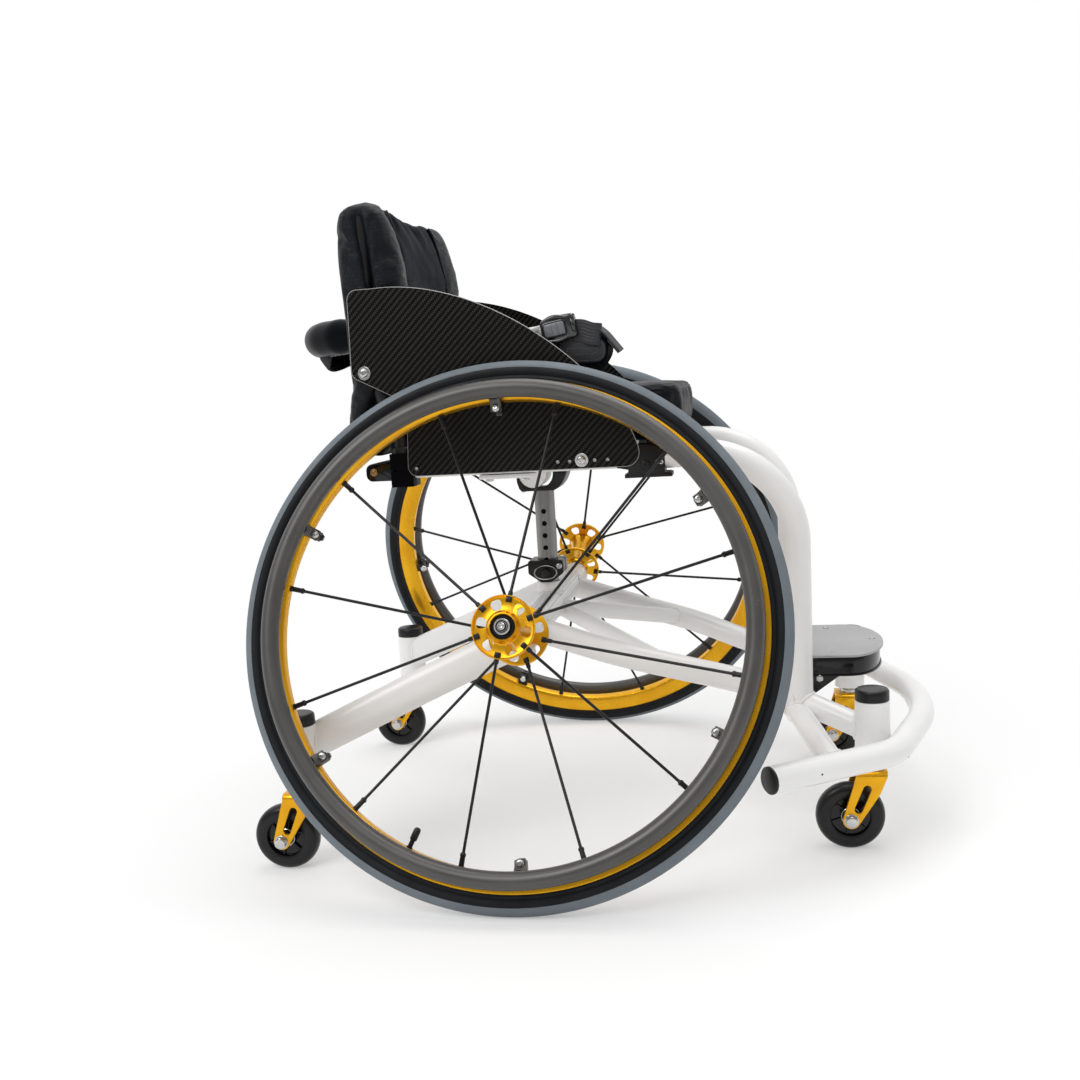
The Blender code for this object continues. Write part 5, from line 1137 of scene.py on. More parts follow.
CAMBER_PATH = [Vector((0, -CAMBER_TUBE_HALF, CAMBER_TUBE_Z)), Vector((0, CAMBER_TUBE_HALF, CAMBER_TUBE_Z))]


def lower_path():
    """The lower side tube's line."""
    return smooth([(0.0, 0.150, 0.266), (0.100, 0.150, 0.233), (0.180, 0.140, 0.210), (0.240, 0.120, 0.190),
                   (LEG_X, LEG_BASE_Y, 0.1635)], 5)


def leg_path():
    """The front leg's line."""
    corners = [(0.168, RAIL_Y, 0.465), (LEG_X, RAIL_Y, 0.465), (LEG_X, LEG_BASE_Y, LEG_FOOT_Z)]
    return fillet(corners, [0.110], 20)


def bumper_path():
    """The bumper's line, from its left end round the front to its right end."""
    half = [(0.274, 0.310), (0.4127, 0.2154), (0.464, 0.058)]
    corners = [(x, y, BUMPER_Z) for x, y in half] + [(x, -y, BUMPER_Z) for x, y in reversed(half)]
    return fillet(corners, [0.080, 0.300, 0.300, 0.080], 14)


def build_camber_tube():
    """The camber tube with fine lengthwise ribs, angled plugs and the seat post's socket."""
    ribs = []
    for k in range(192):
        angle = 2 * math.pi * k / 192
        radius = CAMBER_TUBE_RADIUS - 0.0008 * max(0.0, math.cos(18 * angle)) ** 3
        ribs.append((radius * math.cos(angle), radius * math.sin(angle)))
    levels = [-CAMBER_TUBE_HALF + 0.001, CAMBER_TUBE_HALF - 0.001]
    ribbed = sweep([(0, y, CAMBER_TUBE_Z) for y in levels], ribs)
    piece = Piece().add(combined(ribbed, [post_bore()]), "white_paint")
    out = Vector((0.0, math.cos(CAMBER), math.sin(CAMBER)))
    hub = Vector((0.0, HUB_Y, HUB_Z))
    plug_face = hub + out * (HUB_INNER_END - 0.0004)
    root = Vector((0.0, CAMBER_TUBE_HALF - 0.004,
                   HUB_Z - (HUB_Y - CAMBER_TUBE_HALF + 0.004) * math.tan(CAMBER)))
    for matrix in (IDENTITY, MIRROR):
        plug = bar(root, plug_face, [(0, 0), (0.0152, 0), (0.0152, 0.0060), (0.0140, 0.0090),
                                     (0.0135, (plug_face - root).length - 0.0006),
                                     (0, (plug_face - root).length)], 40)
        collar = bar((0, CAMBER_TUBE_HALF - 0.016, CAMBER_TUBE_Z), (0, CAMBER_TUBE_HALF, CAMBER_TUBE_Z),
                     [(0, 0), (0.0190, 0), (0.0192, 0.0006), (0.0192, 0.0150), (0.0184, 0.0160), (0, 0.0160)],
                     56)
        piece.add(at(plug, matrix), "bare_metal").add(at(collar, matrix), "white_paint")
        screw = at(socket_screw(0.0030, 0.0018),
                   facing((0.0130, CAMBER_TUBE_HALF - 0.008, CAMBER_TUBE_Z + 0.0133),
                           (0.7, 0, 0.714)))
        piece.add(at(screw, matrix), "bright_metal")
    low, top = CAMBER_TUBE_Z + 0.010, COLLAR_BOTTOM_Z - 0.0004
    socket = [(POST_BORE_RADIUS, low), (0.016, low), (0.016, top - 0.0006), (0.0154, top),
              (POST_BORE_RADIUS, top)]
    piece.add(at(lathe(socket, 48, True), Matrix.Translation((POST_X, 0, 0))), "white_paint")
    piece.add(weld_bead((POST_X, 0, COLLAR_BOTTOM_Z), (POST_X, 0, CAMBER_TUBE_Z), 0.016, 0.016, CAMBER_PATH,
                        CAMBER_TUBE_RADIUS, 0.0018, X_AXIS), "white_paint")
    piece.build("camber_tube_dressed", "frame", ["camber_tube"], "white_paint", 40.0)


def stem_line(stem):
    """The line of a caster's stem, for the welds."""
    return [Vector((stem[0], stem[1], 0.08)), Vector((stem[0], stem[1], 0.20))]


def housing_form(stem):
    """A caster housing with a rolled lip and a flared foot."""
    bottom, top = HOUSING_BOTTOM_Z, HOUSING_TOP_Z
    profile = [(0.0066, bottom), (0.0150, bottom), (0.0196, bottom + 0.0003), (0.0202, bottom + 0.0009),
               (0.0202, 0.1195), (0.0199, 0.1215), (0.0194, top - 0.0030), (0.0193, top - 0.0006),
               (0.0187, top), (0.0066, top)]
    return at(lathe(profile, 56, True), Matrix.Translation((stem[0], stem[1], 0)))


def build_rear_arms():
    """Oval rear arms with their caster housings and welds."""
    path = smooth([(0.0, 0.190, 0.264), (-0.056, 0.190, 0.240), (-0.151, 0.210, 0.199),
                   (-0.252, 0.235, 0.1545), (REAR_STEM[0], REAR_STEM[1], 0.1485)], 7)
    sections = []
    for index in range(len(path)):
        share = index / (len(path) - 1)
        flare = 1.0 - 0.20 * max(0.0, (share - 0.82) / 0.18)
        sections.append(oval(0.013, 0.021 * flare, 32))
    arm = Piece().add(sweep(path, sections), "white_paint").add(housing_form(REAR_STEM), "white_paint")
    arm.add(weld_bead((-0.056, 0.190, 0.240), (0.0, 0.190, 0.264), 0.013, 0.021, CAMBER_PATH,
                      CAMBER_TUBE_RADIUS), "white_paint")
    arm.add(weld_bead(path[-8], path[-1], 0.013, 0.0175, stem_line(REAR_STEM), HOUSING_WELD_RADIUS),
            "white_paint")
    build_pair(arm, "rear_arm_dressed", ON_FRAME, "rear_arm", "white_paint", 40.0)


def build_legs():
    """Front legs, bent at the knee, with an end plug under each foot."""
    leg = Piece().add(tube(leg_path(), LEG_RADIUS, 40, Y_AXIS), "white_paint")
    foot = Vector((LEG_X, LEG_BASE_Y, LEG_FOOT_Z))
    down = (foot - leg_path()[-2]).normalized()
    leg.add(bar(foot - down * 0.004, foot + down * 0.0016,
                [(0, 0), (0.0150, 0), (0.0158, 0.0042), (0.0150, 0.0054), (0, 0.0056)], 40), "white_paint")
    build_pair(leg, "front_leg_dressed", ON_FRAME, "front_leg", "white_paint", 40.0)


def build_lower_tubes():
    """Lower side tubes with their welds at both ends."""
    path = lower_path()
    piece = Piece().add(tube(path, LOWER_TUBE_RADIUS, 36), "white_paint")
    piece.add(weld_bead(path[5], path[0], LOWER_TUBE_RADIUS, LOWER_TUBE_RADIUS, CAMBER_PATH,
                        CAMBER_TUBE_RADIUS), "white_paint")
    piece.add(weld_bead(path[-5], path[-1], LOWER_TUBE_RADIUS, LOWER_TUBE_RADIUS, leg_path(), LEG_RADIUS),
              "white_paint")
    build_pair(piece, "lower_tube_dressed", ON_FRAME, "lower_tube", "white_paint", 40.0)


def build_brace():
    """The V brace with its welds."""
    piece = Piece()
    lower = lower_path()
    for matrix in (IDENTITY, MIRROR):
        start, end = Vector((0.012, 0.0, 0.262)), Vector((0.160, 0.1425, 0.2158))
        arm = combined(tube(straight(start, end, 6), BRACE_RADIUS, 32), [post_bore(0.20)])
        piece.add(at(arm, matrix), "white_paint")
        bead = weld_bead(start, end, BRACE_RADIUS, BRACE_RADIUS, lower, LOWER_TUBE_RADIUS, 0.0018)
        piece.add(at(bead, matrix), "white_paint")
        piece.add(at(weld_bead(start.lerp(end, 0.5), start.lerp(end, -0.1), BRACE_RADIUS, BRACE_RADIUS,
                               CAMBER_PATH, CAMBER_TUBE_RADIUS, 0.0018), matrix), "white_paint")
    piece.build("centre_brace_dressed", "frame", ["centre_brace"], "white_paint", 40.0)


def build_front_arms():
    """Front arms with struts, caster housings and welds."""
    start, end = Vector((LEG_X, LEG_BASE_Y, 0.161)), Vector((FRONT_STEM[0], FRONT_STEM[1], 0.139))
    low, tip = Vector((0.309, LEG_BASE_Y, 0.152)), Vector((0.344, 0.265, 0.128))
    piece = Piece().add(tube(straight(start, end, 6), ARM_RADIUS, 36), "white_paint")
    piece.add(tube(straight(low, tip, 8), STRUT_RADIUS, 36), "white_paint")
    piece.add(housing_form(FRONT_STEM), "white_paint")
    piece.add(weld_bead(start, end, ARM_RADIUS, ARM_RADIUS, stem_line(FRONT_STEM), HOUSING_WELD_RADIUS),
              "white_paint")
    piece.add(weld_bead(low.lerp(tip, 0.3), tip, STRUT_RADIUS, STRUT_RADIUS, bumper_path(), BUMPER_RADIUS),
              "white_paint")
    piece.add(weld_bead(end, start, ARM_RADIUS, ARM_RADIUS, leg_path(), LEG_RADIUS), "white_paint")
    piece.add(weld_bead(tip, low, STRUT_RADIUS, STRUT_RADIUS, leg_path(), LEG_RADIUS), "white_paint")
    build_pair(piece, "front_arm_dressed", ON_FRAME, "front_arm", "white_paint", 40.0)


def build_bumper():
    """The bumper with its black end plugs, drain holes and the welds at the housings."""
    path = bumper_path()
    piece = Piece().add(tube(path, BUMPER_RADIUS, 40), "white_paint")
    for end, before in ((path[0], path[1]), (path[-1], path[-2])):
        outward = (end - before).normalized()
        plug = bar(end - outward * 0.002, end + outward * 0.0022,
                   [(0, 0), (0.0147, 0), (0.0151, 0.0012), (0.0150, 0.0030), (0.0138, 0.0040), (0, 0.0042)],
                   40)
        piece.add(plug, "black_plastic")
    drains = ((path[11], path[12] - path[10], -0.55), (path[0].lerp(path[1], 0.4), path[1] - path[0], 0.0))
    for place, along, fall in drains:
        outward = (Z_AXIS.cross(along).normalized() + Z_AXIS * fall).normalized()
        centre = place + outward * (BUMPER_RADIUS - 0.0003)
        # Each drain hole is a flat dark disc on the tube: painted shade standing for the hole.
        hole = at(lathe([(0, 0), (0.0012, 0), (0.0012, 0.0004), (0, 0.0005)], 14), facing(centre, outward))
        for matrix in (IDENTITY, MIRROR):
            piece.add(at(hole, matrix), "black_metal")
    for side in (1.0, -1.0):
        x, y = FRONT_STEM[0], side * FRONT_STEM[1]
        loop = [Vector((x + 0.0199 * a, y + 0.0199 * b, 0)) for a, b in oval(1.0, sides=36)]
        for lift in (1.0, -1.0):
            run = []
            for place in loop:
                away = nearest(path, Vector((place.x, place.y, BUMPER_Z)))
                if away < BUMPER_RADIUS:
                    run.append(place + Z_AXIS * (BUMPER_Z + lift * math.sqrt(BUMPER_RADIUS ** 2 - away ** 2)))
            if len(run) > 3:
                run.sort(key=lambda point: side * math.atan2(point.y - y, point.x - x))
                gaps = [(run[(i + 1) % len(run)] - run[i]).length for i in range(len(run))]
                widest = gaps.index(max(gaps))
                run = run[widest + 1:] + run[:widest + 1]
                piece.add(tube(run, WELD_RADIUS, 8, Z_AXIS), "white_paint")
    piece.build("bumper_dressed", "frame", ["bumper"], "white_paint", 40.0)


def build_cross_tube():
    """The cross tube between the legs' feet."""
    half = LEG_BASE_Y
    piece = Piece().add(tube([(LEG_X, y, CROSS_TUBE_Z) for y in np.linspace(-half, half, 9)],
                             CROSS_TUBE_RADIUS, 36), "white_paint")
    for matrix in (IDENTITY, MIRROR):
        piece.add(at(weld_bead((LEG_X, 0.05, CROSS_TUBE_Z), (LEG_X, half, CROSS_TUBE_Z), CROSS_TUBE_RADIUS,
                               CROSS_TUBE_RADIUS, leg_path(), LEG_RADIUS, 0.0018), matrix), "white_paint")
    piece.build("front_cross_tube_dressed", "frame", ["front_cross_tube"], "white_paint", 40.0)


def build_caps():
    """Plain black caps on the caster housings."""
    bottom, top = HOUSING_TOP_Z + 0.0003, HOUSING_TOP_Z + 0.0141
    profile = [(0, bottom), (0.0188, bottom), (0.0192, bottom + 0.0005), (0.0192, bottom + 0.0022),
               (0.0188, bottom + 0.0026), (0.0189, bottom + 0.0030), (0.0192, bottom + 0.0034),
               (0.0191, top - 0.0036), (0.0184, top - 0.0018), (0.0172, top - 0.0008), (0.0160, top - 0.0004),
               (0.0157, top - 0.0007), (0.0152, top - 0.0006), (0.0090, top - 0.0001), (0, top)]
    for name, place in caster_places():
        piece = Piece().add(at(lathe(profile, 56), place), "black_plastic")
        piece.build(f"housing_cap_dressed_{name}", "frame", [f"housing_cap_{name}"], "black_plastic", 35.0)


# Casters, with the stem on the Z axis and the wheel behind it

def fork_piece():
    """A bent gold fork with a slot in each cheek, its stem ring and the wheel's bolt."""
    width, inner, under = FORK_HALF_WIDTH, FORK_HALF_WIDTH - FORK_PLATE, FORK_TOP_Z - FORK_PLATE
    corners = [(-width, 0.02), (-width, FORK_TOP_Z), (width, FORK_TOP_Z), (width, 0.02),
               (inner, 0.02), (inner, under), (-inner, under), (-inner, 0.02)]
    bends = [0, FORK_BEND, FORK_BEND, 0, 0, FORK_BEND - FORK_PLATE, FORK_BEND - FORK_PLATE, 0]
    fork = prism(rounded(corners, bends, 6), "x", -0.045, 0.025)
    side = [(-0.0207, FORK_TOP_Z + 0.002), (-0.0209, 0.0905)]
    for degrees in range(168, 333, 8):
        angle = math.radians(degrees)
        side.append((-CASTER_TRAIL + 0.0098 * math.cos(angle), CASTER_RADIUS + 0.0098 * math.sin(angle)))
    side += [(0.0056, 0.0708), (0.0139, 0.0910), (0.0148, FORK_TOP_Z + 0.002)]
    top, bottom = Vector((-0.0084, 0.0772)), Vector((-0.0184, 0.0531))
    slope = math.atan2(top.y - bottom.y, top.x - bottom.x)
    slot = []
    for centre, first in ((top, slope - math.pi / 2), (bottom, slope + math.pi / 2)):
        for k in range(9):
            angle = first + math.pi * k / 8
            slot.append((centre.x + 0.0046 * math.cos(angle), centre.y + 0.0046 * math.sin(angle)))
    fork = combined(fork, [prism(side, "y", -0.03, 0.03)], "INTERSECT")
    fork = bevelled(combined(fork, [prism(slot, "y", -0.03, 0.03)]), 0.0005, 2, 40.0)
    piece = Piece().add(fork, "gold")
    ring = [(0, FORK_TOP_Z - 0.0005), (0.0143, FORK_TOP_Z - 0.0005), (0.0145, FORK_TOP_Z), (0.0145, 0.1035),
            (0.0138, 0.1046), (0.0062, 0.1050), (0.0059, 0.1060), (0.0059, 0.1545), (0, 0.1548)]
    piece.add(lathe(ring, 48), "bright_metal")
    piece.add(rod((-CASTER_TRAIL, -width - 0.002, CASTER_RADIUS),
                  (-CASTER_TRAIL, width + 0.002, CASTER_RADIUS), 0.0039), "bright_metal")
    for sign in (1.0, -1.0):
        face = (-CASTER_TRAIL, sign * (width + 0.0001), CASTER_RADIUS)
        piece.fasten(washer(0.0082, 0.0040, 0.0012), face, (0, sign, 0))
        face = (-CASTER_TRAIL, sign * (width + 0.0012), CASTER_RADIUS)
        piece.fasten(hex_head(0.0072, 0.0056), face, (0, sign, 0))
    return piece


def caster_wheel_piece():
    """A soft-edged caster wheel with a ribbed hub and bearings."""
    half = [(0.0085, 0.0040), (0.0222, 0.0046), (0.0226, 0.0090), (0.0232, 0.0101), (0.0262, 0.0110),
            (0.0300, 0.0112), (0.0338, 0.0106), (0.0364, 0.0090), (0.0382, 0.0066), (0.0392, 0.0036),
            (0.0395, 0.0)]
    profile = mirrored(half)
    segments = 96
    kinds = ["black_gloss"] * 2 + ["urethane"] * (len(profile) - 5) + ["black_gloss"] * 3
    piece = Piece().add(lathe(profile, segments, True), banded(kinds, segments))
    groove = 0.0216
    for sign in (1.0, -1.0):
        boss = [(0.0043, 0.0), (0.0088, 0.0), (0.0088, 0.0080), (0.0082, 0.0088), (0.0082, 0.0178),
                (0.0043, 0.0181)]
        piece.add(at(lathe(boss, 40, True), Matrix.Scale(sign, 4, Z_AXIS)), "black_metal")
        bearing = [(0.0084, 0.0070), (0.0112, 0.0070), (0.0112, 0.0086), (0.0106, 0.0092), (0.0090, 0.0092),
                   (0.0084, 0.0088)]
        piece.add(at(lathe(bearing, 40, True), Matrix.Scale(sign, 4, Z_AXIS)), "bright_metal")
        for index in range(6):
            rib = bevelled(block((0.0102, -0.0011, 0.003), (groove, 0.0011, 0.0078)), 0.0004, 1)
            turn = Matrix.Scale(sign, 4, Z_AXIS) @ Matrix.Rotation(math.pi * index / 3 + 0.3, 4, "Z")
            piece.add(at(rib, turn), "black_gloss")
    place = Matrix.Translation((-CASTER_TRAIL, 0, CASTER_RADIUS)) @ Matrix.Rotation(math.pi / 2, 4, "X")
    return piece.moved(place)


def build_casters():
    """Four casters from one fork and one wheel."""
    fork, wheel = fork_piece(), caster_wheel_piece()
    for name, place in caster_places():
        fork.moved(place).build(f"caster_fork_dressed_{name}", f"caster_{name}", [f"caster_fork_{name}"],
                                "gold", 35.0)
        wheel.moved(place).build(f"caster_wheel_dressed_{name}", f"caster_wheel_{name}",
                                 [f"caster_wheel_{name}"], "caster_tyre", 35.0)


# Seat height column

def build_column():
    """The seat post, its cradle, the clamp collar and the height pin with its wire ring."""
    length = POST_TOP_Z - POST_BOTTOM_Z
    shaft = bar((POST_X, 0, POST_BOTTOM_Z), (POST_X, 0, POST_TOP_Z),
                [(0, 0), (0.0124, 0), (POST_RADIUS, 0.0006), (POST_RADIUS, length), (0, length)], 64)
    heights = [PIN_Z + HOLE_PITCH * (index - 1) for index in range(POST_HOLES)]
    holes = [rod((POST_X, -0.03, height), (POST_X, 0.03, height), POST_HOLE_RADIUS, 20) for height in heights]
    rim = lathe([(POST_HOLE_RADIUS, 0), (0.0036, 0), (0.0036, 0.0006), (POST_HOLE_RADIUS, 0.0006)], 20, True)
    rims = [at(rim, facing((POST_X, sign * (POST_RADIUS - 0.0006), height), (0, sign, 0)))
            for height in heights if COLLAR_TOP_Z < height for sign in (1.0, -1.0)]
    piece = Piece().add(combined(shaft, holes), "bare_metal").add(joined(*rims), "bare_metal")
    # Dark rods inside the holes: painted shade in the holes.
    for height in heights:
        liner = 0.0018 if height == PIN_Z else 0.0100
        piece.add(rod((POST_X, -liner, height), (POST_X, liner, height), 0.0034, 20), "dark_hole")
    piece.build("seat_post_dressed", "post", ["seat_post"], "bare_metal", 35.0)

    inner = 0.0185
    rear, front = SEAT_TUBE_X, SEAT_TUBE_X + 0.0075
    outline = [(-0.0325, 0.4390), (-0.0320, 0.4290), (-0.0295, 0.4210), (-0.0265, 0.4175), (0.0158, 0.4175),
               (0.0215, 0.4205), (0.0268, 0.4265), (0.0310, 0.4350), (0.0338, 0.4435),
               (front + inner, 0.4435)]
    for centre, first in ((front, 0.0), (rear, -90.0)):
        for step in range(13):
            angle = math.radians(first - 7.5 * step)
            outline.append((centre + inner * math.cos(angle), SEAT_TUBE_Z + inner * math.sin(angle)))
    outline[-1] = (rear - inner, 0.4390)
    cradle = Piece().add(bevelled(prism(outline, "y", -0.022, 0.022), 0.0008, 2, 35.0), "black_metal")
    for y in (-0.0135, 0.0135):
        cradle.fasten(socket_screw(0.0032, 0.0020), (-0.0255, y, 0.4178), (0, 0, -1))
    cradle.build("post_cradle_dressed", "post", ["post_cradle"], "black_metal", 32.0)

    along, rise = 0.0165, 0.0115
    shape = rounded([(-0.0245, COLLAR_TOP_Z), (-0.0245, COLLAR_BOTTOM_Z + rise),
                     (-0.0245 + along, COLLAR_BOTTOM_Z), (0.0212 - along, COLLAR_BOTTOM_Z),
                     (0.0212, COLLAR_BOTTOM_Z + rise), (0.0212, COLLAR_TOP_Z)],
                    [0.003, 0.004, 0.003, 0.003, 0.004, 0.003], 4)
    slit = block((POST_X + 0.010, -0.0009, 0.29), (0.030, 0.0009, 0.34))
    collar = combined(prism(shape, "y", -COLLAR_HALF_WIDTH, COLLAR_HALF_WIDTH), [post_bore(), slit])
    clamp = Piece().add(bevelled(collar, 0.0006, 2, 35.0), "black_metal")
    clamp.fasten(socket_screw(0.0042, 0.0026), (0.0160, -COLLAR_HALF_WIDTH, 0.3195), (0, -1, 0))
    clamp.fasten(hex_head(0.0042, 0.0030), (0.0160, COLLAR_HALF_WIDTH, 0.3195), (0, 1, 0))
    clamp.build("post_collar_dressed", "frame", ["post_collar"], "black_metal", 32.0)

    head = COLLAR_HALF_WIDTH + 0.0003
    turn = Matrix.Translation((POST_X, 0, PIN_Z)) @ Matrix.Rotation(math.pi / 2, 4, "X")
    profile = [(0, POST_RADIUS + 0.0004), (0.0024, POST_RADIUS + 0.0004), (0.0029, POST_RADIUS + 0.0010),
               (0.0029, head), (0.0050, head), (0.0055, head + 0.0006), (0.0055, head + 0.0024),
               (0.0046, head + 0.0030), (0.0046, head + 0.0044), (0.0055, head + 0.0050),
               (0.0055, head + 0.0068), (0.0048, head + 0.0075), (0, head + 0.0075)]
    kinds = ["bright_metal"] * 4 + ["black_gloss"] * (len(profile) - 5)
    pin = Piece().add(at(lathe(profile, 36), turn), banded(kinds, 36))
    ring_centre = Vector((POST_X, -head - 0.0058, PIN_Z + 0.0012))
    ring = [ring_centre + Vector((0.0145 * a, 0.0016 * b, 0.0086 * b)) for a, b in oval(1.0, sides=56)]
    pin.add(tube(ring, 0.0008, 10, Y_AXIS, True), "bright_metal")
    pin.build("height_pin_dressed", "height_pin", ["height_pin"], "bright_metal", 30.0)


# Seat frame

def build_rails():
    """Seat rails with end plugs and bevelled lugs, and the pivots they turn on."""
    rail = Piece().add(bar((-0.1282, RAIL_Y, RAIL_Z), (0.122, RAIL_Y, RAIL_Z),
                           [(0, 0), (0.0154, 0), (RAIL_RADIUS, 0.0005), (RAIL_RADIUS, 0.2497),
                            (0.0154, 0.2502), (0, 0.2502)], 44), "white_paint")
    rail.add(bar((-0.1296, RAIL_Y, RAIL_Z), (-0.120, RAIL_Y, RAIL_Z),
                 [(0, 0), (0.0138, 0), (0.0150, 0.0010), (0.0150, 0.0096), (0, 0.0096)], 36), "black_plastic")
    rail.add(bar((0.1120, RAIL_Y, RAIL_Z), (0.1238, RAIL_Y, RAIL_Z),
                 [(0, 0), (0.0158, 0), (RAIL_RADIUS + 0.0002, 0.0004), (RAIL_RADIUS + 0.0002, 0.0108),
                  (0.0150, 0.0118), (0, 0.0118)], 44), "black_plastic")
    places = []
    for step in range(25):
        angle = math.pi / 2 - (math.pi + SEAT_TIP) * step / 24
        places.append((PIVOT_X + 0.010 * math.cos(angle), PIVOT_Z + 0.010 * math.sin(angle)))
    tangent_x, tangent_z = places[-1]
    places += [(0.112, tangent_z + (tangent_x - 0.112) * math.tan(SEAT_TIP)), (0.112, PIVOT_Z + 0.010)]
    rail.add(bevelled(prism(places, "y", RAIL_Y - 0.0087, RAIL_Y + 0.0087), 0.0005, 1, 35.0), "black_metal")
    for x in (-0.112, -0.050, 0.050, 0.104):
        rail.fasten(socket_screw(0.0034, 0.0016), (x, RAIL_Y, RAIL_Z + RAIL_RADIUS - 0.0016), (0, 0, 1))
    build_pair(rail, "seat_rail_dressed", ON_SEAT, "seat_rail", "white_paint", 35.0)

    low, high = RAIL_Y - 0.0155, RAIL_Y + 0.0155
    ears = rounded([(0.1255, PIVOT_Z - 0.0118), (0.1675, PIVOT_Z - 0.0118), (0.1668, PIVOT_Z + 0.0060),
                    (0.1560, 0.4775), (0.1350, 0.4785), (0.1262, 0.4700)],
                   [0.004, 0.001, 0.006, 0.006, 0.008, 0.006], 6)
    pivot = Piece()
    for start, end in ((low, RAIL_Y - 0.009), (RAIL_Y + 0.009, high)):
        pivot.add(bevelled(prism(ears, "y", start, end), 0.0007, 2, 35.0), "black_metal")
    slab_top = PIVOT_Z - 0.0105
    pivot.add(bevelled(block((0.158, low + 0.0001, PIVOT_Z - 0.015), (0.1677, high - 0.0001, 0.475)), 0.0008),
              "black_metal")
    pivot.add(bevelled(block((0.1215, low, PIVOT_Z - 0.015), (0.1757, high, slab_top)), 0.0007),
              "black_metal")
    pivot.add(bevelled(block((0.1235, low + 0.0012, slab_top - 0.0001),
                             (0.1740, high - 0.0012, slab_top + 0.0008)),
                       0.0003, 1), "black_gloss")
    pivot.add(rod((PIVOT_X, low - 0.0003, PIVOT_Z), (PIVOT_X, high + 0.0003, PIVOT_Z), 0.0039),
              "bright_metal")
    for sign, level in ((1.0, high), (-1.0, low)):
        pivot.fasten(socket_screw(0.0055, 0.0024), (PIVOT_X, level, PIVOT_Z), (0, sign, 0), "black_metal")
        pivot.fasten(washer(0.0026, 0.0012, 0.0006), (0.1635, level, PIVOT_Z + 0.002), (0, sign, 0))
    build_pair(pivot, "seat_pivot_dressed", ON_FRAME, "seat_pivot", "black_metal", 32.0)


def build_seat_frame():
    """The cross member, the rear cross bar and the back posts with their clamps."""
    top = RAIL_Z - RAIL_RADIUS - 0.0003
    plate = bevelled(prism(rounded([(-0.052, -0.155), (0.016, -0.155), (0.016, 0.155), (-0.052, 0.155)],
                                   [0.006] * 4, 5),
                           "z", top - 0.005, top), 0.0007)
    member = Piece().add(plate, "white_paint")
    member.add(rod((SEAT_TUBE_X, -0.022, SEAT_TUBE_Z), (SEAT_TUBE_X, 0.022, SEAT_TUBE_Z), 0.018, 56, 0.0008),
               "white_paint")
    for x in (-0.040, 0.004):
        for y in (-0.148, 0.148):
            member.fasten(hex_head(0.0050, 0.0030), (x, y, top - 0.005), (0, 0, -1))
    member.build("seat_cross_member_dressed", "seat", ["seat_cross_member"], "white_paint", 35.0)

    rear, front = -0.1900, -0.1558
    outline = rounded([(rear, 0.449), (front, 0.449), (front, 0.470), (rear, 0.470)],
                      [0.008, 0.004, 0.004, 0.008], 8)
    cross = Piece().add(bevelled(prism(outline, "y", -0.150, 0.150), 0.0008, 2, 60.0), "black_gloss")
    for sign in (1.0, -1.0):
        cross.fasten(washer(0.0046, 0.0030, 0.0010), (-0.180, sign * 0.150, 0.460), (0, sign, 0), "brass")
        cross.fasten(socket_screw(0.0030, 0.0012), (-0.180, sign * 0.1502, 0.460), (0, sign, 0), "brass")
    cross.build("rear_cross_bar_dressed", "seat", ["rear_cross_bar"], "black_metal", 40.0)

    y = BACK_POST_Y
    path = fillet([(-0.1425, y, 0.446), (-0.1425, y, 0.500), (GUARD_BOLT_X, y, 0.590), (-0.172, y, 0.755)],
                  [0.05, 0.06], 8)
    post = Piece().add(tube(path, 0.0111, 32, Y_AXIS), "black_metal")
    post.add(rod((GUARD_BOLT_X + 0.003, y, GUARD_BOLT_Z),
                 (GUARD_BOLT_X + 0.003, GUARD_INNER_Y - 0.0003, GUARD_BOLT_Z), 0.006), "black_metal")
    clamp = block((-0.1555, 0.131, 0.442), (-0.1285, GUARD_INNER_Y - 0.0003, 0.4815))
    slit = block((-0.2, 0.12, 0.4612), (-0.1455, 0.17, 0.4626))
    post.add(bevelled(combined(clamp, [slit]), 0.0020, 3, 35.0), "bar_cover")
    for z in (0.4535, 0.4710):
        post.fasten(socket_screw(0.0036, 0.0022), (-0.1500, 0.131, z), (0, -1, 0))
    collar = bar((-0.1425, y, 0.4805), (-0.1425, y, 0.4885),
                 [(0, 0), (0.0142, 0), (0.0146, 0.0005), (0.0146, 0.0070), (0.0136, 0.0080), (0, 0.0080)], 36)
    post.add(collar, "black_metal")
    build_pair(post, "back_post_dressed", ON_SEAT, "back_post", "black_metal", 35.0)


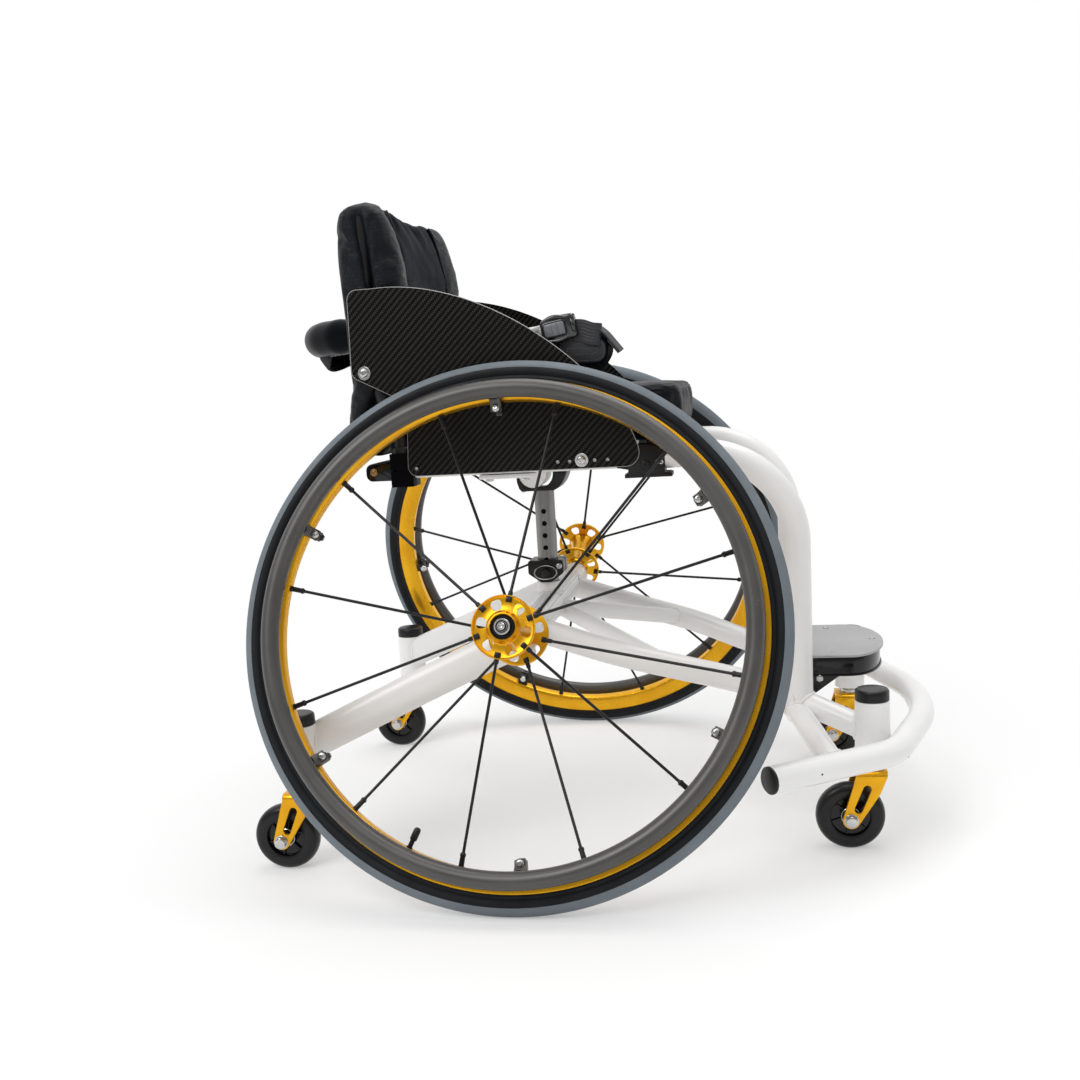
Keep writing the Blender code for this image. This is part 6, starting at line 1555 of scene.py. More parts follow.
def build_push_bar():
    """The glossy padded bar behind the backrest, with its pointed flap."""
    path, sections = [], []
    steps = 64
    for step in range(steps + 1):
        y = (BACK_POST_Y - 0.008) * (2 * step / steps - 1)
        bow = math.cos(math.pi * y / (2 * BACK_POST_Y))
        path.append(Vector((GUARD_BOLT_X + 0.001 - PUSH_BAR_BOW * bow, y, PUSH_BAR_Z)))
        fullness = min(1.0, max(0.0, (BACK_POST_Y - abs(y)) / 0.045))
        fullness = fullness * fullness * (3 - 2 * fullness)
        radius = 0.0105 + (0.0214 - 0.0105) * fullness
        wave = 1.0 + 0.010 * math.sin(y * 160.0) * fullness
        sections.append(oval(radius * wave, radius * wave, 40))
    bar_piece = Piece().add(sweep(path, sections), "bar_cover")
    seam = [point + Vector((-0.003, 0, -0.0210)) for point in path[8:-8]]
    bar_piece.add(tube(seam, 0.0010, 8), "black_plastic")
    flap = []
    half = 0.088
    for step in range(29):
        y = half * (2 * step / 28 - 1)
        bow = math.cos(math.pi * y / (2 * BACK_POST_Y))
        x = GUARD_BOLT_X + 0.001 - PUSH_BAR_BOW * bow
        fall = 0.020 * (1.0 - (abs(y) / half) ** 1.6)
        lean = 0.010 * (1.0 - (abs(y) / half) ** 2)
        top = Vector((x - 0.002, y, PUSH_BAR_Z - 0.0165))
        tip = Vector((x - 0.002 + lean, y, PUSH_BAR_Z - 0.0195 - fall))
        wave = 0.0012 * math.sin(y * 95.0)
        ring = []
        for share, offset in ((0.0, -0.0030), (0.35, -0.0036), (0.7, -0.0026), (0.96, -0.0012), (1.0, 0.0),
                              (0.96, 0.0010), (0.7, 0.0018), (0.35, 0.0022), (0.0, 0.0020)):
            ring.append(top.lerp(tip, share) + Vector((offset * 1.4 + wave * share, 0.0, 0.0)))
        flap.append(ring)
    bar_piece.add(loft(flap), "nylon")
    for end in (path[7], path[-8]):
        index = path.index(end)
        tangent = (path[index + 1] - path[index - 1]).normalized()
        bar_piece.add(bar(end - tangent * 0.004, end + tangent * 0.004,
                          [(0, 0), (0.0190, 0), (0.0200, 0.0010), (0.0200, 0.0070), (0.0190, 0.0080),
                           (0, 0.0080)], 40), "black_plastic")
    made = bar_piece.build("rear_push_bar_dressed", "seat", ["rear_push_bar"], "black_plastic", 40.0)


def guard_outline():
    """The side guard's outline, with its long swept top edge."""
    edge = []
    start, pull, push, end = (-0.160, 0.6725), (-0.030, 0.6816), (0.1177, 0.5613), (0.1395, 0.474)
    for step in range(49):
        t = step / 48
        weights = ((1 - t) ** 3, 3 * t * (1 - t) ** 2, 3 * t * t * (1 - t), t ** 3)
        edge.append(tuple(sum(w * p[i] for w, p in zip(weights, (start, pull, push, end))) for i in (0, 1)))
    lower = rounded([(0.1395, 0.474), (0.1405, 0.454), (-0.134, 0.454), (-0.129, 0.540), (-0.193, 0.573),
                     (-0.191, 0.6725), (-0.160, 0.6725)], [0, 0.016, 0.012, 0.030, 0.012, 0.012, 0], 10)
    return edge + lower[1:-1]


def build_guards():
    """Carbon side guards with a pale cut edge, partly a painted highlight, adjustment holes and bolts."""
    outline = guard_outline()
    low, high = GUARD_INNER_Y, GUARD_INNER_Y + GUARD_THICKNESS
    holes = []
    for x, z in ((0.045, 0.463), (0.059, 0.463), (0.088, 0.463), (0.103, 0.463), (-0.123, 0.463)):
        holes.append(rod((x, 0.15, z), (x, 0.18, z), 0.0021, 16))
    bm = to_bmesh(prism(outline, "y", low, high))
    outer_edges = [edge for edge in bm.edges if min(vertex.co.y for vertex in edge.verts) > high - 0.0001]
    bmesh.ops.bevel(bm, geom=outer_edges, offset=0.0008, segments=1, profile=0.5, affect="EDGES",
                    clamp_overlap=False)
    bm = to_bmesh(combined(from_bmesh(bm), holes))
    kinds = ["carbon" if abs(face.normal.y) > 0.95 else "carbon_edge" for face in bm.faces]
    guard = Piece().add(from_bmesh(bm), kinds)
    for x, z in ((GUARD_BOLT_X, GUARD_BOLT_Z), (0.073, 0.464)):
        guard.fasten(washer(0.0078, 0.0030, 0.0010), (x, high, z), (0, 1, 0))
        guard.fasten(socket_screw(0.0054, 0.0030), (x, high + 0.0010, z), (0, 1, 0))
    build_pair(guard, "side_guard_dressed", ON_SEAT, "side_guard", "carbon", 30.0)


# Footplate

def plate_outline(inset, rear_x, steps=40):
    """Square at the back and half an ellipse at the front."""
    half, nose = FOOTPLATE_HALF_WIDTH - inset, FOOTPLATE_NOSE - inset
    places = [(rear_x, -half)]
    for step in range(steps + 1):
        angle = math.pi * (step / steps - 0.5)
        places.append((FOOTPLATE_ROUND_X + nose * math.cos(angle), half * math.sin(angle)))
    return places + [(rear_x, half)]


def build_footplate():
    """The grey plate with its screws, and the glossy band under it."""
    bottom = FOOTPLATE_TOP_Z - FOOTPLATE_THICKNESS
    plate = Piece().add(bevelled(prism(plate_outline(0.0, 0.331), "z", bottom, FOOTPLATE_TOP_Z), 0.0005, 2,
                                 40.0), "grey_plate")
    for x, y, size in ((0.408, 0.0, 0.75), (0.355, 0.068, 0.75), (0.355, -0.068, 0.40)):
        place = Matrix.Translation((x, y, FOOTPLATE_TOP_Z)) @ Matrix.Scale(size, 4)
        head = lathe([(0, 0), (0.0040, 0), (0.0037, 0.0005), (0.0030, 0.0006), (0.0016, 0.0006),
                      (0.0013, 0.0002), (0, 0.0002)], 28)
        plate.add(at(head, place), "bright_metal")
        # A dark ring around each screw head: painted shade around the head.
        plate.add(at(washer(0.0050, 0.0040, 0.0003), place), "dark_hole")
    plate.build("footplate_dressed", "frame", ["footplate"], "grey_plate", 32.0)

    top = bottom - 0.0003
    low = top - 0.0235
    outer = plate_outline(0.004, LEG_X + 0.005)
    inner = plate_outline(0.007, LEG_X - 0.02)
    tube_space = rod((LEG_X, -0.12, CROSS_TUBE_Z), (LEG_X, 0.12, CROSS_TUBE_Z), CROSS_TUBE_RADIUS + 0.0003,
                     40)
    band = combined(prism(outer, "z", low, top), [prism(inner, "z", low - 0.01, top + 0.01), tube_space])
    piece = Piece().add(bevelled(band, 0.0005, 2, 40.0), "black_gloss")
    rail = [Vector((x, y, low + 0.0012)) for x, y in plate_outline(0.0032, LEG_X + 0.010)]
    piece.add(tube(rail, 0.0011, 8), "black_gloss")
    start = LEG_X + 0.0045
    gusset = [(start, low + 0.010), (start, low - 0.020), (start + 0.016, low - 0.020),
              (start + 0.046, low + 0.002), (start + 0.046, low + 0.010)]
    for sign in (1.0, -1.0):
        near, far = sorted((sign * 0.0859, sign * 0.0831))
        cheek = combined(prism(gusset, "y", near, far), [tube_space])
        piece.add(bevelled(cheek, 0.0004, 1, 40.0), "black_gloss")
        piece.fasten(hex_head(0.0045, 0.0026), (LEG_X + 0.025, sign * 0.0859, low - 0.002), (0, sign, 0))
    piece.build("footplate_band_dressed", "frame", ["footplate_band"], "black_metal", 32.0)


# Soft parts

CLOTH_FRAMES = 18


def between(value, places):
    """Reads a table of (place, value) pairs, smoothly between them."""
    xs = [place[0] for place in places]
    ys = [place[1] for place in places]
    if value <= xs[0]:
        return ys[0]
    for index in range(len(xs) - 1):
        if value <= xs[index + 1]:
            share = (value - xs[index]) / (xs[index + 1] - xs[index])
            first, second = ys[index], ys[index + 1]
            curve = catmull(ys[max(index - 1, 0)], first, second, ys[min(index + 2, len(ys) - 1)], share)
            return min(max(curve, min(first, second)), max(first, second))
    return ys[-1]


def remeshed(form, voxel):
    """The same closed form in an even mesh."""
    thing = temporary(form)
    remesh = thing.modifiers.new("remesh", "REMESH")
    remesh.mode = "VOXEL"
    remesh.voxel_size = voxel
    return evaluated_form(thing)


def inflated(form, voxel, pressure, cap, pins):
    """Remeshes a closed form and blows it up a little as cloth, with some places pinned."""
    thing = temporary(remeshed(form, voxel))
    count = len(thing.data.vertices)
    before = np.zeros(count * 3)
    thing.data.vertices.foreach_get("co", before)
    before = before.reshape(-1, 3)
    group = thing.vertex_groups.new(name="pins")
    for index, point in enumerate(before):
        weight = pins(point)
        if weight > 0:
            group.add([index], weight, "REPLACE")
    cloth = thing.modifiers.new("cloth", "CLOTH")
    settings = cloth.settings
    settings.quality = 5
    settings.mass = 0.3
    settings.tension_stiffness = 12.0
    settings.compression_stiffness = 8.0
    settings.shear_stiffness = 4.0
    settings.bending_stiffness = 0.4
    settings.shrink_min = -0.035
    settings.use_pressure = True
    settings.uniform_pressure_force = pressure
    settings.effector_weights.gravity = 0.0
    settings.vertex_group_mass = "pins"
    scene = bpy.context.scene
    scene.frame_start, scene.frame_end = 1, CLOTH_FRAMES
    for number in range(1, CLOTH_FRAMES + 1):
        scene.frame_set(number)
    mesh = thing.evaluated_get(bpy.context.evaluated_depsgraph_get()).to_mesh()
    after = np.zeros(count * 3)
    mesh.vertices.foreach_get("co", after)
    after = after.reshape(-1, 3)
    move = after - before
    length = np.linalg.norm(move, axis=1, keepdims=True)
    move *= cap * np.tanh(length / cap) / np.maximum(length, 1e-9)
    points = [Vector(point) for point in before + move]
    faces = [tuple(face.vertices) for face in thing.data.polygons]
    scene.frame_set(1)
    bpy.data.objects.remove(thing, do_unlink=True)
    return points, faces


def subdivided(form):
    """One subdivision of a form."""
    thing = temporary(form)
    thing.modifiers.new("subdivide", "SUBSURF").levels = 1
    return evaluated_form(thing)


def pressed(form, move):
    """Moves each point of a form by what move gives for it."""
    return [point + move(point) for point in form[0]], form[1]


def rounded_loop(rear, front, half, corner, height, steps=8, spread=0.010):
    """A rounded rectangle as a ring of points at one height."""
    corners = [Vector((rear, -half, height)), Vector((front, -half, height)), Vector((front, half, height)),
               Vector((rear, half, height))]
    ring = []
    for index, place in enumerate(corners):
        ring += corner_arc(corners[index - 1], place, corners[(index + 1) % 4], corner, steps)
    dense = []
    for first, second in zip(ring, ring[1:] + ring[:1]):
        pieces = max(1, int((second - first).length / spread))
        dense += [first.lerp(second, k / pieces) for k in range(pieces)]
    return dense


def cushion_loop(inset, height, corner, steps, spread=0.010, front_draw=0.0):
    """A loop round the cushion, inset from its sides."""
    return rounded_loop(CUSHION_REAR_X + inset, CUSHION_FRONT_X - front_draw - inset,
                        CUSHION_HALF_WIDTH - inset, corner, height, steps, spread)


def cushion_form():
    """The cushion's closed form, a little smaller than it ends."""
    bottom, top = CUSHION_BOTTOM_Z + 0.0008, CUSHION_BOTTOM_Z + CUSHION_HEIGHT
    levels = [(0.012, bottom), (0.0056, bottom + 0.0015), (0.0034, bottom + 0.006), (0.0036, bottom + 0.014),
              (0.0038, bottom + 0.026), (0.0036, top - 0.018), (0.0032, top - 0.0070), (0.0050, top - 0.0040),
              (0.0090, top - 0.0024), (0.0160, top - 0.0016), (0.030, top - 0.0009), (0.060, top - 0.0003),
              (0.100, top)]
    return loft([cushion_loop(inset, height, max(0.024 - inset / 2, 0.004), 8, 1.0)
                 for inset, height in levels])


def build_cushion():
    """The cushion in black vinyl: a fine seam round the top, side seams and slight puckers."""
    bottom, top = CUSHION_BOTTOM_Z, CUSHION_BOTTOM_Z + CUSHION_HEIGHT
    seam_z = top - 0.0070
    front_draw = 0.0055

    def edge_of(point):
        return min(CUSHION_HALF_WIDTH - abs(point[1]), CUSHION_FRONT_X - point[0], point[0] - CUSHION_REAR_X)

    def pins(point):
        if point[2] < bottom + 0.004:
            return 1.0
        if abs(point[2] - seam_z) < 0.0026 and edge_of(point) < 0.008:
            return 1.0
        return 0.0

    form = cushion_form()
    form = inflated(form, 0.0048, 1.8, 0.0026, pins)
    form = subdivided(form)

    def sculpt(point):
        side = edge_of(point)
        move = Vector((0.0, 0.0, 0.0))
        outward = Vector((0.0, 0.0, 0.0))
        if CUSHION_HALF_WIDTH - abs(point.y) < 0.014:
            outward += Vector((0.0, math.copysign(1.0, point.y), 0.0))
        if CUSHION_FRONT_X - point.x < 0.014:
            outward += X_AXIS
        if point.x - CUSHION_REAR_X < 0.014:
            outward -= X_AXIS
        if outward.length > 0 and point.z < top - 0.003:
            outward.normalize()
            below = max(0.0, seam_z - point.z)
            wave = math.sin((point.x + point.y) * 290.0 + 3.0 * noise.noise(point * 40.0))
            pucker = wave * math.exp(-below / 0.007)
            corner = 1.0 if point.x > 0.13 or abs(point.y) < 0.02 else 0.45
            move += outward * 0.0002 * pucker * corner * min(1.0, below / 0.003)
            move += outward * 0.0007 * noise.noise(Vector((point.x * 16.0, point.y * 16.0, point.z * 20.0)))
            move -= outward * 0.0008 * math.exp(-((point.z - seam_z) / 0.0014) ** 2)
        elif side > 0.010:
            ripple = noise.noise(Vector((point.x * 9.0, point.y * 9.0, 3.0)))
            move.z += 0.0009 * ripple * min(1.0, (side - 0.010) / 0.03) if point.z > top - 0.01 else 0.0
        move.x -= front_draw * min(1.0, max(0.0, (point.x - 0.165) / 0.02))
        return move

    form = pressed(form, sculpt)
    piece = Piece().add(form, "vinyl")
    loop = cushion_loop(0.0048, seam_z, 0.0225, 10, front_draw=front_draw)
    piece.add(tube(loop, 0.0011, 10, Z_AXIS, True), "vinyl")
    for sign in (1.0, -1.0):
        seam = [Vector((0.167 + 0.0010 * math.sin(z * 120.0), sign * (CUSHION_HALF_WIDTH - 0.0038), z))
                for z in np.linspace(bottom + 0.007, seam_z, 16)]
        piece.add(tube(seam, 0.0011, 8, X_AXIS), "vinyl")
    low_loop = cushion_loop(0.0040, bottom + 0.0052, 0.0225, 10, front_draw=front_draw)
    piece.add(tube(low_loop, 0.0012, 8, Z_AXIS, True), "vinyl")
    made = piece.build("cushion_cover", "seat", ["cushion"], "vinyl", 60.0)


def build_sling():
    """The seat fabric on the rails, with folded hems and stitch rows."""
    bottom, thick = 0.4832, 0.0026
    steps_x, steps_y = 36, 40
    half, rear, front = 0.1598, -0.127, 0.172

    def height(y, level):
        sag = 0.0035 * max(0.0, 1.0 - (abs(y) / 0.140) ** 2)
        return bottom + level - sag

    widths = [-half + 2 * half * j / steps_y for j in range(steps_y + 1)]
    rings = []
    for i in range(steps_x + 1):
        x = rear + (front - rear) * i / steps_x
        under, over = [[Vector((x, y, height(y, level))) for y in widths] for level in (0.0, thick)]
        rings.append(under + over[::-1])
    sling = Piece().add(loft(rings), "nylon")
    for x in (rear + 0.004, front - 0.004):
        path = [Vector((x, y, height(y, thick / 2))) for y in np.linspace(-half, half, 25)]
        section = [(0.004 * math.cos(a), 0.0019 * math.sin(a)) for a in np.linspace(0, 2 * math.pi, 15)[:-1]]
        sling.add(sweep(path, section), "nylon")
        row = [point + Vector((0.0, 0.0, -0.0019)) for point in path]
        sling.add(stitches(row, -Z_AXIS), "thread")
    made = sling.build("seat_sling_cloth", "seat", ["seat_sling"], "nylon", 60.0)


BACK_REAR = [(0.478, -0.201), (0.500, -0.2085), (0.517, -0.210), (0.540, -0.2055), (0.565, -0.2010),
             (0.625, -0.1995), (0.700, -0.2025), (0.735, -0.2025), (0.755, -0.2000), (0.766, -0.1935),
             (BACK_TOP_Z, -0.1810)]
BACK_FRONT = [(0.478, -0.163), (0.500, -0.164), (0.517, -0.161), (0.540, -0.143), (0.565, -0.1185),
              (0.625, -0.1225), (0.700, -0.1300), (0.735, -0.1375), (0.755, -0.1440), (0.766, -0.1505),
              (BACK_TOP_Z, -0.1595)]
BACK_EDGE = [(0.478, 0.152), (0.540, 0.155), (0.565, BACK_HALF_WIDTH), (0.755, BACK_HALF_WIDTH),
             (0.766, BACK_HALF_WIDTH - 0.006), (BACK_TOP_Z, BACK_HALF_WIDTH - 0.016)]
BACK_SHAPE = [(0.0, 0.14), (0.34, 0.13), (0.62, 0.10), (0.78, 0.03), (0.88, 0.01), (0.965, 0.10), (1.0, 0.27)]


def back_limits(height):
    """The backrest's front, depth and half width at a height."""
    front = between(height, BACK_FRONT)
    return front, front - between(height, BACK_REAR), between(height, BACK_EDGE)


def back_ring(height, shrink):
    """One level of the backrest: two bolsters round the posts and a thinner panel between them."""
    rear, front = between(height, BACK_REAR) + shrink, between(height, BACK_FRONT) - shrink
    edge = between(height, BACK_EDGE) - shrink
    depth = front - rear
    half = []
    for share in (0.0, 0.12, 0.24, 0.34, 0.44, 0.54, 0.62, 0.70, 0.78, 0.83, 0.88, 0.93, 0.965, 0.99):
        half.append((front - between(share, BACK_SHAPE) * depth, edge * share))
    half += [(front - 0.27 * depth, edge), (front - 0.42 * depth, edge),
             (front - 0.50 * depth, edge - 0.0028), (front - 0.58 * depth, edge),
             (front - 0.77 * depth, edge), (front - 0.88 * depth, edge * 0.975),
             (front - 0.96 * depth, edge * 0.935), (front - 1.0 * depth, edge * 0.885),
             (front - 0.985 * depth, edge * 0.82), (front - 0.93 * depth, edge * 0.76),
             (front - 0.86 * depth, edge * 0.69), (front - 0.835 * depth, edge * 0.60),
             (front - 0.83 * depth, edge * 0.45), (front - 0.83 * depth, edge * 0.30),
             (front - 0.83 * depth, edge * 0.15), (front - 0.83 * depth, 0.0)]
    places = half + [(x, -y) for x, y in reversed(half[1:-1])]
    return [Vector((x, y, height)) for x, y in places]


def build_backrest():
    """The padded backrest: leather columns round the posts, piped seams and a cloth panel in front."""
    low, high = 0.4790, 0.7700
    heights = list(np.linspace(low, 0.745, 40)) + [0.752, 0.758, 0.763, 0.7665, 0.769, high]
    form = loft([back_ring(height, 0.0018) for height in heights])

    def pins(point):
        front, depth, edge = back_limits(point[2])
        share = (front - point[0]) / depth
        if point[2] < low + 0.006:
            return 1.0
        if abs(point[1]) > edge - 0.009 and abs(share - BACK_SIDE_SHARE) < 0.07:
            return 1.0
        if abs(abs(point[1]) - BACK_SEAM_SHARE * edge) < 0.0030 and share < 0.30:
            return 1.0
        return 0.0

    form = inflated(form, 0.0050, 3.2, 0.0050, pins)
    form = subdivided(form)

    def sculpt(point):
        front, depth, edge = back_limits(point.z)
        share = (front - point.x) / depth
        move = Vector((0.0, 0.0, 0.0))
        if share < 0.45:
            gap = abs(point.y) - BACK_SEAM_SHARE * edge
            move.x -= 0.0010 * math.exp(-(gap / 0.0022) ** 2)
            near_top = max(0.0, 1.0 - (BACK_TOP_Z - point.z) / 0.075)
            if gap < 0:
                inwards = min(1.0, -gap / 0.006)
                pucker = noise.noise(Vector((0.0, point.y * 30.0 + point.z * 34.0,
                                             point.z * 12.0 - point.y * 9.0)))
                move.x += 0.0042 * pucker * near_top * inwards
                move.x += 0.0016 * noise.noise(Vector((4.0, point.y * 16.0, point.z * 11.0))) * inwards
                move.x -= 0.0014 * inwards
            else:
                crease = math.sin(point.z * 210.0 + 4.0 * noise.noise(point * 18.0))
                move.x += 0.0007 * crease * math.exp(-gap / 0.016)
        if abs(point.y) > edge * 0.88:
            fold = noise.noise(Vector((point.x * 14.0, 2.0, point.z * 26.0)))
            move.y += math.copysign(0.0012 * fold, point.y)
            seam_gap = (share - BACK_SIDE_SHARE) * depth
            below_top = min(1.0, max(0.0, (0.7640 - point.z) / 0.020))
            groove = 0.0100 * math.exp(-(seam_gap / 0.0046) ** 2) * below_top
            move.y -= math.copysign(groove, point.y)
            waist = math.exp(-((point.z - 0.600) / 0.012) ** 2)
            move.y -= math.copysign(0.0009 * waist, point.y)
        return move

    form = pressed(form, sculpt)
    kinds = []
    for face in form[1]:
        centre = sum((form[0][index] for index in face), Vector()) / len(face)
        front, depth, edge = back_limits(centre.z)
        share = (front - centre.x) / depth
        inside = abs(centre.y) < BACK_SEAM_SHARE * edge and (share < 0.40 or centre.z > 0.762)
        kinds.append("nylon" if inside else "leather")
    piece = Piece().add(form, kinds)
    for sign in (1.0, -1.0):
        seam = []
        for height in np.linspace(0.484, 0.7660, 60):
            front, depth, edge = back_limits(height)
            seam.append(Vector((front - 0.10 * depth - 0.0005, sign * BACK_SEAM_SHARE * edge, height)))
        piece.add(tube(seam, 0.0020, 10, Y_AXIS), "leather")
        row = [point + Vector((-0.0004, sign * 0.0052, 0.0)) for point in seam]
        piece.add(stitches(row, X_AXIS), "thread")
    made = piece.build("backrest_cover", "seat", ["back_upholstery"], "back_leather", 60.0)


# Lap strap

def webbing_form(path, across, half_width, thickness, ribs=7):
    """A flat strap with ribs along it. The given direction lies across it at each point."""
    rings = []
    path = [Vector(point) for point in path]
    count = len(path)
    columns = ribs * 4
    for index, point in enumerate(path):
        tangent = (path[min(index + 1, count - 1)] - path[max(index - 1, 0)]).normalized()
        side = Vector(across[index])
        side = (side - tangent * side.dot(tangent)).normalized()
        lift = tangent.cross(side).normalized()
        ring = []
        for face in (1.0, -1.0):
            for k in range(columns + 1):
                share = -1.0 + 2.0 * k / columns
                edge = 0.55 if k in (0, columns) else 1.0
                rib = 0.00018 * math.cos(2 * math.pi * ribs * k / columns)
                place = share * face
                ring.append(point + side * half_width * place + lift * face * (thickness / 2 * edge + rib))
        rings.append(ring)
    return loft(rings)


def buckle_matrix():
    """The buckle's frame: X along its length, Z up its face, Y into the chair."""
    return Matrix.Translation(BUCKLE_PLACE) @ Matrix.Rotation(-BUCKLE_TILT, 4, "Y")


def build_straps():
    """Both halves of the lap strap, in ribbed webbing."""
    inside = (CUSHION_HALF_WIDTH + GUARD_INNER_Y) / 2
    top = CUSHION_BOTTOM_Z + CUSHION_HEIGHT
    rest = top + CUSHION_CROWN + STRAP_THICKNESS / 2 + 0.0003
    place = buckle_matrix()
    tongue_back = place @ Vector((-BUCKLE_LENGTH / 2 - 0.018, 0.0, 0.0))
    path = smooth([(-0.075, -inside, 0.4885), (-0.050, -inside, 0.530), (-0.026, -0.1575, 0.566),
                   tuple(tongue_back)], 10)
    count = len(path)
    across = []
    for index in range(count):
        share = index / (count - 1)
        across.append(Vector((0.75, 0.0, -0.65)).lerp(Vector((0.45, 0.0, -0.9)), share))
    right = Piece().add(webbing_form(path, across, STRAP_HALF_WIDTH, STRAP_THICKNESS * 0.9), "webbing")
    sleeve = path[count // 3:-4]
    right.add(webbing_form(sleeve, across[count // 3:-4], STRAP_HALF_WIDTH * 1.02, STRAP_THICKNESS * 1.7, 1),
              "nylon")
    for edge in (-0.78, 0.78):
        row = []
        for index, point in enumerate(sleeve):
            side = across[count // 3 + index].normalized()
            row.append(point + side * STRAP_HALF_WIDTH * edge + Vector((0.0, -STRAP_THICKNESS * 0.86, 0.0)))
        right.add(stitches(row, -Y_AXIS), "thread")
    long = BUCKLE_LENGTH / 2
    tongue = combined(prism(rounded([(-long - 0.026, -0.0105), (-long + 0.010, -0.0088),
                                     (-long + 0.010, 0.0088), (-long - 0.026, 0.0105)],
                                    [0.004, 0.001, 0.001, 0.004], 5), "y", -0.001, 0.001),
                      [rod((-long + 0.002, -0.01, 0), (-long + 0.002, 0.01, 0), 0.0021, 20)])
    right.add(at(bevelled(tongue, 0.0003, 1), place), "satin_steel")
    right.build("lap_strap_dressed_right", "seat", ["lap_strap_right"], "webbing", 50.0)

    # The loop beside the buckle, folded back on itself
    loop = smooth([tuple(place @ Vector((long - 0.004, 0.0, -0.006))),
                   tuple(place @ Vector((long + 0.004, 0.0, -0.008))), (0.0880, -0.1456, 0.6062),
                   (0.0955, -0.1454, 0.6050), (0.0990, -0.1430, 0.6044), (0.0984, -0.1396, 0.6040),
                   (0.0940, -0.1380, 0.6045), (0.0760, -0.1375, 0.6065)], 8)
    left = Piece().add(webbing_form(loop, [Vector((0.10, 0.0, 1.0))] * len(loop), STRAP_HALF_WIDTH, 0.0022),
                       "webbing")
    # The stitched pad under it
    shape = rounded([(0.050, 0.5735), (0.1050, 0.5730), (0.1055, 0.6000), (0.050, 0.6060)],
                    [0.004, 0.0120, 0.0110, 0.004], 8)
    near, far = -0.1432, -0.1388

    def pad_loop(level, inset):
        return [Vector((PAD_CENTRE_X + (x - PAD_CENTRE_X) * (1 - inset / PAD_HALF_LENGTH), level,
                        PAD_CENTRE_Z + (z - PAD_CENTRE_Z) * (1 - inset / PAD_HALF_HEIGHT))) for x, z in shape]

    levels = [(near, 0.0016), (near + 0.0006, 0.0005), (near + 0.0016, 0.0), (far - 0.0016, 0.0),
              (far - 0.0006, 0.0005), (far, 0.0016)]
    left.add(loft([pad_loop(level, inset) for level, inset in levels]), "webbing")
    for inset in (0.0026, 0.0100):
        left.add(stitches(pad_loop(near - 0.0001, inset), -Y_AXIS, 0.0036, 0.0024, 0.00034, True), "thread")
    left.add(tube([Vector((x, (near + far) / 2, z)) for x, z in shape], 0.0023, 8, Y_AXIS, True), "nylon")
    # The loose end
    tail = smooth([(0.0880, -0.1352, 0.6135), (0.0960, -0.1352, 0.6130), (0.1050, -0.1350, 0.6060),
                   (0.1130, -0.1346, 0.5960), (0.1215, -0.1340, 0.5850)], 8)
    side = Vector((0.12, 1.0, 0.10))
    left.add(webbing_form(tail, [side] * len(tail), STRAP_HALF_WIDTH * 0.92, 0.0022), "webbing")
    fold = [point + Vector((-0.0014, 0.0, -0.0012)) for point in tail[-12:]]
    left.add(webbing_form(fold, [side] * len(fold), STRAP_HALF_WIDTH * 0.90, 0.0022), "webbing")
    path = smooth([(0.0900, -0.1362, 0.6000), (0.0990, -0.1350, 0.5950), (0.1010, -0.1290, 0.5850),
                   (0.0930, -0.1150, 0.5745), (0.070, -0.085, rest + 0.007), (0.045, -0.030, rest + 0.001),
                   (0.020, 0.040, rest + 0.001), (-0.012, 0.110, top + 0.007), (-0.032, 0.145, top + 0.0045),
                   (-0.042, 0.157, top - 0.0005), (-0.047, inside, top - 0.010),
                   (-0.053, inside, top - 0.022), (-0.070, inside, 0.4885)], 8)
    count = len(path)
    across = []
    for index in range(count):
        share = index / (count - 1)
        upright = max(0.0, 1.0 - share / 0.28)
        slant = min(1.0 - upright, max(0.0, (0.80 - share) / 0.20))
        across.append(Vector((1.0 - upright, 0.35 * slant, upright)))
    left.add(webbing_form(path, across, STRAP_HALF_WIDTH, STRAP_THICKNESS * 0.9), "webbing")
    left.build("lap_strap_dressed_left", "seat", ["lap_strap_left"], "webbing", 50.0)


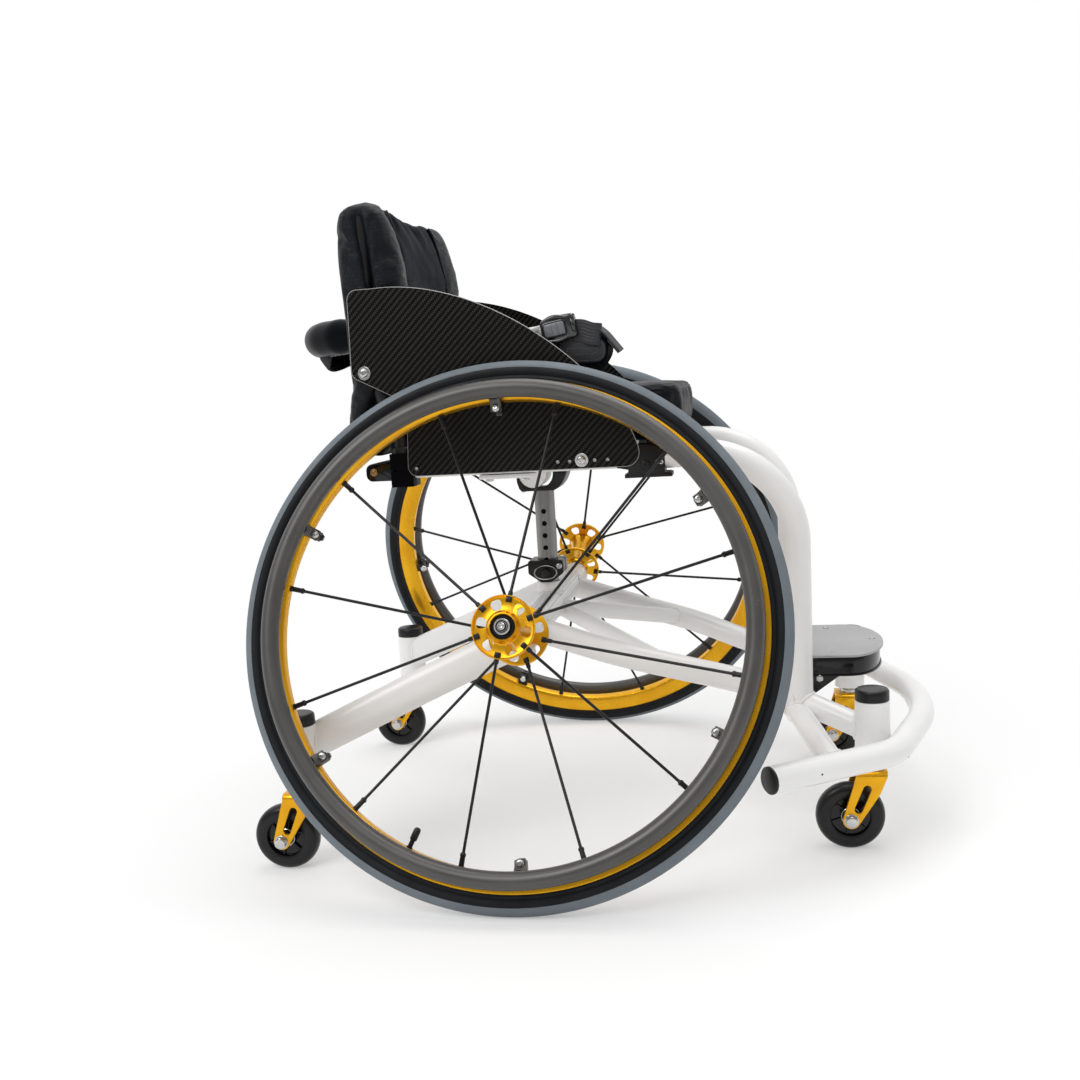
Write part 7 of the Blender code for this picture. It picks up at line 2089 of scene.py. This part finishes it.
def build_buckle():
    """The rounded push-button buckle and its ridged button."""
    long, tall, half = BUCKLE_LENGTH / 2, BUCKLE_HEIGHT / 2, BUCKLE_THICKNESS / 2
    # The left end stops short of the model's block, so that the tongue shows
    left = -0.0165
    outline = rounded([(left, -tall * 0.76), (-long * 0.2, -tall), (long, -tall * 0.86), (long, tall * 0.86),
                       (-long * 0.2, tall), (left, tall * 0.76)], [0.007, 0.024, 0.006, 0.006, 0.024, 0.007],
                      8)
    rings = []
    for level, inset in ((-half, 0.0030), (-half + 0.0012, 0.0010), (-half + 0.0034, 0.0001),
                         (half - 0.0034, 0.0001), (half - 0.0012, 0.0010), (half, 0.0030)):
        rings.append([Vector((x * (1 - inset / long), level, z * (1 - inset / tall))) for x, z in outline])
    pocket = block((-0.0123, -half - 0.002, -0.0078), (0.0123, -half + 0.0080, 0.0078))
    slot = block((-long - 0.01, -0.0013, -0.0093), (-long + 0.0103, 0.0013, 0.0093))
    body = combined(loft(rings), [pocket, slot])
    buckle = Piece().add(body, "buckle_gloss")
    loop = [Vector((0.0132 * math.copysign(min(1.0, abs(math.cos(t)) * 1.25), math.cos(t)), -half - 0.0001,
                    0.0087 * math.copysign(min(1.0, abs(math.sin(t)) * 1.25), math.sin(t))))
            for t in np.linspace(0, 2 * math.pi, 49)[:-1]]
    buckle.add(tube(loop, 0.0008, 8, Y_AXIS, True), "buckle_gloss")
    for sign in (1.0, -1.0):
        lobe = [Vector((-0.0145 + 0.0300 * k / 14, -half + 0.0012,
                        sign * (0.0100 + 0.0034 * math.sin(math.pi * k / 14))))
                for k in range(15)]
        sizes = [oval(0.0009 + 0.0021 * math.sin(math.pi * (0.06 + 0.88 * k / 14)), sides=14)
                 for k in range(15)]
        buckle.add(sweep(lobe, sizes, Y_AXIS), "buckle_gloss")
    flange, sizes = [], []
    for k in range(17):
        share = 2 * k / 16 - 1
        flange.append(Vector((long - 0.0036 - 0.0034 * share * share, -half + 0.0018 + 0.0034 * share * share,
                              0.0118 * share)))
        size = 0.55 + 0.45 * math.cos(share * math.pi / 2)
        sizes.append(oval(0.0036 * size, 0.0030 * size, 16))
    buckle.add(sweep(flange, sizes, X_AXIS), "buckle_gloss")
    guide = bevelled(block((long - 0.0035, -0.0045, -0.0130), (long - 0.0004, 0.0045, 0.0130)), 0.0010)
    buckle.add(guide, "black_plastic")
    place = buckle_matrix()
    buckle.moved(place).build("buckle_dressed", "seat", ["buckle"], "black_plastic", 35.0)

    face = -half - 0.003
    shape = rounded([(-0.012, -0.0075), (0.012, -0.0075), (0.012, 0.0075), (-0.012, 0.0075)], [0.003] * 4, 5)
    rings = []
    for level, inset in ((face, 0.0010), (face + 0.0006, 0.0002), (face + 0.0012, 0.0), (face + 0.008, 0.0)):
        rings.append([Vector((x * (1 - inset / 0.012), level, z * (1 - inset / 0.0075))) for x, z in shape])
    button = Piece().add(loft(rings), "button_grey")
    for x in (-0.0035, 0.0035):
        ridge = tube([Vector((x, face - 0.0002, z)) for z in np.linspace(-0.0050, 0.0050, 9)], 0.0009, 12,
                     X_AXIS)
        button.add(ridge, "button_grey")
    button.moved(place).build("buckle_button_dressed", "buckle_button", ["buckle_button"], "black_plastic",
                              35.0)


# Stage, light and camera

def new_node(nodes, kind, values, **settings):
    """A shader node with its input values and settings."""
    node = nodes.new("ShaderNode" + kind)
    for key, value in settings.items():
        setattr(node, key, value)
    for key, value in values.items():
        node.inputs[key].default_value = value
    return node


def mixed(nodes, links, share, first, second):
    """A mix of two shaders by a share."""
    mix = nodes.new("ShaderNodeMixShader")
    links.new(share, mix.inputs["Fac"])
    links.new(first.outputs[0], mix.inputs[1])
    links.new(second.outputs[0], mix.inputs[2])
    return mix


def build_stage():
    """A white floor that keeps the shadow and fades into the white background."""
    size = 9.0
    mesh = bpy.data.meshes.new("floor")
    mesh.from_pydata([(-size, -size, 0), (size, -size, 0), (size, size, 0), (-size, size, 0)], [],
                     [(0, 1, 2, 3)])
    floor = bpy.data.objects.new("floor", mesh)
    bpy.context.scene.collection.objects.link(floor)
    material = bpy.data.materials.new("floor_white")
    material.use_nodes = True
    tree = material.node_tree
    nodes, links = tree.nodes, tree.links
    nodes.clear()
    output = nodes.new("ShaderNodeOutputMaterial")
    diffuse = new_node(nodes, "BsdfDiffuse", {"Color": (0.96, 0.96, 0.96, 1.0)})
    glow = nodes.new("ShaderNodeEmission")
    coordinates = nodes.new("ShaderNodeTexCoord")
    length = new_node(nodes, "VectorMath", {}, operation="LENGTH")
    links.new(coordinates.outputs["Object"], length.inputs[0])
    fade = new_node(nodes, "MapRange", {"From Min": 0.45, "From Max": 1.05, "To Min": 0.35},
                    interpolation_type="SMOOTHSTEP")
    links.new(length.outputs["Value"], fade.inputs["Value"])
    floor_mix = mixed(nodes, links, fade.outputs["Result"], diffuse, glow)
    rays = nodes.new("ShaderNodeLightPath")
    seen = new_node(nodes, "Math", {}, operation="MAXIMUM")
    links.new(rays.outputs["Is Camera Ray"], seen.inputs[0])
    links.new(rays.outputs["Is Glossy Ray"], seen.inputs[1])
    choose = mixed(nodes, links, seen.outputs[0], diffuse, floor_mix)
    links.new(choose.outputs[0], output.inputs["Surface"])
    mesh.materials.append(material)


def build_light():
    """An even white surround, with two broad soft lamps for shape."""
    world = bpy.data.worlds.new("studio")
    bpy.context.scene.world = world
    world.use_nodes = True
    nodes, links = world.node_tree.nodes, world.node_tree.links
    background = nodes["Background"]
    background.inputs["Color"].default_value = WHITE
    background.inputs["Strength"].default_value = 0.58
    white = new_node(nodes, "Background", {"Color": WHITE, "Strength": 1.0})
    # The room in front of the chair is dimmer than the backdrop and the ceiling, which metal shows
    room = new_node(nodes, "Background", {"Color": WHITE})
    direction = nodes.new("ShaderNodeTexCoord")
    axes = nodes.new("ShaderNodeSeparateXYZ")
    links.new(direction.outputs["Generated"], axes.inputs[0])
    shares = []
    for axis, low, high in (("Y", -0.35, 0.45), ("Z", 0.30, 0.80)):
        share = new_node(nodes, "MapRange", {"From Min": low, "From Max": high, "To Min": 0.30},
                         interpolation_type="SMOOTHSTEP")
        links.new(axes.outputs[axis], share.inputs["Value"])
        shares.append(share.outputs["Result"])
    brightest = new_node(nodes, "Math", {}, operation="MAXIMUM")
    links.new(shares[0], brightest.inputs[0])
    links.new(shares[1], brightest.inputs[1])
    links.new(brightest.outputs[0], room.inputs["Strength"])
    rays = nodes.new("ShaderNodeLightPath")
    source = background
    for ray, shader in (("Is Glossy Ray", room), ("Is Transmission Ray", white), ("Is Camera Ray", white)):
        source = mixed(nodes, links, rays.outputs[ray], source, shader)
    links.new(source.outputs[0], nodes["World Output"].inputs["Surface"])
    for name, place, size, power in (("key", (-1.5, -2.2, 2.6), 2.2, 48.0),
                                     ("top", (0.4, 0.5, 3.0), 2.6, 38.0)):
        light = bpy.data.lights.new(name, "AREA")
        light.shape = "DISK"
        light.size = size
        light.energy = power
        lamp = bpy.data.objects.new(name, light)
        bpy.context.scene.collection.objects.link(lamp)
        lamp.location = place
        aim = Vector((0.0, 0.0, 0.3)) - Vector(place)
        lamp.rotation_euler = aim.to_track_quat("-Z", "Y").to_euler()


def build_camera():
    """The photograph's viewpoint, fitted to both wheels."""
    yaw, pitch, roll = math.radians(-10.32), math.radians(-9.79), math.radians(-3.47)
    focal_pixels = 1223.0
    centre_x, centre_y = 537.0, 590.0
    forward = Vector((math.cos(pitch) * math.sin(yaw), math.cos(pitch) * math.cos(yaw), math.sin(pitch)))
    level = forward.cross(Z_AXIS).normalized()
    upright = level.cross(forward)
    right = math.cos(roll) * level + math.sin(roll) * upright
    up = -math.sin(roll) * level + math.cos(roll) * upright
    matrix = Matrix((right, up, -forward)).transposed().to_4x4()
    matrix.translation = Vector((0.266 + AXLE_X, -1.561, 0.559))
    camera = bpy.data.cameras.new("camera")
    camera.sensor_width = 36.0
    camera.lens = camera.sensor_width * focal_pixels / FRAME_PIXELS
    camera.shift_x = (FRAME_PIXELS / 2 - centre_x) / FRAME_PIXELS
    camera.shift_y = (centre_y - FRAME_PIXELS / 2) / FRAME_PIXELS
    viewer = bpy.data.objects.new("camera", camera)
    bpy.context.scene.collection.objects.link(viewer)
    viewer.matrix_world = matrix
    bpy.context.scene.camera = viewer


def build_all():
    """Dresses the whole chair."""
    build_camera()
    build_light()
    build_stage()
    build_tyres()
    build_rings()
    build_hubs()
    build_axles()
    build_camber_tube()
    build_rear_arms()
    build_legs()
    build_lower_tubes()
    build_brace()
    build_front_arms()
    build_bumper()
    build_cross_tube()
    build_caps()
    build_casters()
    build_column()
    build_rails()
    build_seat_frame()
    build_push_bar()
    build_guards()
    build_footplate()
    build_cushion()
    build_sling()
    build_backrest()
    build_straps()
    build_buckle()


build_all()
bpy.context.scene.view_settings.view_transform = "Standard"
